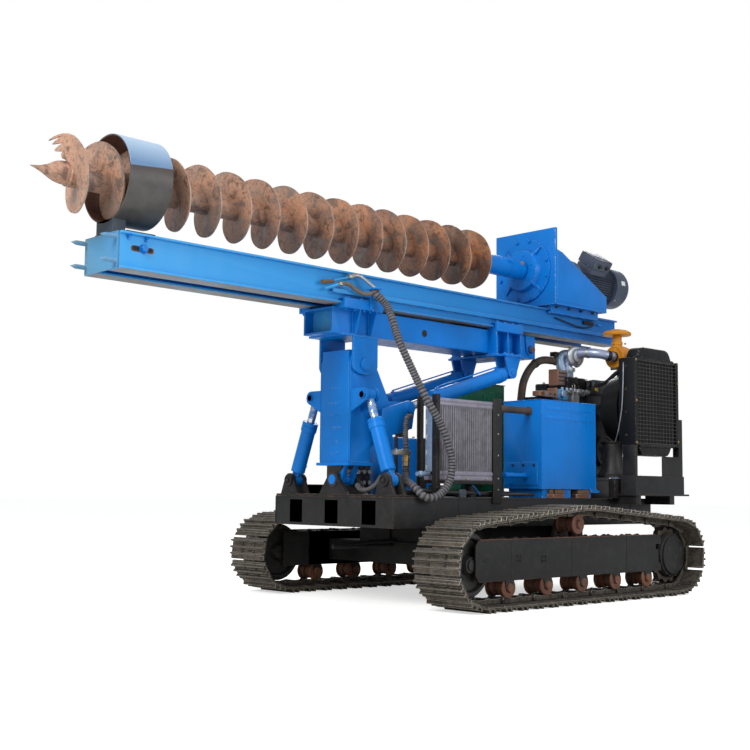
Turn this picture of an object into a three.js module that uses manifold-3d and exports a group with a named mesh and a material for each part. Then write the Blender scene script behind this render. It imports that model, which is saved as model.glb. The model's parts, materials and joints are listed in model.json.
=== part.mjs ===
// Crawler auger piling rig: a tracked carrier whose post tilts sideways and carries a luffing, sliding
// mast. A rotary head runs along the mast and drives a long flight auger.
// Millimetres. +X is forwards, +Y is the rig's left, +Z is up. The origin is on the floor at the middle
// of the rig's overall length and width. Working X positions below are measured from the middle of the
// tracks and moved to that origin at the end.

import * as THREE from "three";
import { mergeVertices } from "three/addons/utils/BufferGeometryUtils.js";
import Module from "manifold-3d";

const wasm = await Module();
wasm.setup();

// ---------------------------------------------------------------- driving dimensions

const fit = 0.3;                    // gap between pieces that rest against each other
const pinPlay = 0.7;                // radial play at pins, rods and shafts
const slidePlay = 0.7;              // gap at the pads that the mast and the head slide on
const driftPlay = 5;                // radial play in the eyes that drift from their pins

// crawler tracks
const trackGauge = 1700;            // between track centrelines
const shoeWidth = 350;
const wheelSpacing = 2050;          // sprocket to idler
const trackRadius = 262.5;          // over the grousers, round sprocket and idler
const grouserHeight = 22;
const shoeThickness = 12;
const chainDepth = 41;              // link chain under the shoes
const chainWidth = 100;
const shoeCount = 38;
const carrierRollerX = 40;
const carrierRollerLift = 84;       // how far the carrier roller lifts the top run
const rollerRadius = 50;
const rollerFlange = 13;
const bottomRollerCount = 5;
const rollerPitch = 356;
const sideBeamBottom = 165;
const sideBeamTop = 404;
const sideBeamWidth = 150;
const sideBeamRear = -870;
const sideBeamFront = 1012;
const finalDriveRadius = 150;
const cheekThickness = 13;          // bearing plates of idler and sprocket
const wheelClearance = 12;          // round the idler, inside the side frame

// platform
const platformRear = -1354;
const platformFront = 1285;
const platformWidth = 1068;
const platformBottom = 460;
const platformTop = 641;
const deckThickness = 10;
const railWidth = 90;
const platformBays = 6;

// undercarriage
const crossBeamX = 520;
const crossBeamHalf = 85;           // half a cross beam's length along the rig
const crossBeamBottom = 205;
const crossBeamTop = 345;
const saddleHalf = 60;              // half the block between a cross beam and the platform
const spineY = 240;
const spineHalf = 50;

// tilting post
const postPivotZ = 743;
const postFront = 1265;
const postDepth = 172;
const postWidth = 240;
const postBottom = 845;
const postTop = 1530;
const sidePlate = 16;
const postPinRadius = 30;
const luffPinRadius = 32;
const eyePinRadius = 20;            // pins of all four cylinders
const eyeRadius = 42;               // round ends of the plates that hold those pins
const noseChinZ = 1062;             // nose of the post, which takes the luff cylinders' foot pins
const noseHeelX = 1008;
const noseHeelZ = 1015;
const noseFlareZ = 930;
const noseFootZ = 905;
const noseFoldX = 1062;
const noseFrontX = 1098;
const cheekReach = 92;              // post side to bracket cheek
const cheekPlate = 16;

// lugs on the deck
const lugRear = 1085;
const lugBase = 12;                 // thickness of the plate that carries the lugs
const lugMargin = 95;               // the plate past the tilt cylinders' feet
const postLugThickness = 30;
const postLugSpread = 125;
const postLugEye = 50;
const postLugInset = 8;             // front lug behind the platform's front
const postLugGap = 6;               // lug on the deck to lug on the post
const tiltLugThickness = 22;
const tiltLugSpread = 80;
const tiltLugEye = 44;
const tiltLugGap = 4;
const barRear = 990;                // loose steel bar at the front right of the deck
const barSide = 72;
const barOuter = -645;
const barInner = -250;

// tilt cylinders
const tiltFootY = 434;
const tiltFootZ = 738;
const tiltEyeY = 238;
const tiltEyeZ = 1250;
const tiltBarrelRadius = 45;
const tiltRodRadius = 25;
const tiltX = 1205;                 // the tilt cylinders' plane
const tiltEyeHalf = 28;             // half the width of a tilt cylinder's eye
const tiltBarrelLength = 390;       // foot pin to gland
const tiltEarPlate = 18;
const tiltEarGap = 6;

// luffing carrier
const luffPivotX = 1160;
const luffPivotZ = 1442;
const carrierFront = 1415;
const carrierRear = -523;
const carrierWidth = 262;
const carrierBottom = 1620;
const carrierTop = 1779;
const carrierWall = 12;
const rearFlangeZ = 1597;           // underside of the flange that carries the luff cylinders
const luffCylinderY = 200;
const luffFootX = 856;
const luffFootZ = 1193;
const luffHeadX = -134;
const luffHeadZ = 1488;
const luffBarrelRadius = 48;
const luffRodRadius = 28;
const luffBarrelLength = 790;       // head pin to gland
const luffRodLength = 870;          // foot pin to the rod's inner end
const luffEyeHalf = 26;
const headEarPlate = 16;
const flangeRear = -300;
const flangeFront = -8;
const flangeHalf = 216;
const flangeWingRear = -228;          // wings of the flange, over the plates of the head pins
const flangeWingFront = -38;
const flangeWingHalf = 262;
const flangeThickness = 14;
const rearHookRear = -292;          // hooks of the rear bracket
const rearHookFront = -12;
const frontHookRear = 1068;         // hooks over the luff pivot
const frontHookFront = 1386;
const ribXs = [1107, 1243];         // ribs beside the carrier over the luff pivot
const ribThickness = 10;
const ribReach = 205;
const rearRibXs = [-284, -148, -28];
const rearRibReach = 208;           // at the flange
const rearRibTopReach = 200;        // under the hooks
const rearRibThickness = 12;
const tailLugX = -452;              // lugs and pin at the carrier's rear end
const tailLugZ = 1680;
const tailLugRadius = 40;
const tailPinRadius = 24;

// mast
const mastFront = 2920;
const mastRear = -1459;
const mastWidth = 324;
const mastBottom = 1797;
const mastTop = 1992;
const mastWall = 10;
const mastLip = 22;                 // the flanges stand this far out of the webs
const mastLipThickness = 12;
const mastSlot = 60;                // half the width of the slot in the bottom
const endPlateThickness = 12;
const trayReach = 36;               // pipe tray along each web
const trayBottom = 1850;
const trayFront = 1470;
const spikeLength = 98;
const spikeRadius = 13;
const spikeTaper = 62;              // where a spike starts to narrow

// rotary head
const augerZ = 2280;
const headPlateX = -575;
const headPlateWidth = 550;
const headPlateTop = 2567;
const headPlateThickness = 25;
const headRear = -1195;
const headBase = 2037;
const headBaseThickness = 25;
const headCheek = 16;
const gussetTop = 2410;
const shoeGrip = 18;                // thickness of the shoes that hold the mast's top lips
const reducerRadius = 190;
const motorRadius = 128;
const motorFront = -1010;
const motorRear = -1684;
const fanCoverRadius = 156;
const fanCoverLength = 170;
const terminalBoxRear = -1390;
const terminalBoxFront = -1190;
const terminalBoxHalf = 85;
const terminalBoxTop = 233;         // above the motor's axis
const terminalBoxLean = -0.6;       // radians round the motor
const housingNose = -517;
const housingFlangeRadius = 235;
const housingRadius = 158;
const spigotRadius = 58;

// auger
const flightRadius = 200;
const flightThickness = 16;
const augerTubeRadius = 70;
const flightPitch = 206;
const augerRear = -280;
const flightRear = -173;
const flightFront = 3192;
const shaftRear = -512;
const augerTip = 3336;
const tipLength = 200;
// forged point: distance past the tube's end, its low and high edges and half its thickness
const pointSections = [
  [-20, -62, 62, 62],
  [30, -66, 60, 50],
  [76, -57, 43, 30],
  [122, -33, 19, 14],
  [164, -13, 8, 7],
  [tipLength, -1, 3, 2],
];

// guide ring
const ringInnerRadius = 228;
const ringWall = 10;
const ringRear = 2640;
const ringLength = 262;
const ringZ = 2296;
const standRear = 2826;             // box that the ring stands on
const standHalf = 80;
const standFlange = 10;             // foot plate of that box

// power pack
const coolerRear = 421;
const coolerFront = 906;
const coolerFace = 540;
const coolerDepth = 120;
const coolerBottom = 744;
const coolerTop = 1239;
const tankRear = -672;
const tankFront = -76;
const tankFace = 540;
const tankInner = 214;
const tankBottom = 700;
const tankTop = 1290;
const tankPipeY = 411;
const tankPipeZ = 788;
const tankPipeRadius = 17;
const tankPipeReach = 232;
const returnPipeY = 432;
const returnPipeZ = 1214;
const returnPipeRadius = 23;
const engineX = -1131;
const engineDeck = 860;             // heights of the sump rail, the block and the heads
const engineBlockTop = 1270;
const engineHeadTop = 1500;
const crankZ = 980;
const fanPulleyZ = 1278;
const turboX = 210;                 // turbocharger, ahead of the engine's middle
const turboY = 120;
const turboRadius = 62;
const turboTop = 1590;
const exhaustY = 60;
const exhaustRadius = 29;
const ductRadius = 38;
const airCleanerX = -1086;
const airCleanerY = 412;
const airCleanerZ = 1665;
const airCleanerRadius = 86;
const airCleanerLength = 130;
const capZ = 1874;
const radiatorFace = 745;
const radiatorWidth = 550;
const radiatorBottom = 1010;
const radiatorTop = 1622;
const radiatorTankTop = 1705;
const radiatorDepth = 138;
const radiatorFootBottom = 940;
const supportRear = -1455;
const supportFront = -845;
const supportInner = 625;
const supportOuter = 750;
const supportBottom = 673;
const supportTop = 800;
const cabinetTop = 1480;
const fuelTankTop = 1040;
const valveTop = 860;
const leverTop = 1010;

// hydraulic hose: its middle line
const hoseRadius = 24;
const hoseRoute = [
  [1182, 262, 1889.7],
  [1182, 262, 1872],
  [1119, 290, 1803],
  [1113, 335, 1716],
  [1120, 400, 1584],
  [1090, 470, 1424],
  [1055, 530, 1284],
  [1010, 576, 1163],
  [945, 592, 1068],
  [890, 600, 950],
  [860, 602, 834],
  [893, 602, 722],
  [985, 600, 648],
  [1062, 578, 642],
  [1082, 520, 690],
  [1052, 440, 718],
  [985, 340, 745],
  [945, 300, 790],
  [945, 300, 829.7],
];
const couplingX = 945;
const couplingY = 300;
const couplingTop = 925;

const originShift = -(augerTip + motorRear) / 2;

// ---------------------------------------------------------------- finishes

const finish = (colour, roughness, metalness) =>
  new THREE.MeshStandardMaterial({ color: colour, roughness, metalness });
const blue = finish(0x1068c8, 0.4, 0.1);
const black = finish(0x1b1c1e, 0.6, 0.2);
const trackSteel = finish(0x4a4238, 0.85, 0.5);
const rust = finish(0x8a5a3a, 0.8, 0.4);
const chrome = finish(0xc8ccd0, 0.15, 1.0);
const aluminium = finish(0xb4b6b8, 0.45, 0.8);
const green = finish(0x0f6a48, 0.5, 0.1);
const orange = finish(0xd98e22, 0.5, 0.1);
const hoseRubber = finish(0x2a2a2c, 0.8, 0.0);

// ---------------------------------------------------------------- shape helpers

const block = (x0, x1, y0, y1, z0, z1) => {
  const shape = new THREE.BoxGeometry(x1 - x0, y1 - y0, z1 - z0);
  return shape.translate((x0 + x1) / 2, (y0 + y1) / 2, (z0 + z1) / 2);
};

const outline = (points) => new THREE.Shape(points.map(([a, b]) => new THREE.Vector2(a, b)));

// a plate cut from an outline: "x" stands across the rig, "y" along it, "z" lies flat
const plate = (shape, along, from, to, segments = 10) => {
  const solid = new THREE.ExtrudeGeometry(shape, {
    depth: to - from,
    bevelEnabled: false,
    curveSegments: segments,
  });
  if (along === "x") {
    solid.rotateX(Math.PI / 2).rotateZ(Math.PI / 2);
    return solid.translate(from, 0, 0);
  }
  if (along === "y") {
    solid.rotateX(Math.PI / 2);
    return solid.translate(0, to, 0);
  }
  return solid.translate(0, 0, from);
};

const turned = (profile, axis, segments = 24) => {
  const points = profile.map(([along, radius]) => new THREE.Vector2(radius, along));
  const solid = new THREE.LatheGeometry(points, segments);
  if (axis === "x") return solid.rotateZ(-Math.PI / 2);
  if (axis === "z") return solid.rotateX(Math.PI / 2);
  return solid;
};

const roundBar = (axis, radius, from, to, segments = 16) =>
  turned([[from, 0], [from, radius], [to, radius], [to, 0]], axis, segments);

const welded = (geometry) => {
  const bare = geometry.clone();
  bare.deleteAttribute("normal");
  bare.deleteAttribute("uv");
  return mergeVertices(bare, 1e-4);
};

const asSolid = (geometry) => {
  const shell = welded(geometry);
  return new wasm.Manifold(
    new wasm.Mesh({
      numProp: 3,
      vertProperties: new Float32Array(shell.attributes.position.array),
      triVerts: new Uint32Array(shell.index.array),
    }),
  );
};

const asGeometry = (solid) => {
  const { vertProperties, triVerts, numProp } = solid.getMesh();
  const positions = new Float32Array((vertProperties.length / numProp) * 3);
  for (let i = 0; i < positions.length / 3; i += 1) {
    for (let k = 0; k < 3; k += 1) positions[3 * i + k] = vertProperties[numProp * i + k];
  }
  const geometry = new THREE.BufferGeometry();
  geometry.setAttribute("position", new THREE.BufferAttribute(positions, 3));
  geometry.setIndex(new THREE.BufferAttribute(new Uint32Array(triVerts), 1));
  geometry.computeVertexNormals();
  return geometry;
};

const join = (...parts) => asGeometry(parts.map(asSolid).reduce((sum, part) => sum.add(part)));
const cut = (body, ...tools) =>
  asGeometry(tools.map(asSolid).reduce((sum, tool) => sum.subtract(tool), asSolid(body)));

const mirrored = (geometry) => {
  const copy = welded(geometry).scale(1, -1, 1);
  const index = copy.index.array;
  for (let i = 0; i < index.length; i += 3) [index[i], index[i + 1]] = [index[i + 1], index[i]];
  copy.computeVertexNormals();
  return copy;
};

// closed solid through a row of sections that all have the same number of corners
const loft = (sections) => {
  const corners = sections[0].length;
  const last = corners * (sections.length - 1);
  const faces = [];
  for (let k = 1; k < corners - 1; k += 1) {
    faces.push([0, k, k + 1]);
    faces.push([last, last + k + 1, last + k]);
  }
  for (let i = 0; i < last; i += corners) {
    for (let k = 0; k < corners; k += 1) {
      const a = i + k;
      const b = i + ((k + 1) % corners);
      faces.push([a, a + corners, b], [b, a + corners, b + corners]);
    }
  }
  const geometry = new THREE.BufferGeometry();
  geometry.setAttribute("position", new THREE.Float32BufferAttribute(sections.flat(2), 3));
  geometry.setIndex(faces.flat());
  geometry.computeVertexNormals();
  return geometry;
};

const rig = new THREE.Group();
const add = (name, geometry, material) => {
  const mesh = new THREE.Mesh(geometry, material);
  mesh.name = name;
  mesh.position.x = originShift;
  rig.add(mesh);
};
const addPair = (name, geometry, material) => {
  add(`${name}_left`, geometry, material);
  add(`${name}_right`, mirrored(geometry), material);
};

// ---------------------------------------------------------------- crawler tracks

const trackY = trackGauge / 2;
const rearWheelX = -wheelSpacing / 2;
const frontWheelX = wheelSpacing / 2;
const wheelZ = trackRadius;
const beltDepth = grouserHeight + shoeThickness + chainDepth;
const wheelRadius = trackRadius - beltDepth;
const carrierRollerZ = 2 * trackRadius + carrierRollerLift - beltDepth - rollerRadius;

// pulleys that the belt of shoes runs over, in the order the belt meets them
const pulleys = [
  { x: frontWheelX, z: wheelZ, radius: wheelRadius },
  { x: carrierRollerX, z: carrierRollerZ, radius: rollerRadius },
  { x: rearWheelX, z: wheelZ, radius: wheelRadius },
];

// closed line round the three pulleys, a given height outside them; clear of them when it is the inside
const beltLine = (height, spacing) => {
  const stretches = [];
  pulleys.forEach((from, i) => {
    const to = pulleys[(i + 1) % pulleys.length];
    const run = Math.atan2(to.z - from.z, to.x - from.x);
    const lean = Math.acos((from.radius - to.radius) / Math.hypot(to.x - from.x, to.z - from.z));
    stretches.push({ from, to, normal: run - lean });
  });
  const points = [];
  stretches.forEach((stretch, i) => {
    const previous = stretches[(i + stretches.length - 1) % stretches.length];
    let turn = stretch.normal - previous.normal;
    while (turn < 0) turn += 2 * Math.PI;
    const radius = stretch.from.radius + height;
    const steps = Math.max(2, Math.round((turn * radius) / spacing));
    const corner = height === 0 ? radius / Math.cos(turn / steps / 2) : radius;
    for (let k = 0; k <= steps; k += 1) {
      const angle = previous.normal + (turn * k) / steps;
      points.push([stretch.from.x + corner * Math.cos(angle), stretch.from.z + corner * Math.sin(angle)]);
    }
  });
  return points;
};

// the same line cut into shoes of equal length, each with one raised grouser
const shoeLine = (height) => {
  const fine = beltLine(height, 4);
  const lengths = [0];
  fine.forEach(([x, z], i) => {
    const [nextX, nextZ] = fine[(i + 1) % fine.length];
    lengths.push(lengths[i] + Math.hypot(nextX - x, nextZ - z));
  });
  const total = lengths[fine.length];
  const at = (distance, lift) => {
    const wanted = ((distance % total) + total) % total;
    let i = 0;
    while (lengths[i + 1] < wanted) i += 1;
    const [x, z] = fine[i];
    const [nextX, nextZ] = fine[(i + 1) % fine.length];
    const step = Math.hypot(nextX - x, nextZ - z) || 1;
    const share = (wanted - lengths[i]) / step;
    const normalX = (nextZ - z) / step;
    const normalZ = -(nextX - x) / step;
    return [x + share * (nextX - x) + lift * normalX, z + share * (nextZ - z) + lift * normalZ];
  };
  const pitch = total / shoeCount;
  const points = [];
  for (let shoe = 0; shoe < shoeCount; shoe += 1) {
    const start = shoe * pitch;
    points.push(at(start + 0.3 * pitch, 0));
    points.push(at(start + 0.36 * pitch, grouserHeight));
    points.push(at(start + 0.64 * pitch, grouserHeight));
    points.push(at(start + 0.7 * pitch, 0));
  }
  return points;
};

const trackBelt = () => {
  const shoes = outline(shoeLine(chainDepth + shoeThickness));
  shoes.holes.push(new THREE.Path(beltLine(chainDepth, 60).map(([x, z]) => new THREE.Vector2(x, z))));
  const chain = outline(beltLine(chainDepth + 2, 60));
  chain.holes.push(new THREE.Path(beltLine(0, 60).map(([x, z]) => new THREE.Vector2(x, z))));
  return join(
    plate(shoes, "y", trackY - shoeWidth / 2, trackY + shoeWidth / 2),
    plate(chain, "y", trackY - chainWidth / 2, trackY + chainWidth / 2),
  );
};

const roller = (x, z) => {
  const treadHalf = chainWidth / 2 + 3;
  const flangeHalf = treadHalf + 14;
  const profile = [
    [trackY - flangeHalf, 0],
    [trackY - flangeHalf, rollerRadius + rollerFlange],
    [trackY - treadHalf, rollerRadius + rollerFlange],
    [trackY - treadHalf, rollerRadius - fit],
    [trackY + treadHalf, rollerRadius - fit],
    [trackY + treadHalf, rollerRadius + rollerFlange],
    [trackY + flangeHalf, rollerRadius + rollerFlange],
    [trackY + flangeHalf, 0],
  ];
  return turned(profile, "y", 10).translate(x, 0, z);
};

const sideFrame = () => {
  const inner = trackY - sideBeamWidth / 2;
  const outer = trackY + sideBeamWidth / 2;
  const beam = block(sideBeamRear, sideBeamFront, inner, outer, sideBeamBottom, sideBeamTop);
  const clearOfIdler = roundBar("y", wheelRadius + wheelClearance, inner - 1, outer - cheekThickness, 24)
    .translate(frontWheelX, 0, wheelZ);
  const clearOfSprocket = roundBar("y", wheelRadius + 8, inner - 1, trackY + 30, 24).translate(
    rearWheelX, 0, wheelZ);
  const clearOfFinalDrive = roundBar("y", finalDriveRadius + 6, trackY, outer + 1, 24).translate(
    rearWheelX, 0, wheelZ);
  const rollers = [];
  for (let i = 0; i < bottomRollerCount; i += 1) {
    const x = (i - (bottomRollerCount - 1) / 2) * rollerPitch;
    rollers.push(roller(x, beltDepth + rollerRadius));
    rollers.push(block(x - 30, x + 30, trackY - 74, trackY + 74, beltDepth + rollerRadius - 8, 200));
  }
  rollers.push(roller(carrierRollerX, carrierRollerZ));
  rollers.push(block(carrierRollerX - 35, carrierRollerX + 35, trackY - 92, trackY - 66.5,
    sideBeamTop - 20, carrierRollerZ + 20));
  const idlerCheek = block(sideBeamFront - 40, frontWheelX + 40, outer - cheekThickness, outer,
    wheelZ - 40, wheelZ + 40);
  const driveCheek = block(rearWheelX - 110, sideBeamRear + 60, inner, inner + cheekThickness,
    sideBeamBottom, sideBeamTop - 40);
  return join(cut(join(beam, ...rollers), clearOfIdler, clearOfSprocket, clearOfFinalDrive),
    idlerCheek, driveCheek);
};

const idler = () => {
  const half = chainWidth / 2;
  const axleEnd = sideBeamWidth / 2 - cheekThickness - fit;
  const rim = wheelRadius - fit;
  const profile = [
    [-half - 8, 0],
    [-half - 8, 46],
    [-14, 60],
    [-14, rim - 30],
    [-half + 6, rim - 24],
    [-half + 6, rim],
    [half - 6, rim],
    [half - 6, rim - 24],
    [14, rim - 30],
    [14, 60],
    [axleEnd, 46],
    [axleEnd, 0],
  ];
  return turned(profile, "y", 24).translate(frontWheelX, trackY, wheelZ);
};

const sprocket = () => {
  const rim = wheelRadius - fit;
  const inner = -sideBeamWidth / 2 + cheekThickness + fit;
  const profile = [
    [inner, 0],
    [inner, 118],
    [-24, 118],
    [-24, rim],
    [24, rim],
    [24, finalDriveRadius],
    [62, finalDriveRadius],
    [80, finalDriveRadius - 18],
    [80, 0],
  ];
  return turned(profile, "y", 24).translate(rearWheelX, trackY, wheelZ);
};

addPair("track", trackBelt(), trackSteel);
addPair("track_frame", sideFrame(), black);
addPair("idler", idler(), trackSteel);
addPair("sprocket", sprocket(), trackSteel);

// ---------------------------------------------------------------- chassis

const halfPlatform = platformWidth / 2;

const platform = () => {
  const skin = block(platformRear, platformFront, -halfPlatform, halfPlatform, platformBottom, platformTop);
  const bays = [];
  const pitch = (platformFront - platformRear - railWidth) / platformBays;
  for (let bay = 0; bay < platformBays; bay += 1) {
    const x0 = platformRear + railWidth + bay * pitch;
    for (const side of [-1, 1]) {
      const y0 = side > 0 ? railWidth / 2 : -halfPlatform + railWidth;
      const y1 = side > 0 ? halfPlatform - railWidth : -railWidth / 2;
      bays.push(block(x0, x0 + pitch - railWidth, y0, y1, platformBottom - 1, platformTop - deckThickness));
    }
  }
  return cut(skin, ...bays);
};

const undercarriage = () => {
  const reach = trackY - sideBeamWidth / 2 - fit;
  const top = platformBottom - fit;
  const spineEnd = crossBeamX + crossBeamHalf - 5;
  const crossBeam = (x) => join(
    block(x - crossBeamHalf, x + crossBeamHalf, -reach, reach, crossBeamBottom, crossBeamTop),
    block(x - saddleHalf, x + saddleHalf, 40 - halfPlatform, halfPlatform - 40, crossBeamTop - 1, top),
  );
  const spine = (y) => block(-spineEnd, spineEnd, y - spineHalf, y + spineHalf, crossBeamTop - 1, top);
  return join(crossBeam(-crossBeamX), crossBeam(crossBeamX), spine(-spineY), spine(spineY));
};

// a lug standing across the rig: straight flanks up to a round eye
const lugOutline = (y, z, foot, eye, base) => {
  const rise = z - base;
  const flank = Math.atan2(rise, foot - eye);
  const shape = new THREE.Shape();
  shape.moveTo(y - foot, base);
  shape.lineTo(y + foot, base);
  shape.lineTo(y + eye * Math.sin(flank), z + eye * Math.cos(flank) * 0.4);
  shape.absarc(y, z, eye, Math.PI / 2 - flank, Math.PI / 2 + flank, false);
  shape.closePath();
  return shape;
};

const lugPlate = () => {
  const base = platformTop + fit;
  const foot = base + lugBase;
  const tiltLugFront = tiltX + tiltEyeHalf + tiltLugGap + fit;
  const tiltLugRear = tiltX - tiltEyeHalf - tiltLugGap - fit - tiltLugThickness;
  const postLug = (x) => plate(
    lugOutline(0, postPivotZ, postLugSpread, postLugEye, foot - 1), "x", x, x + postLugThickness);
  const tiltLug = (y, x) => plate(
    lugOutline(y, tiltFootZ, tiltLugSpread, tiltLugEye, foot - 1), "x", x, x + tiltLugThickness);
  const parts = [
    block(lugRear, platformFront - 2, -tiltFootY - lugMargin, tiltFootY + lugMargin, base, foot),
    postLug(platformFront - postLugInset - postLugThickness),
    postLug(lugRear + postLugGap),
  ];
  for (const y of [-tiltFootY, tiltFootY]) {
    const pin = roundBar("x", eyePinRadius, tiltLugRear - 10, tiltLugFront + tiltLugThickness - 14);
    parts.push(tiltLug(y, tiltLugFront), tiltLug(y, tiltLugRear), pin.translate(0, y, tiltFootZ));
  }
  const bore = roundBar("x", postPinRadius + pinPlay, lugRear, platformFront, 16).translate(0, 0, postPivotZ);
  return cut(join(...parts), bore);
};

add("platform", platform(), black);
add("undercarriage", undercarriage(), black);
add("deck_lugs", lugPlate(), black);

const deckBar = () => {
  const base = platformTop + fit;
  return block(barRear, barRear + barSide, barOuter, barInner, base, base + barSide);
};

add("deck_bar", deckBar(), rust);

// ---------------------------------------------------------------- tilting post

const halfPost = postWidth / 2;
const postBack = postFront - postDepth;
const bracketInner = halfPost + sidePlate + cheekReach;
const bracketOuter = bracketInner + cheekPlate;

// side plate: round head at the luff pivot, round nose at the luff cylinder's foot pin
const postSide = () => {
  const front = postFront - 3;
  const shape = new THREE.Shape();
  shape.moveTo(front, postBottom);
  shape.lineTo(front, luffPivotZ);
  shape.absarc(luffPivotX, luffPivotZ, front - luffPivotX, 0, Math.PI * 0.95, false);
  shape.lineTo(luffFootX + 80, luffFootZ + eyeRadius - 2);
  shape.lineTo(luffFootX, luffFootZ + eyeRadius);
  shape.absarc(luffFootX, luffFootZ, eyeRadius, Math.PI / 2, Math.PI, false);
  shape.lineTo(luffFootX - eyeRadius + 24, noseChinZ);
  shape.lineTo(noseHeelX, noseHeelZ);
  shape.lineTo(postBack, noseFlareZ);
  shape.lineTo(postBack, postBottom);
  shape.closePath();
  return plate(shape, "y", halfPost - 1, halfPost + sidePlate, 12);
};

const bracketCheek = () => {
  const shape = new THREE.Shape();
  shape.moveTo(noseFrontX, 1172);
  shape.lineTo(luffFootX + 14, luffFootZ + eyeRadius);
  shape.absarc(luffFootX, luffFootZ, eyeRadius, Math.PI * 0.4, Math.PI, false);
  shape.lineTo(luffFootX - eyeRadius + 24, noseChinZ);
  shape.lineTo(noseHeelX, noseHeelZ);
  shape.lineTo(noseHeelX, noseFootZ);
  shape.lineTo(noseFoldX, noseFootZ);
  shape.lineTo(noseFrontX, 1060);
  shape.closePath();
  return join(
    plate(shape, "y", bracketInner, bracketOuter, 12),
    block(noseFoldX, noseFrontX - 2, halfPost, bracketInner + 1, 1035, 1165),
    roundBar("y", 33, bracketOuter - 1, bracketOuter + 12).translate(luffFootX, 0, luffFootZ),
  );
};

const tiltEar = (x) => {
  const root = halfPost + sidePlate - 1;
  const shape = new THREE.Shape();
  shape.moveTo(root, tiltEyeZ + eyeRadius);
  shape.lineTo(root, tiltEyeZ - 100);
  shape.lineTo(tiltEyeY + 24, tiltEyeZ - 34);
  shape.absarc(tiltEyeY, tiltEyeZ, eyeRadius, -Math.PI * 0.3, Math.PI / 2, false);
  shape.closePath();
  return plate(shape, "x", x, x + tiltEarPlate, 12);
};

const hangingLug = (x) => {
  const shape = new THREE.Shape();
  shape.moveTo(-78, postBottom - 10);
  shape.absarc(0, postPivotZ, 38, Math.PI + 0.45, 2 * Math.PI - 0.45, false);
  shape.lineTo(78, postBottom - 10);
  shape.closePath();
  return plate(shape, "x", x, x + postLugThickness, 12);
};

const post = () => {
  const earReach = tiltEyeHalf + tiltEarGap;
  const tiltPinEnd = tiltEyeHalf + 34;
  const tiltPin = roundBar("x", eyePinRadius, tiltX - tiltPinEnd, tiltX + tiltPinEnd);
  const half = join(
    postSide(),
    bracketCheek(),
    tiltEar(tiltX + earReach),
    tiltEar(tiltX - earReach - tiltEarPlate),
    tiltPin.translate(0, tiltEyeY, tiltEyeZ),
  );
  const luffPinEnd = halfPost + sidePlate + 36;
  return join(
    block(postBack, postFront, -halfPost, halfPost, postBottom - 4, postTop),
    block(postBack - 14, postFront + 18, -halfPost - 26, halfPost + 26, postBottom - 18, postBottom),
    hangingLug(platformFront - postLugInset - 2 * postLugThickness - postLugGap),
    hangingLug(lugRear + 2 * postLugGap + postLugThickness),
    roundBar("x", postPinRadius, lugRear, platformFront - 1).translate(0, 0, postPivotZ),
    roundBar("y", luffPinRadius, -luffPinEnd, luffPinEnd).translate(luffPivotX, 0, luffPivotZ),
    half,
    mirrored(half),
  );
};

add("post", post(), blue);

// ---------------------------------------------------------------- tilt cylinders

// the cylinder stands along +Z from its foot pin, then leans to its place
const leanTilt = (geometry) => {
  const lean = Math.atan2(tiltFootY - tiltEyeY, tiltEyeZ - tiltFootZ);
  return geometry.rotateX(lean).translate(tiltX, tiltFootY, tiltFootZ);
};
const tiltLength = Math.hypot(tiltFootY - tiltEyeY, tiltEyeZ - tiltFootZ);

const eyeBoss = (axis, radius, half, bore) => {
  const profile = [[-half, bore], [-half, radius], [half, radius], [half, bore], [-half, bore]];
  return turned(profile, axis, 16);
};

const tiltBarrel = () => {
  const bore = tiltRodRadius + pinPlay;
  const barrelStart = 56;
  const profile = [
    [barrelStart, 0],
    [barrelStart, tiltBarrelRadius],
    [tiltBarrelLength - 45, tiltBarrelRadius],
    [tiltBarrelLength - 45, tiltBarrelRadius + 5],
    [tiltBarrelLength, tiltBarrelRadius + 5],
    [tiltBarrelLength, bore],
    [74, bore],
    [74, 0],
  ];
  const neck = cut(
    block(-20, 20, -30, 30, 0, barrelStart + 6),
    roundBar("x", 30, -30, 30),
  );
  const eye = eyeBoss("x", 38, tiltEyeHalf, eyePinRadius + pinPlay);
  return leanTilt(join(turned(profile, "z", 18), neck, eye));
};

const tiltRod = () => {
  const rod = roundBar("z", tiltRodRadius, 124, tiltLength - 30, 18);
  const eye = eyeBoss("x", 38, tiltEyeHalf, eyePinRadius + driftPlay).translate(0, 0, tiltLength);
  return leanTilt(join(rod, eye));
};

addPair("tilt_barrel", tiltBarrel(), blue);
addPair("tilt_rod", tiltRod(), chrome);

// ---------------------------------------------------------------- luffing carrier

const halfCarrier = carrierWidth / 2;
const halfMast = mastWidth / 2;
const earInner = halfPost + sidePlate + 6;
const earOuter = earInner + 16;

const pivotEar = () => {
  const shape = new THREE.Shape();
  const halfEar = 102;
  shape.moveTo(luffPivotX - halfEar, carrierBottom - 5);
  shape.lineTo(luffPivotX - halfEar, luffPivotZ - 8);
  shape.quadraticCurveTo(luffPivotX - halfEar + 8, luffPivotZ - 60, luffPivotX, luffPivotZ - 62);
  shape.quadraticCurveTo(luffPivotX + halfEar - 8, luffPivotZ - 60, luffPivotX + halfEar, luffPivotZ - 8);
  shape.lineTo(luffPivotX + halfEar, carrierBottom - 5);
  shape.closePath();
  const bore = roundBar("y", luffPinRadius + pinPlay, earInner - 1, earOuter + 1, 16);
  return cut(plate(shape, "y", earInner, earOuter, 12), bore.translate(luffPivotX, 0, luffPivotZ));
};

const sideRib = (x) => {
  const shape = outline([
    [halfCarrier - 1, carrierBottom - 5],
    [earOuter, carrierBottom - 5],
    [ribReach, carrierTop - 8],
    [halfCarrier - 1, carrierTop - 8],
  ]);
  return plate(shape, "x", x, x + ribThickness);
};

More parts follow.
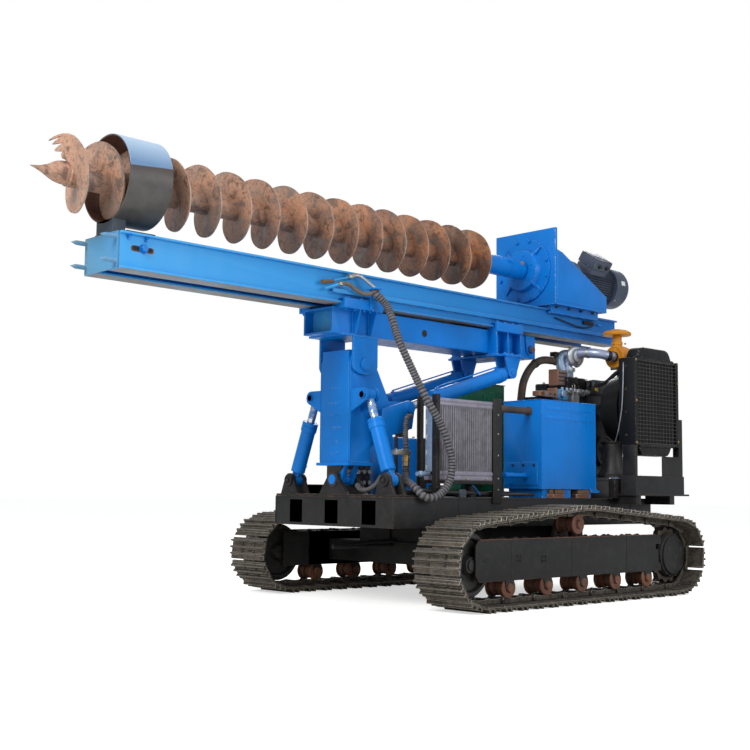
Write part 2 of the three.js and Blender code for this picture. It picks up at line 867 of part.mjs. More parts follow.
// lug and pin end where the mast's rear stay is fastened
const tailLug = () => {
  const shape = new THREE.Shape();
  shape.moveTo(tailLugX - 50, carrierTop);
  shape.absarc(tailLugX, tailLugZ, tailLugRadius, Math.PI, 2 * Math.PI, false);
  shape.lineTo(tailLugX + 50, carrierTop);
  shape.closePath();
  return join(
    plate(shape, "y", halfCarrier - 1, halfCarrier + 15, 12),
    roundBar("y", tailPinRadius, halfCarrier + 14, halfCarrier + 38).translate(tailLugX, 0, tailLugZ),
  );
};

// pad and hook that hold one of the mast's bottom lips: they stand on the carrier's top flange
const mastHook = (from, to) => {
  const inner = mastWidth / 2 + 6;
  const outer = mastWidth / 2 + mastLip + 28;
  const above = mastBottom + mastLipThickness + 6;
  const wallInner = mastWidth / 2 + mastLip + 6;
  return join(
    block(from, to, halfCarrier - 1, outer, carrierTop - 12, carrierTop),
    block(from, to, wallInner, outer, carrierTop - 2, above + 12),
    block(from, to, halfMast - 60, halfMast + mastLip, carrierTop - 1, mastBottom - slidePlay),
    block(from, to, inner, outer, above, above + 12),
  );
};

const carrierBeam = () => {
  const tube = cut(
    block(carrierRear, carrierFront, -halfCarrier, halfCarrier, carrierBottom, carrierTop),
    block(carrierRear - 1, carrierFront + 1, -halfCarrier + carrierWall, halfCarrier - carrierWall,
      carrierBottom + carrierWall, carrierTop - carrierWall),
  );
  const half = join(
    pivotEar(),
    tailLug(),
    mastHook(frontHookRear, frontHookFront),
    ...ribXs.map(sideRib),
  );
  const saddle = block(luffPivotX - 102, luffPivotX + 190, -earOuter, earOuter,
    carrierBottom - 9, carrierBottom + 2);
  return join(tube, saddle, half, mirrored(half));
};

const headEar = (inner) => {
  const shape = new THREE.Shape();
  const top = rearFlangeZ + 2;
  shape.moveTo(luffHeadX + 78, top);
  shape.lineTo(luffHeadX - 84, top);
  shape.lineTo(luffHeadX - eyeRadius, luffHeadZ + 6);
  shape.absarc(luffHeadX, luffHeadZ, eyeRadius, Math.PI, 2 * Math.PI - 0.2, false);
  shape.closePath();
  return plate(shape, "y", inner, inner + headEarPlate, 12);
};

const rearBracket = () => {
  const inner = halfCarrier + fit;
  const ribs = rearRibXs.map((x) => {
    const shape = outline([
      [inner, rearFlangeZ + 10],
      [rearRibReach, rearFlangeZ + 10],
      [rearRibTopReach, carrierTop - 10],
      [inner, carrierTop - 10],
    ]);
    return plate(shape, "x", x, x + rearRibThickness);
  });
  const luffPin = roundBar("y", eyePinRadius, luffCylinderY - 56, luffCylinderY + 56);
  const clearOfCarrier = block(flangeRear, 0, 0, inner, carrierBottom, mastTop);
  const half = join(
    ...ribs,
    block(rearHookRear, rearHookFront, inner, 208, carrierTop - 12, carrierTop),
    cut(mastHook(rearHookRear, rearHookFront), clearOfCarrier),
    headEar(luffCylinderY - 51),
    headEar(luffCylinderY + 35),
    luffPin.translate(luffHeadX, 0, luffHeadZ),
  );
  const flangeTop = rearFlangeZ + flangeThickness;
  const flange = block(flangeRear, flangeFront, -flangeHalf, flangeHalf, rearFlangeZ, flangeTop);
  const wings = block(flangeWingRear, flangeWingFront, -flangeWingHalf, flangeWingHalf,
    rearFlangeZ, flangeTop);
  return join(flange, wings, half, mirrored(half));
};

add("carrier_beam", carrierBeam(), blue);
add("rear_bracket", rearBracket(), blue);

// ---------------------------------------------------------------- luff cylinders

const luffLength = Math.hypot(luffFootX - luffHeadX, luffHeadZ - luffFootZ);

// the cylinder lies along +X from its head pin, then dips to its place
const dipLuff = (geometry) => {
  const dip = Math.atan2(luffHeadZ - luffFootZ, luffFootX - luffHeadX);
  return geometry.rotateY(dip).translate(luffHeadX, luffCylinderY, luffHeadZ);
};

const luffBarrel = () => {
  const bore = luffRodRadius + pinPlay;
  const start = 46;
  const profile = [
    [start, 0],
    [start, luffBarrelRadius],
    [luffBarrelLength - 50, luffBarrelRadius],
    [luffBarrelLength - 50, luffBarrelRadius + 5],
    [luffBarrelLength, luffBarrelRadius + 5],
    [luffBarrelLength, bore],
    [luffLength - luffRodLength - 12, bore],
    [luffLength - luffRodLength - 12, 0],
  ];
  const neck = cut(block(0, start + 6, -22, 22, -30, 30), roundBar("y", 34, -30, 30));
  return dipLuff(join(turned(profile, "x", 18), neck, eyeBoss("y", eyeRadius, 30, eyePinRadius + pinPlay)));
};

const luffRod = () => {
  const rod = roundBar("x", luffRodRadius, luffLength - luffRodLength, luffLength - 10, 18);
  const eye = roundBar("y", 38, -luffEyeHalf, luffEyeHalf, 16).translate(luffLength, 0, 0);
  return dipLuff(join(rod, eye));
};

addPair("luff_barrel", luffBarrel(), blue);
addPair("luff_rod", luffRod(), chrome);

// ---------------------------------------------------------------- mast

const mastSection = () => outline([
  [-halfMast - mastLip, mastBottom],
  [-mastSlot, mastBottom],
  [-mastSlot, mastBottom + mastLipThickness],
  [-halfMast + mastWall, mastBottom + mastLipThickness],
  [-halfMast + mastWall, mastTop - mastLipThickness],
  [halfMast - mastWall, mastTop - mastLipThickness],
  [halfMast - mastWall, mastBottom + mastLipThickness],
  [mastSlot, mastBottom + mastLipThickness],
  [mastSlot, mastBottom],
  [halfMast + mastLip, mastBottom],
  [halfMast + mastLip, mastBottom + mastLipThickness],
  [halfMast, mastBottom + mastLipThickness],
  [halfMast, mastTop - mastLipThickness],
  [halfMast + mastLip, mastTop - mastLipThickness],
  [halfMast + mastLip, mastTop],
  [-halfMast - mastLip, mastTop],
  [-halfMast - mastLip, mastTop - mastLipThickness],
  [-halfMast, mastTop - mastLipThickness],
  [-halfMast, mastBottom + mastLipThickness],
  [-halfMast - mastLip, mastBottom + mastLipThickness],
]);

const mastBeam = () => {
  const beam = plate(mastSection(), "x", mastRear, mastFront - endPlateThickness - fit);
  const tray = outline([
    [halfMast - 1, trayBottom],
    [halfMast + trayReach, trayBottom],
    [halfMast + trayReach, trayBottom + 26],
    [halfMast + trayReach - 5, trayBottom + 26],
    [halfMast + trayReach - 5, trayBottom + 5],
    [halfMast - 1, trayBottom + 5],
  ]);
  const leftTray = plate(tray, "x", mastRear + 70, trayFront);
  return join(beam, leftTray, mirrored(leftTray));
};

const mastFoot = () => {
  const spikes = [];
  for (const y of [-1, 1]) {
    for (const z of [mastBottom + 38, mastTop - 30]) {
      const profile = [[-2, 0], [-2, spikeRadius], [spikeTaper, spikeRadius], [spikeLength, 0]];
      spikes.push(turned(profile, "x", 10).translate(mastFront, y * (halfMast - 16), z));
    }
  }
  const face = block(mastFront - endPlateThickness, mastFront, -halfMast, halfMast, mastBottom, mastTop);
  return join(face, ...spikes);
};

const guideRing = () => {
  const profile = [
    [0, ringInnerRadius],
    [0, ringInnerRadius + ringWall],
    [ringLength, ringInnerRadius + ringWall],
    [ringLength, ringInnerRadius],
    [0, ringInnerRadius],
  ];
  return turned(profile, "x", 32).translate(ringRear, 0, ringZ);
};

const ringStand = () => {
  const base = mastTop + fit;
  const front = ringRear + ringLength + 2;
  const outer = ringInnerRadius + ringWall;
  const ringClearance = roundBar("x", outer + fit, ringRear, front + 4, 32).translate(0, 0, ringZ);
  return join(
    cut(block(standRear, front, -standHalf, standHalf, base, ringZ - outer + 14), ringClearance),
    block(standRear - 12, front, -standHalf - 14, standHalf + 14, base, base + standFlange),
  );
};

add("mast_beam", mastBeam(), blue);
add("mast_foot", mastFoot(), blue);
add("guide_ring", guideRing(), black);
add("ring_stand", ringStand(), black);

// ---------------------------------------------------------------- rotary head

const halfHead = headPlateWidth / 2;

const headCarriage = () => {
  const plateRear = headPlateX - headPlateThickness;
  const floor = headBase - headBaseThickness;
  const front = block(plateRear, headPlateX, -halfHead, halfHead, headBase - 2, headPlateTop);
  const base = block(headRear, headPlateX, -halfHead, halfHead, floor, headBase);
  const gusset = outline([
    [plateRear + 1, headBase - 2],
    [plateRear + 1, gussetTop],
    [plateRear - 60, gussetTop - 15],
    [headRear, headBase + 95],
    [headRear, headBase - 2],
  ]);
  const lip = mastTop - 32;
  const shoeRear = headRear + 15;
  const shoeFront = headPlateX - 40;
  const shoeInner = halfMast + mastLip + 5;
  const shoeOuter = shoeInner + shoeGrip;
  const shoe = join(
    block(shoeRear, shoeFront, halfMast - 30, shoeOuter, mastTop + slidePlay, floor + 1),
    block(shoeRear, shoeFront, shoeInner, shoeOuter, lip, floor + 1),
    block(shoeRear, shoeFront, halfMast + 6, shoeOuter, lip, lip + 14),
  );
  const half = join(plate(gusset, "y", halfHead - headCheek, halfHead), shoe);
  return join(front, base, half, mirrored(half));
};

const reducer = () => {
  const back = headPlateX - headPlateThickness - fit;
  const profile = [
    [motorFront, 0],
    [motorFront, 120],
    [motorFront + 30, 120],
    [motorFront + 60, 165],
    [back - 210, 165],
    [back - 190, reducerRadius],
    [back - 50, reducerRadius],
    [back - 50, reducerRadius + 15],
    [back, reducerRadius + 15],
    [back, 0],
  ];
  return turned(profile, "x", 20).translate(0, 0, augerZ);
};

const driveMotor = () => {
  const profile = [
    [motorRear, 0],
    [motorRear, fanCoverRadius - 26],
    [motorRear + 26, fanCoverRadius],
    [motorRear + fanCoverLength, fanCoverRadius],
    [motorRear + fanCoverLength, motorRadius],
    [motorFront - 60, motorRadius],
    [motorFront - 60, motorRadius + 22],
    [motorFront - 30, motorRadius + 22],
    [motorFront - fit, 115],
    [motorFront - fit, 0],
  ];
  const body = turned(profile, "x", 20);
  const terminalBox = block(terminalBoxRear, terminalBoxFront, -terminalBoxHalf, terminalBoxHalf,
    motorRadius - 20, terminalBoxTop);
  terminalBox.rotateX(terminalBoxLean);
  return join(body, terminalBox).translate(0, 0, augerZ);
};

const outputHousing = () => {
  const face = headPlateX + fit;
  const nose = housingNose;
  const bore = spigotRadius + pinPlay;
  const profile = [
    [face, 0],
    [face, housingFlangeRadius],
    [face + 16, housingFlangeRadius],
    [face + 16, housingRadius],
    [nose, 144],
    [nose, bore],
    [face + 18, bore],
    [face + 18, 0],
  ];
  const rib = outline([[face + 4, 150], [face + 4, 232], [face + 20, 232], [nose - 3, 140], [nose - 3, 120]]);
  const ribs = [0, 1, 2, 3].map((quarter) =>
    plate(rib, "y", -7, 7).rotateX(Math.PI / 4 + (quarter * Math.PI) / 2));
  return join(turned(profile, "x", 24), ...ribs).translate(0, 0, augerZ);
};

add("head_carriage", headCarriage(), blue);
add("reducer", reducer(), green);
add("drive_motor", driveMotor(), black);
add("output_housing", outputHousing(), blue);

// ---------------------------------------------------------------- auger

const driveShaft = () => {
  const profile = [
    [headPlateX + 22, 0],
    [headPlateX + 22, spigotRadius],
    [shaftRear, spigotRadius],
    [shaftRear, augerTubeRadius],
    [augerRear - fit, augerTubeRadius],
    [augerRear - fit, 0],
  ];
  return turned(profile, "x", 24).translate(0, 0, augerZ);
};

// one screw blade with a four-sided section
const flight = () => {
  const perTurn = 12;
  const steps = Math.round(((flightFront - flightRear) / flightPitch) * perTurn);
  const inner = augerTubeRadius - 6;
  const half = flightThickness / 2;
  const corners = [[inner, -half], [flightRadius, -half], [flightRadius, half], [inner, half]];
  const sections = [];
  for (let i = 0; i <= steps; i += 1) {
    const angle = (2 * Math.PI * i) / perTurn;
    const along = flightRear + (flightPitch * i) / perTurn;
    sections.push(corners.map(([radius, offset]) =>
      [along + offset, radius * Math.cos(angle), radius * Math.sin(angle)]));
  }
  return loft(sections);
};

// forged point: round where it leaves the tube, drawn out to a flat blade
const point = (tubeFront) => {
  const sides = 14;
  return loft(pointSections.map(([along, low, high, half]) => {
    const corners = [];
    for (let i = 0; i < sides; i += 1) {
      const angle = (2 * Math.PI * i) / sides;
      const height = (low + high) / 2 - ((high - low) / 2) * Math.sin(angle);
      corners.push([tubeFront + along, half * Math.cos(angle), height]);
    }
    return corners;
  }));
};

const auger = () => {
  const tubeFront = augerTip - tipLength;
  return join(
    roundBar("x", augerTubeRadius, augerRear, tubeFront, 14),
    flight(),
    point(tubeFront),
  ).translate(0, 0, augerZ);
};

add("drive_shaft", driveShaft(), blue);
add("auger", auger(), rust);

// ---------------------------------------------------------------- power pack

const cooler = () => {
  const y0 = coolerFace - coolerDepth;
  return join(
    block(coolerRear, coolerFront, y0, coolerFace, coolerBottom + 55, coolerTop - 45),
    block(coolerRear, coolerFront, y0 - 8, coolerFace + 6, coolerTop - 46, coolerTop),
    block(coolerRear, coolerFront, y0 - 8, coolerFace + 6, coolerBottom, coolerBottom + 56),
  );
};

const coolerFrame = () => {
  const deck = platformTop + fit;
  const front = coolerFront + fit;
  const rear = coolerRear - fit;
  const far = coolerFace - coolerDepth - 40;
  const top = coolerTop + 22;
  return join(
    block(front, front + 6, coolerFace - 55, coolerFace + 6, deck, top),
    block(front, front + 32, coolerFace, coolerFace + 6, deck, top),
    block(front, front + 30, far, far + 6, deck, top - 6),
    block(front, front + 6, far, far + 30, deck, top - 6),
    block(rear - 85, rear, coolerFace, coolerFace + 7, 604, top),
    block(rear - 85, rear - 78, coolerFace - 70, coolerFace + 1, deck, top),
    block(rear - 80, front + 6, far, coolerFace + 6, coolerBottom - 20, coolerBottom - fit),
  );
};

const tank = () => {
  const feet = [];
  for (const x of [tankRear + 30, (tankRear + tankFront) / 2 - 40, tankFront - 110]) {
    feet.push(block(x, x + 80, tankInner + 20, tankFace - 20, platformTop + fit, tankBottom + 1));
  }
  return join(
    block(tankRear, tankFront, tankInner, tankFace, tankBottom, tankTop),
    roundBar("x", tankPipeRadius, tankFront - 1, tankFront + tankPipeReach)
      .translate(0, tankPipeY, tankPipeZ),
    ...feet,
  );
};

const returnPipe = () =>
  roundBar("x", returnPipeRadius, tankFront + fit, coolerRear - fit).translate(0, returnPipeY, returnPipeZ);

const engine = () => join(
  block(engineX - 150, engineX + 150, -320, 240, platformTop + fit, 900),
  block(engineX - 215, engineX + 215, -330, 260, engineDeck, engineBlockTop),
  block(engineX - 130, engineX + 130, -300, 235, engineBlockTop - 1, engineHeadTop),
  roundBar("y", 120, 259, 285).translate(engineX, 0, crankZ),
  roundBar("y", 68, 259, 330).translate(engineX, 0, fanPulleyZ),
  roundBar("y", 225, -470, -329).translate(engineX, 0, crankZ),
);

const pipeSection = (radius, sides) => {
  const points = [];
  for (let i = 0; i < sides; i += 1) {
    const angle = (2 * Math.PI * i) / sides;
    points.push([radius * Math.cos(angle), radius * Math.sin(angle)]);
  }
  return outline(points);
};

const tube = (points, radius, sides, steps) => {
  const knots = points.map(([x, y, z]) => new THREE.Vector3(x, y, z));
  const path = new THREE.CatmullRomCurve3(knots, false, "centripetal");
  const section = pipeSection(radius, sides);
  return new THREE.ExtrudeGeometry(section, { steps, bevelEnabled: false, extrudePath: path });
};

const exhaust = () => tube([
  [-430, exhaustY, 960],
  [-440, exhaustY, 1150],
  [-454, exhaustY, 1340],
  [-487, exhaustY, 1471],
  [-578, exhaustY, 1580],
  [-690, exhaustY, 1632],
  [-830, exhaustY, 1640],
  [engineX + 261 + fit, exhaustY, 1640],
], exhaustRadius, 10, 18);

const turbo = () => join(
  roundBar("z", turboRadius, 1400, turboTop).translate(engineX + turboX, turboY, 0),
  block(engineX + 130 + fit, engineX + 260, turboY - 60, turboY + 60, 1380, 1470),
  block(engineX + 239, engineX + 261, exhaustY - 38, exhaustY + 22, 1540, 1672),
);

const intakeDuct = () => tube([
  [engineX + turboX, turboY, turboTop + fit],
  [engineX + turboX, turboY, turboTop + 40],
  [engineX + 205, 165, 1684],
  [engineX + 185, 270, 1692],
  [engineX + 150, 370, 1680],
  [airCleanerX + 45, airCleanerY, airCleanerZ],
  [airCleanerX + fit, airCleanerY, airCleanerZ],
], ductRadius, 10, 18);

const airCleaner = () => {
  const x = airCleanerX;
  const y = airCleanerY;
  const cap = [[-74, 0], [-74, 60], [-52, 100], [-28, 102], [-8, 60], [0, 0]];
  return join(
    roundBar("x", airCleanerRadius, x - airCleanerLength, x).translate(0, y, airCleanerZ),
    roundBar("z", 34, airCleanerZ + 35, capZ - 22).translate(x - 40, y, 0),
    turned(cap, "z", 20).translate(x - 40, y, capZ),
  );
};

add("oil_cooler", cooler(), aluminium);
add("cooler_frame", coolerFrame(), black);
add("hydraulic_tank", tank(), blue);
add("return_pipe", returnPipe(), rust);
add("engine", engine(), black);
add("exhaust_pipe", exhaust(), rust);
add("turbocharger", turbo(), aluminium);
add("intake_duct", intakeDuct(), aluminium);
add("air_cleaner", airCleaner(), orange);

const radiator = () => {
  const y0 = radiatorFace - radiatorDepth;
  const half = radiatorWidth / 2;
  return join(
    block(engineX - half, engineX + half, y0, radiatorFace, radiatorBottom, radiatorTop),
    block(engineX - 214, engineX + 214, y0 + 20, radiatorFace - 20, radiatorTop - 1, radiatorTankTop),
    block(engineX - 200, engineX + 200, y0 + 25, radiatorFace - 25, radiatorFootBottom, radiatorBottom + 1),
  );
};

const rearSupport = () => {
  const left = supportRear + 3;
  const step = supportBottom - 12;
  const inner = halfPlatform + fit;
  const arm = (x) => block(x, x + 60, inner, supportOuter - 10, step - 61, step + 1);
  return join(
    block(supportRear, supportFront, supportInner, supportOuter, supportBottom, supportTop),
    block(supportRear - 63, supportFront, inner, supportOuter + 2, step, supportBottom + 1),
    block(left, engineX - radiatorWidth / 2 - fit, 690, 742, supportTop - 1, 1211),
    block(left, left + 262, 734, 742, supportTop - 1, radiatorFootBottom - fit),
    arm(supportRear + 115),
    arm(supportFront - 75),
  );
};

const radiatorPost = () => block(-880, -850, 640, 742, supportTop + fit, radiatorBottom - fit);

add("radiator", radiator(), black);
add("rear_support", rearSupport(), black);
add("radiator_post", radiatorPost(), black);

const cabinet = () => block(-800, -300, -525, -385, platformTop + fit, cabinetTop);
const fuelTank = () => block(60, 520, -525, -300, platformTop + fit, fuelTankTop);

const valveBank = () => {
  const body = block(600, 860, -525, -380, platformTop + fit, valveTop);
  const levers = [0, 1, 2, 3, 4].map((i) =>
    roundBar("z", 7, valveTop - 1, leverTop, 8).translate(630 + i * 48, -450, 0));
  return join(body, ...levers);
};

add("control_cabinet", cabinet(), green);
add("fuel_tank", fuelTank(), blue);
add("control_valves", valveBank(), black);

// ---------------------------------------------------------------- hoses

const hose = () => tube(hoseRoute, hoseRadius, 8, 52);

const hoseBracket = () => {
  const stem = mastWidth / 2 + mastLip + 28 + fit;
  const [endX, endY, endZ] = hoseRoute[0];
  const seat = endZ + fit;
  return join(
    block(endX - hoseRadius, endX, stem, stem + 10, carrierTop - 10, seat + 10),
    block(endX - hoseRadius - 6, endX + hoseRadius + 6, stem, endY + hoseRadius + 6, seat, seat + 10),
  );
};

const hoseCoupling = () => join(
  roundBar("z", 20, 830, couplingTop).translate(couplingX, couplingY, 0),
  block(couplingX - 20, couplingX + 105, bracketOuter + fit, couplingY + 22, couplingTop - 30, couplingTop),
);

add("hose_bracket", hoseBracket(), blue);
add("hose_coupling", hoseCoupling(), aluminium);
add("hydraulic_hose", hose(), hoseRubber);

export default rig;
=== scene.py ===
"""Crawler auger piling rig: the finish of every piece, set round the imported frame.

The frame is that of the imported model: +X forwards, +Y to the rig's left, +Z up. Lengths are in metres; the
helpers mm, in_mm, past, spot, slab, bolt and weld take millimetres.
"""

import json
import random
from math import acos, atan2, copysign, cos, hypot, pi, radians, sin

import bmesh
import bpy
from bpy.props import FloatProperty, FloatVectorProperty, IntProperty, PointerProperty
from mathutils import Matrix, Vector, noise

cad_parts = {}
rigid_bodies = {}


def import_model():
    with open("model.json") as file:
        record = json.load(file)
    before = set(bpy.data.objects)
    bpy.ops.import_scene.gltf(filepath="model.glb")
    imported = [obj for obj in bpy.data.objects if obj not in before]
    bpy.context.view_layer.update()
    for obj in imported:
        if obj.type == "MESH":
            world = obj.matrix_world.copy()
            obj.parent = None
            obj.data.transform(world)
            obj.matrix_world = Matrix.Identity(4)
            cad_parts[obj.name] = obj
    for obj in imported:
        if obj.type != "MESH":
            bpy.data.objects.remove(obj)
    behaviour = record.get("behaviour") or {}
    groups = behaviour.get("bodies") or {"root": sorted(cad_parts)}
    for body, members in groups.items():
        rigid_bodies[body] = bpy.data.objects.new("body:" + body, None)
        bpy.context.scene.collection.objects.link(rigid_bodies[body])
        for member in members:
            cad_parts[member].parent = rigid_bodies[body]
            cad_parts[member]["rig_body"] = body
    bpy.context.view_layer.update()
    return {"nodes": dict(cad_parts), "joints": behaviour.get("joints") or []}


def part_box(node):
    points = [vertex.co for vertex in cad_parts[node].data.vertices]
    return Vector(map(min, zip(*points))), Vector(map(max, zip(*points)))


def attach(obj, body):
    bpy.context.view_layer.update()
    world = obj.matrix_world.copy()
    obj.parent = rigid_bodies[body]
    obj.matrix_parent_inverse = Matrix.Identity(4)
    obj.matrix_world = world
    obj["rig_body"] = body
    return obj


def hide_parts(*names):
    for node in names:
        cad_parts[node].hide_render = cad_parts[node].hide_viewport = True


bl_info = {
    "name": "Auger piling rig",
    "version": (1, 0, 0),
    "blender": (4, 5, 0),
    "location": "View3D > Sidebar > Rig",
    "description": "Builds the detailed surfaces of a crawler auger piling rig round its packed frame",
    "category": "Add Mesh",
}

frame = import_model()
MM = 0.001
SIDES = {"left": 1, "right": -1}
# In metres: the eye of the luff cylinders on the superstructure.
LUFF_FOOT_X, LUFF_FOOT_Z = 0.030, 1.193
# In millimetres: the middle of the engine along the rig, and the height of its fan.
ENGINE_X, FAN_Z = -1131, 1278
JOINTS = {joint["name"]: joint for joint in frame["joints"]}


class Box:
    """The corners of a CAD node, as plain numbers."""

    def __init__(self, node):
        low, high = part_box(node)
        self.x0, self.y0, self.z0 = low
        self.x1, self.y1, self.z1 = high
        self.x, self.y, self.z = (low + high) / 2


BOX = {name: Box(name) for name in frame["nodes"]}


def mm(*lengths):
    """Lengths given in millimetres, in metres."""
    return tuple(length * MM for length in lengths)


def in_mm(*points):
    """Points given in millimetres, in metres."""
    return [mm(*point) for point in points]


def past(start, *pairs):
    """Pairs given in millimetres, in metres, the first of each counted from start."""
    return [(start + along * MM, across * MM) for along, across in pairs]


def pivot(joint):
    return Vector(JOINTS[joint]["pos_m"])


# ---------------------------------------------------------------- sizes and colours a user may change


class RigSizes(bpy.types.PropertyGroup):
    edge: FloatProperty(
        name="Edge rounding", description="Radius ground on plate edges", default=2.5 * MM,
        min=0.5 * MM, max=6 * MM, unit="LENGTH")
    weld: FloatProperty(
        name="Weld bead", description="Radius of the weld beads", default=4.0 * MM,
        min=1 * MM, max=10 * MM, unit="LENGTH")
    bolt: FloatProperty(
        name="Bolt head", description="Width of the common bolt heads across their corners",
        default=26 * MM, min=8 * MM, max=60 * MM, unit="LENGTH")
    shoes: IntProperty(
        name="Track shoes", description="Shoes round each track", default=38, min=20, max=60)
    seed: IntProperty(name="Seed", description="Seed of the small irregularities", default=7)
    lens: FloatProperty(name="Lens", description="Focal length of the camera", default=56.64, unit="CAMERA")


class RigColours(bpy.types.PropertyGroup):
    blue: FloatVectorProperty(
        name="Blue", description="Enamel of the steelwork, as sRGB", subtype="COLOR_GAMMA",
        default=(0.02, 0.47, 0.82))
    green: FloatVectorProperty(
        name="Green", description="Enamel of the gearbox and cabinet, as sRGB", subtype="COLOR_GAMMA",
        default=(0.06, 0.44, 0.3))
    orange: FloatVectorProperty(
        name="Orange", description="Enamel of the air cleaner, as sRGB", subtype="COLOR_GAMMA",
        default=(0.86, 0.56, 0.13))


# ---------------------------------------------------------------- mesh making


class Maker:
    """Collects solids into one mesh, each face with its own material."""

    def __init__(self):
        self.bm = bmesh.new()
        self.finishes = []
        self.edge_layer = self.bm.faces.layers.float.new("edge")

    def _slot(self, finish):
        if finish not in self.finishes:
            self.finishes.append(finish)
        return self.finishes.index(finish)

    def _take(self, verts, faces, finish, place=None, bevel=0.0, sharp=30):
        """Adds a solid from loose vertices and faces; its hard edges are rounded by bevel."""
        part = bmesh.new()
        layer = part.faces.layers.float.new("edge")
        made = [part.verts.new(v) for v in verts]
        for face in faces:
            part.faces.new([made[i] for i in face])
        bmesh.ops.recalc_face_normals(part, faces=part.faces)
        if bevel > 0:
            round_edges(part, layer, bevel, sharp)
        if place is not None:
            bmesh.ops.transform(part, matrix=place, verts=part.verts)
        self._merge(part, finish)

    def _merge(self, part, finish):
        mesh = bpy.data.meshes.new("part")
        part.to_mesh(mesh)
        part.free()
        start = len(self.bm.faces)
        self.bm.from_mesh(mesh)
        bpy.data.meshes.remove(mesh)
        self.bm.faces.ensure_lookup_table()
        slot = self._slot(finish)
        for face in self.bm.faces[start:]:
            face.material_index = slot

    def box(self, low, high, finish, bevel=1.5 * MM, place=None):
        (x0, y0, z0), (x1, y1, z1) = low, high
        verts = [(x, y, z) for x in (x0, x1) for y in (y0, y1) for z in (z0, z1)]
        faces = [(0, 1, 3, 2), (4, 6, 7, 5), (0, 4, 5, 1), (2, 3, 7, 6), (0, 2, 6, 4), (1, 5, 7, 3)]
        limit = min(x1 - x0, y1 - y0, z1 - z0) * 0.45
        self._take(verts, faces, finish, place, min(bevel, limit))

    def plate(self, outline, along, low, high, finish, bevel=1.5 * MM, place=None):
        """A flat outline drawn out along X, Y or Z. The outline gives the two other coordinates in order."""
        axis = "xyz".index(along)
        verts = []
        for level in (low, high):
            for pair in outline:
                point = list(pair)
                point.insert(axis, level)
                verts.append(point)
        count = len(outline)
        faces = [tuple(range(count)), tuple(range(count, 2 * count))]
        for i in range(count):
            j = (i + 1) % count
            faces.append((i, j, count + j, count + i))
        self._take(verts, faces, finish, place, min(bevel, (high - low) * 0.45))

    def turned(self, profile, axis, centre, finish, steps=48, place=None):
        """A profile of (along, radius) pairs spun about an axis through centre."""
        turn = AXIS_TURN[axis]
        verts, faces, rings = [], [], []
        for along, radius in profile:
            if radius < 1e-6:
                rings.append([len(verts)])
                verts.append(turn @ Vector((0, 0, along)))
                continue
            rings.append(list(range(len(verts), len(verts) + steps)))
            for i in range(steps):
                angle = 2 * pi * i / steps
                verts.append(turn @ Vector((radius * cos(angle), radius * sin(angle), along)))
        closed = profile[0] == profile[-1]
        if closed:
            rings[-1] = rings[0]
            verts = verts[:len(verts) - steps]
        for first, second in zip(rings, rings[1:]):
            for i in range(steps):
                j = (i + 1) % steps
                quad = [first[i % len(first)], first[j % len(first)], second[j % len(second)],
                        second[i % len(second)]]
                unique = list(dict.fromkeys(quad))
                if len(unique) > 2:
                    faces.append(tuple(unique))
        move = Matrix.Translation(Vector(centre))
        self._take(verts, faces, finish, move if place is None else place @ move)

    def pipe(self, points, radius, finish, sides=12, ends=True, place=None):
        """A round tube along a line of points; radius may be one number or one for each point."""
        points = [Vector(p) for p in points]
        radii = radius if isinstance(radius, (list, tuple)) else [radius] * len(points)
        normal = None
        verts, faces = [], []
        for i, point in enumerate(points):
            ahead = points[min(i + 1, len(points) - 1)] - points[max(i - 1, 0)]
            ahead.normalize()
            if normal is None:
                normal = ahead.orthogonal().normalized()
            normal = (normal - ahead * normal.dot(ahead)).normalized()
            side = ahead.cross(normal)
            for k in range(sides):
                angle = 2 * pi * k / sides
                verts.append(point + radii[i] * (cos(angle) * normal + sin(angle) * side))
        for i in range(len(points) - 1):
            for k in range(sides):
                j = (k + 1) % sides
                faces.append((i * sides + k, i * sides + j, (i + 1) * sides + j, (i + 1) * sides + k))
        if ends:
            faces.append(tuple(range(sides)))
            faces.append(tuple(range(len(verts) - sides, len(verts))))
        self._take(verts, faces, finish, place)

    def bolt(self, place, out, finish, width=None, height=None, washer=True):
        """A hexagon bolt head on its washer, standing on place and pointing out, sized in millimetres."""
        width = width * MM if width else sizes().bolt
        height = height * MM if height else width * 0.36
        turn = Vector((0, 0, 1)).rotation_difference(Vector(out)).to_matrix().to_4x4()
        move = Matrix.Translation(Vector(place)) @ turn
        base = -0.5 * MM
        if washer:
            thick = width * 0.1
            self.turned([(base, 0), (base, width * 0.62), (thick, width * 0.62), (thick, 0)], "z", (0, 0, 0),
                        finish, 16, move)
            base = thick
        top = base + height
        self.turned([(base, 0), (base, width / 2), (top * 0.86, width / 2), (top, width * 0.42), (top, 0)],
                    "z", (0, 0, 0), finish, 6, move)

    def weld(self, points, finish, radius=None, ripple=5):
        """A weld bead with its ripples, laid along a line of points; radius and ripple in millimetres."""
        radius = radius * MM if radius else sizes().weld
        line = resample(points, ripple * MM)
        radii = [radius * (0.8 + 0.28 * noise.noise(p * 160.0) + (0.12 if i % 2 else -0.06))
                 for i, p in enumerate(line)]
        self.pipe(line, radii, finish, 6)

    def piece(self, name, body, slot, replaces=(), smooth=32):
        mesh = bpy.data.meshes.new(name)
        self.bm.to_mesh(mesh)
        self.bm.free()
        for finish in self.finishes:
            mesh.materials.append(FINISH[finish])
        mesh.shade_smooth()
        mesh.set_sharp_from_angle(angle=radians(smooth))
        piece = bpy.data.objects.new(name, mesh)
        bpy.context.scene.collection.objects.link(piece)
        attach(piece, body)
        if replaces:
            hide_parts(*replaces)
        return piece


AXIS_TURN = {
    "x": Matrix.Rotation(pi / 2, 3, "Y"),
    "y": Matrix.Rotation(-pi / 2, 3, "X"),
    "z": Matrix.Identity(3),
}


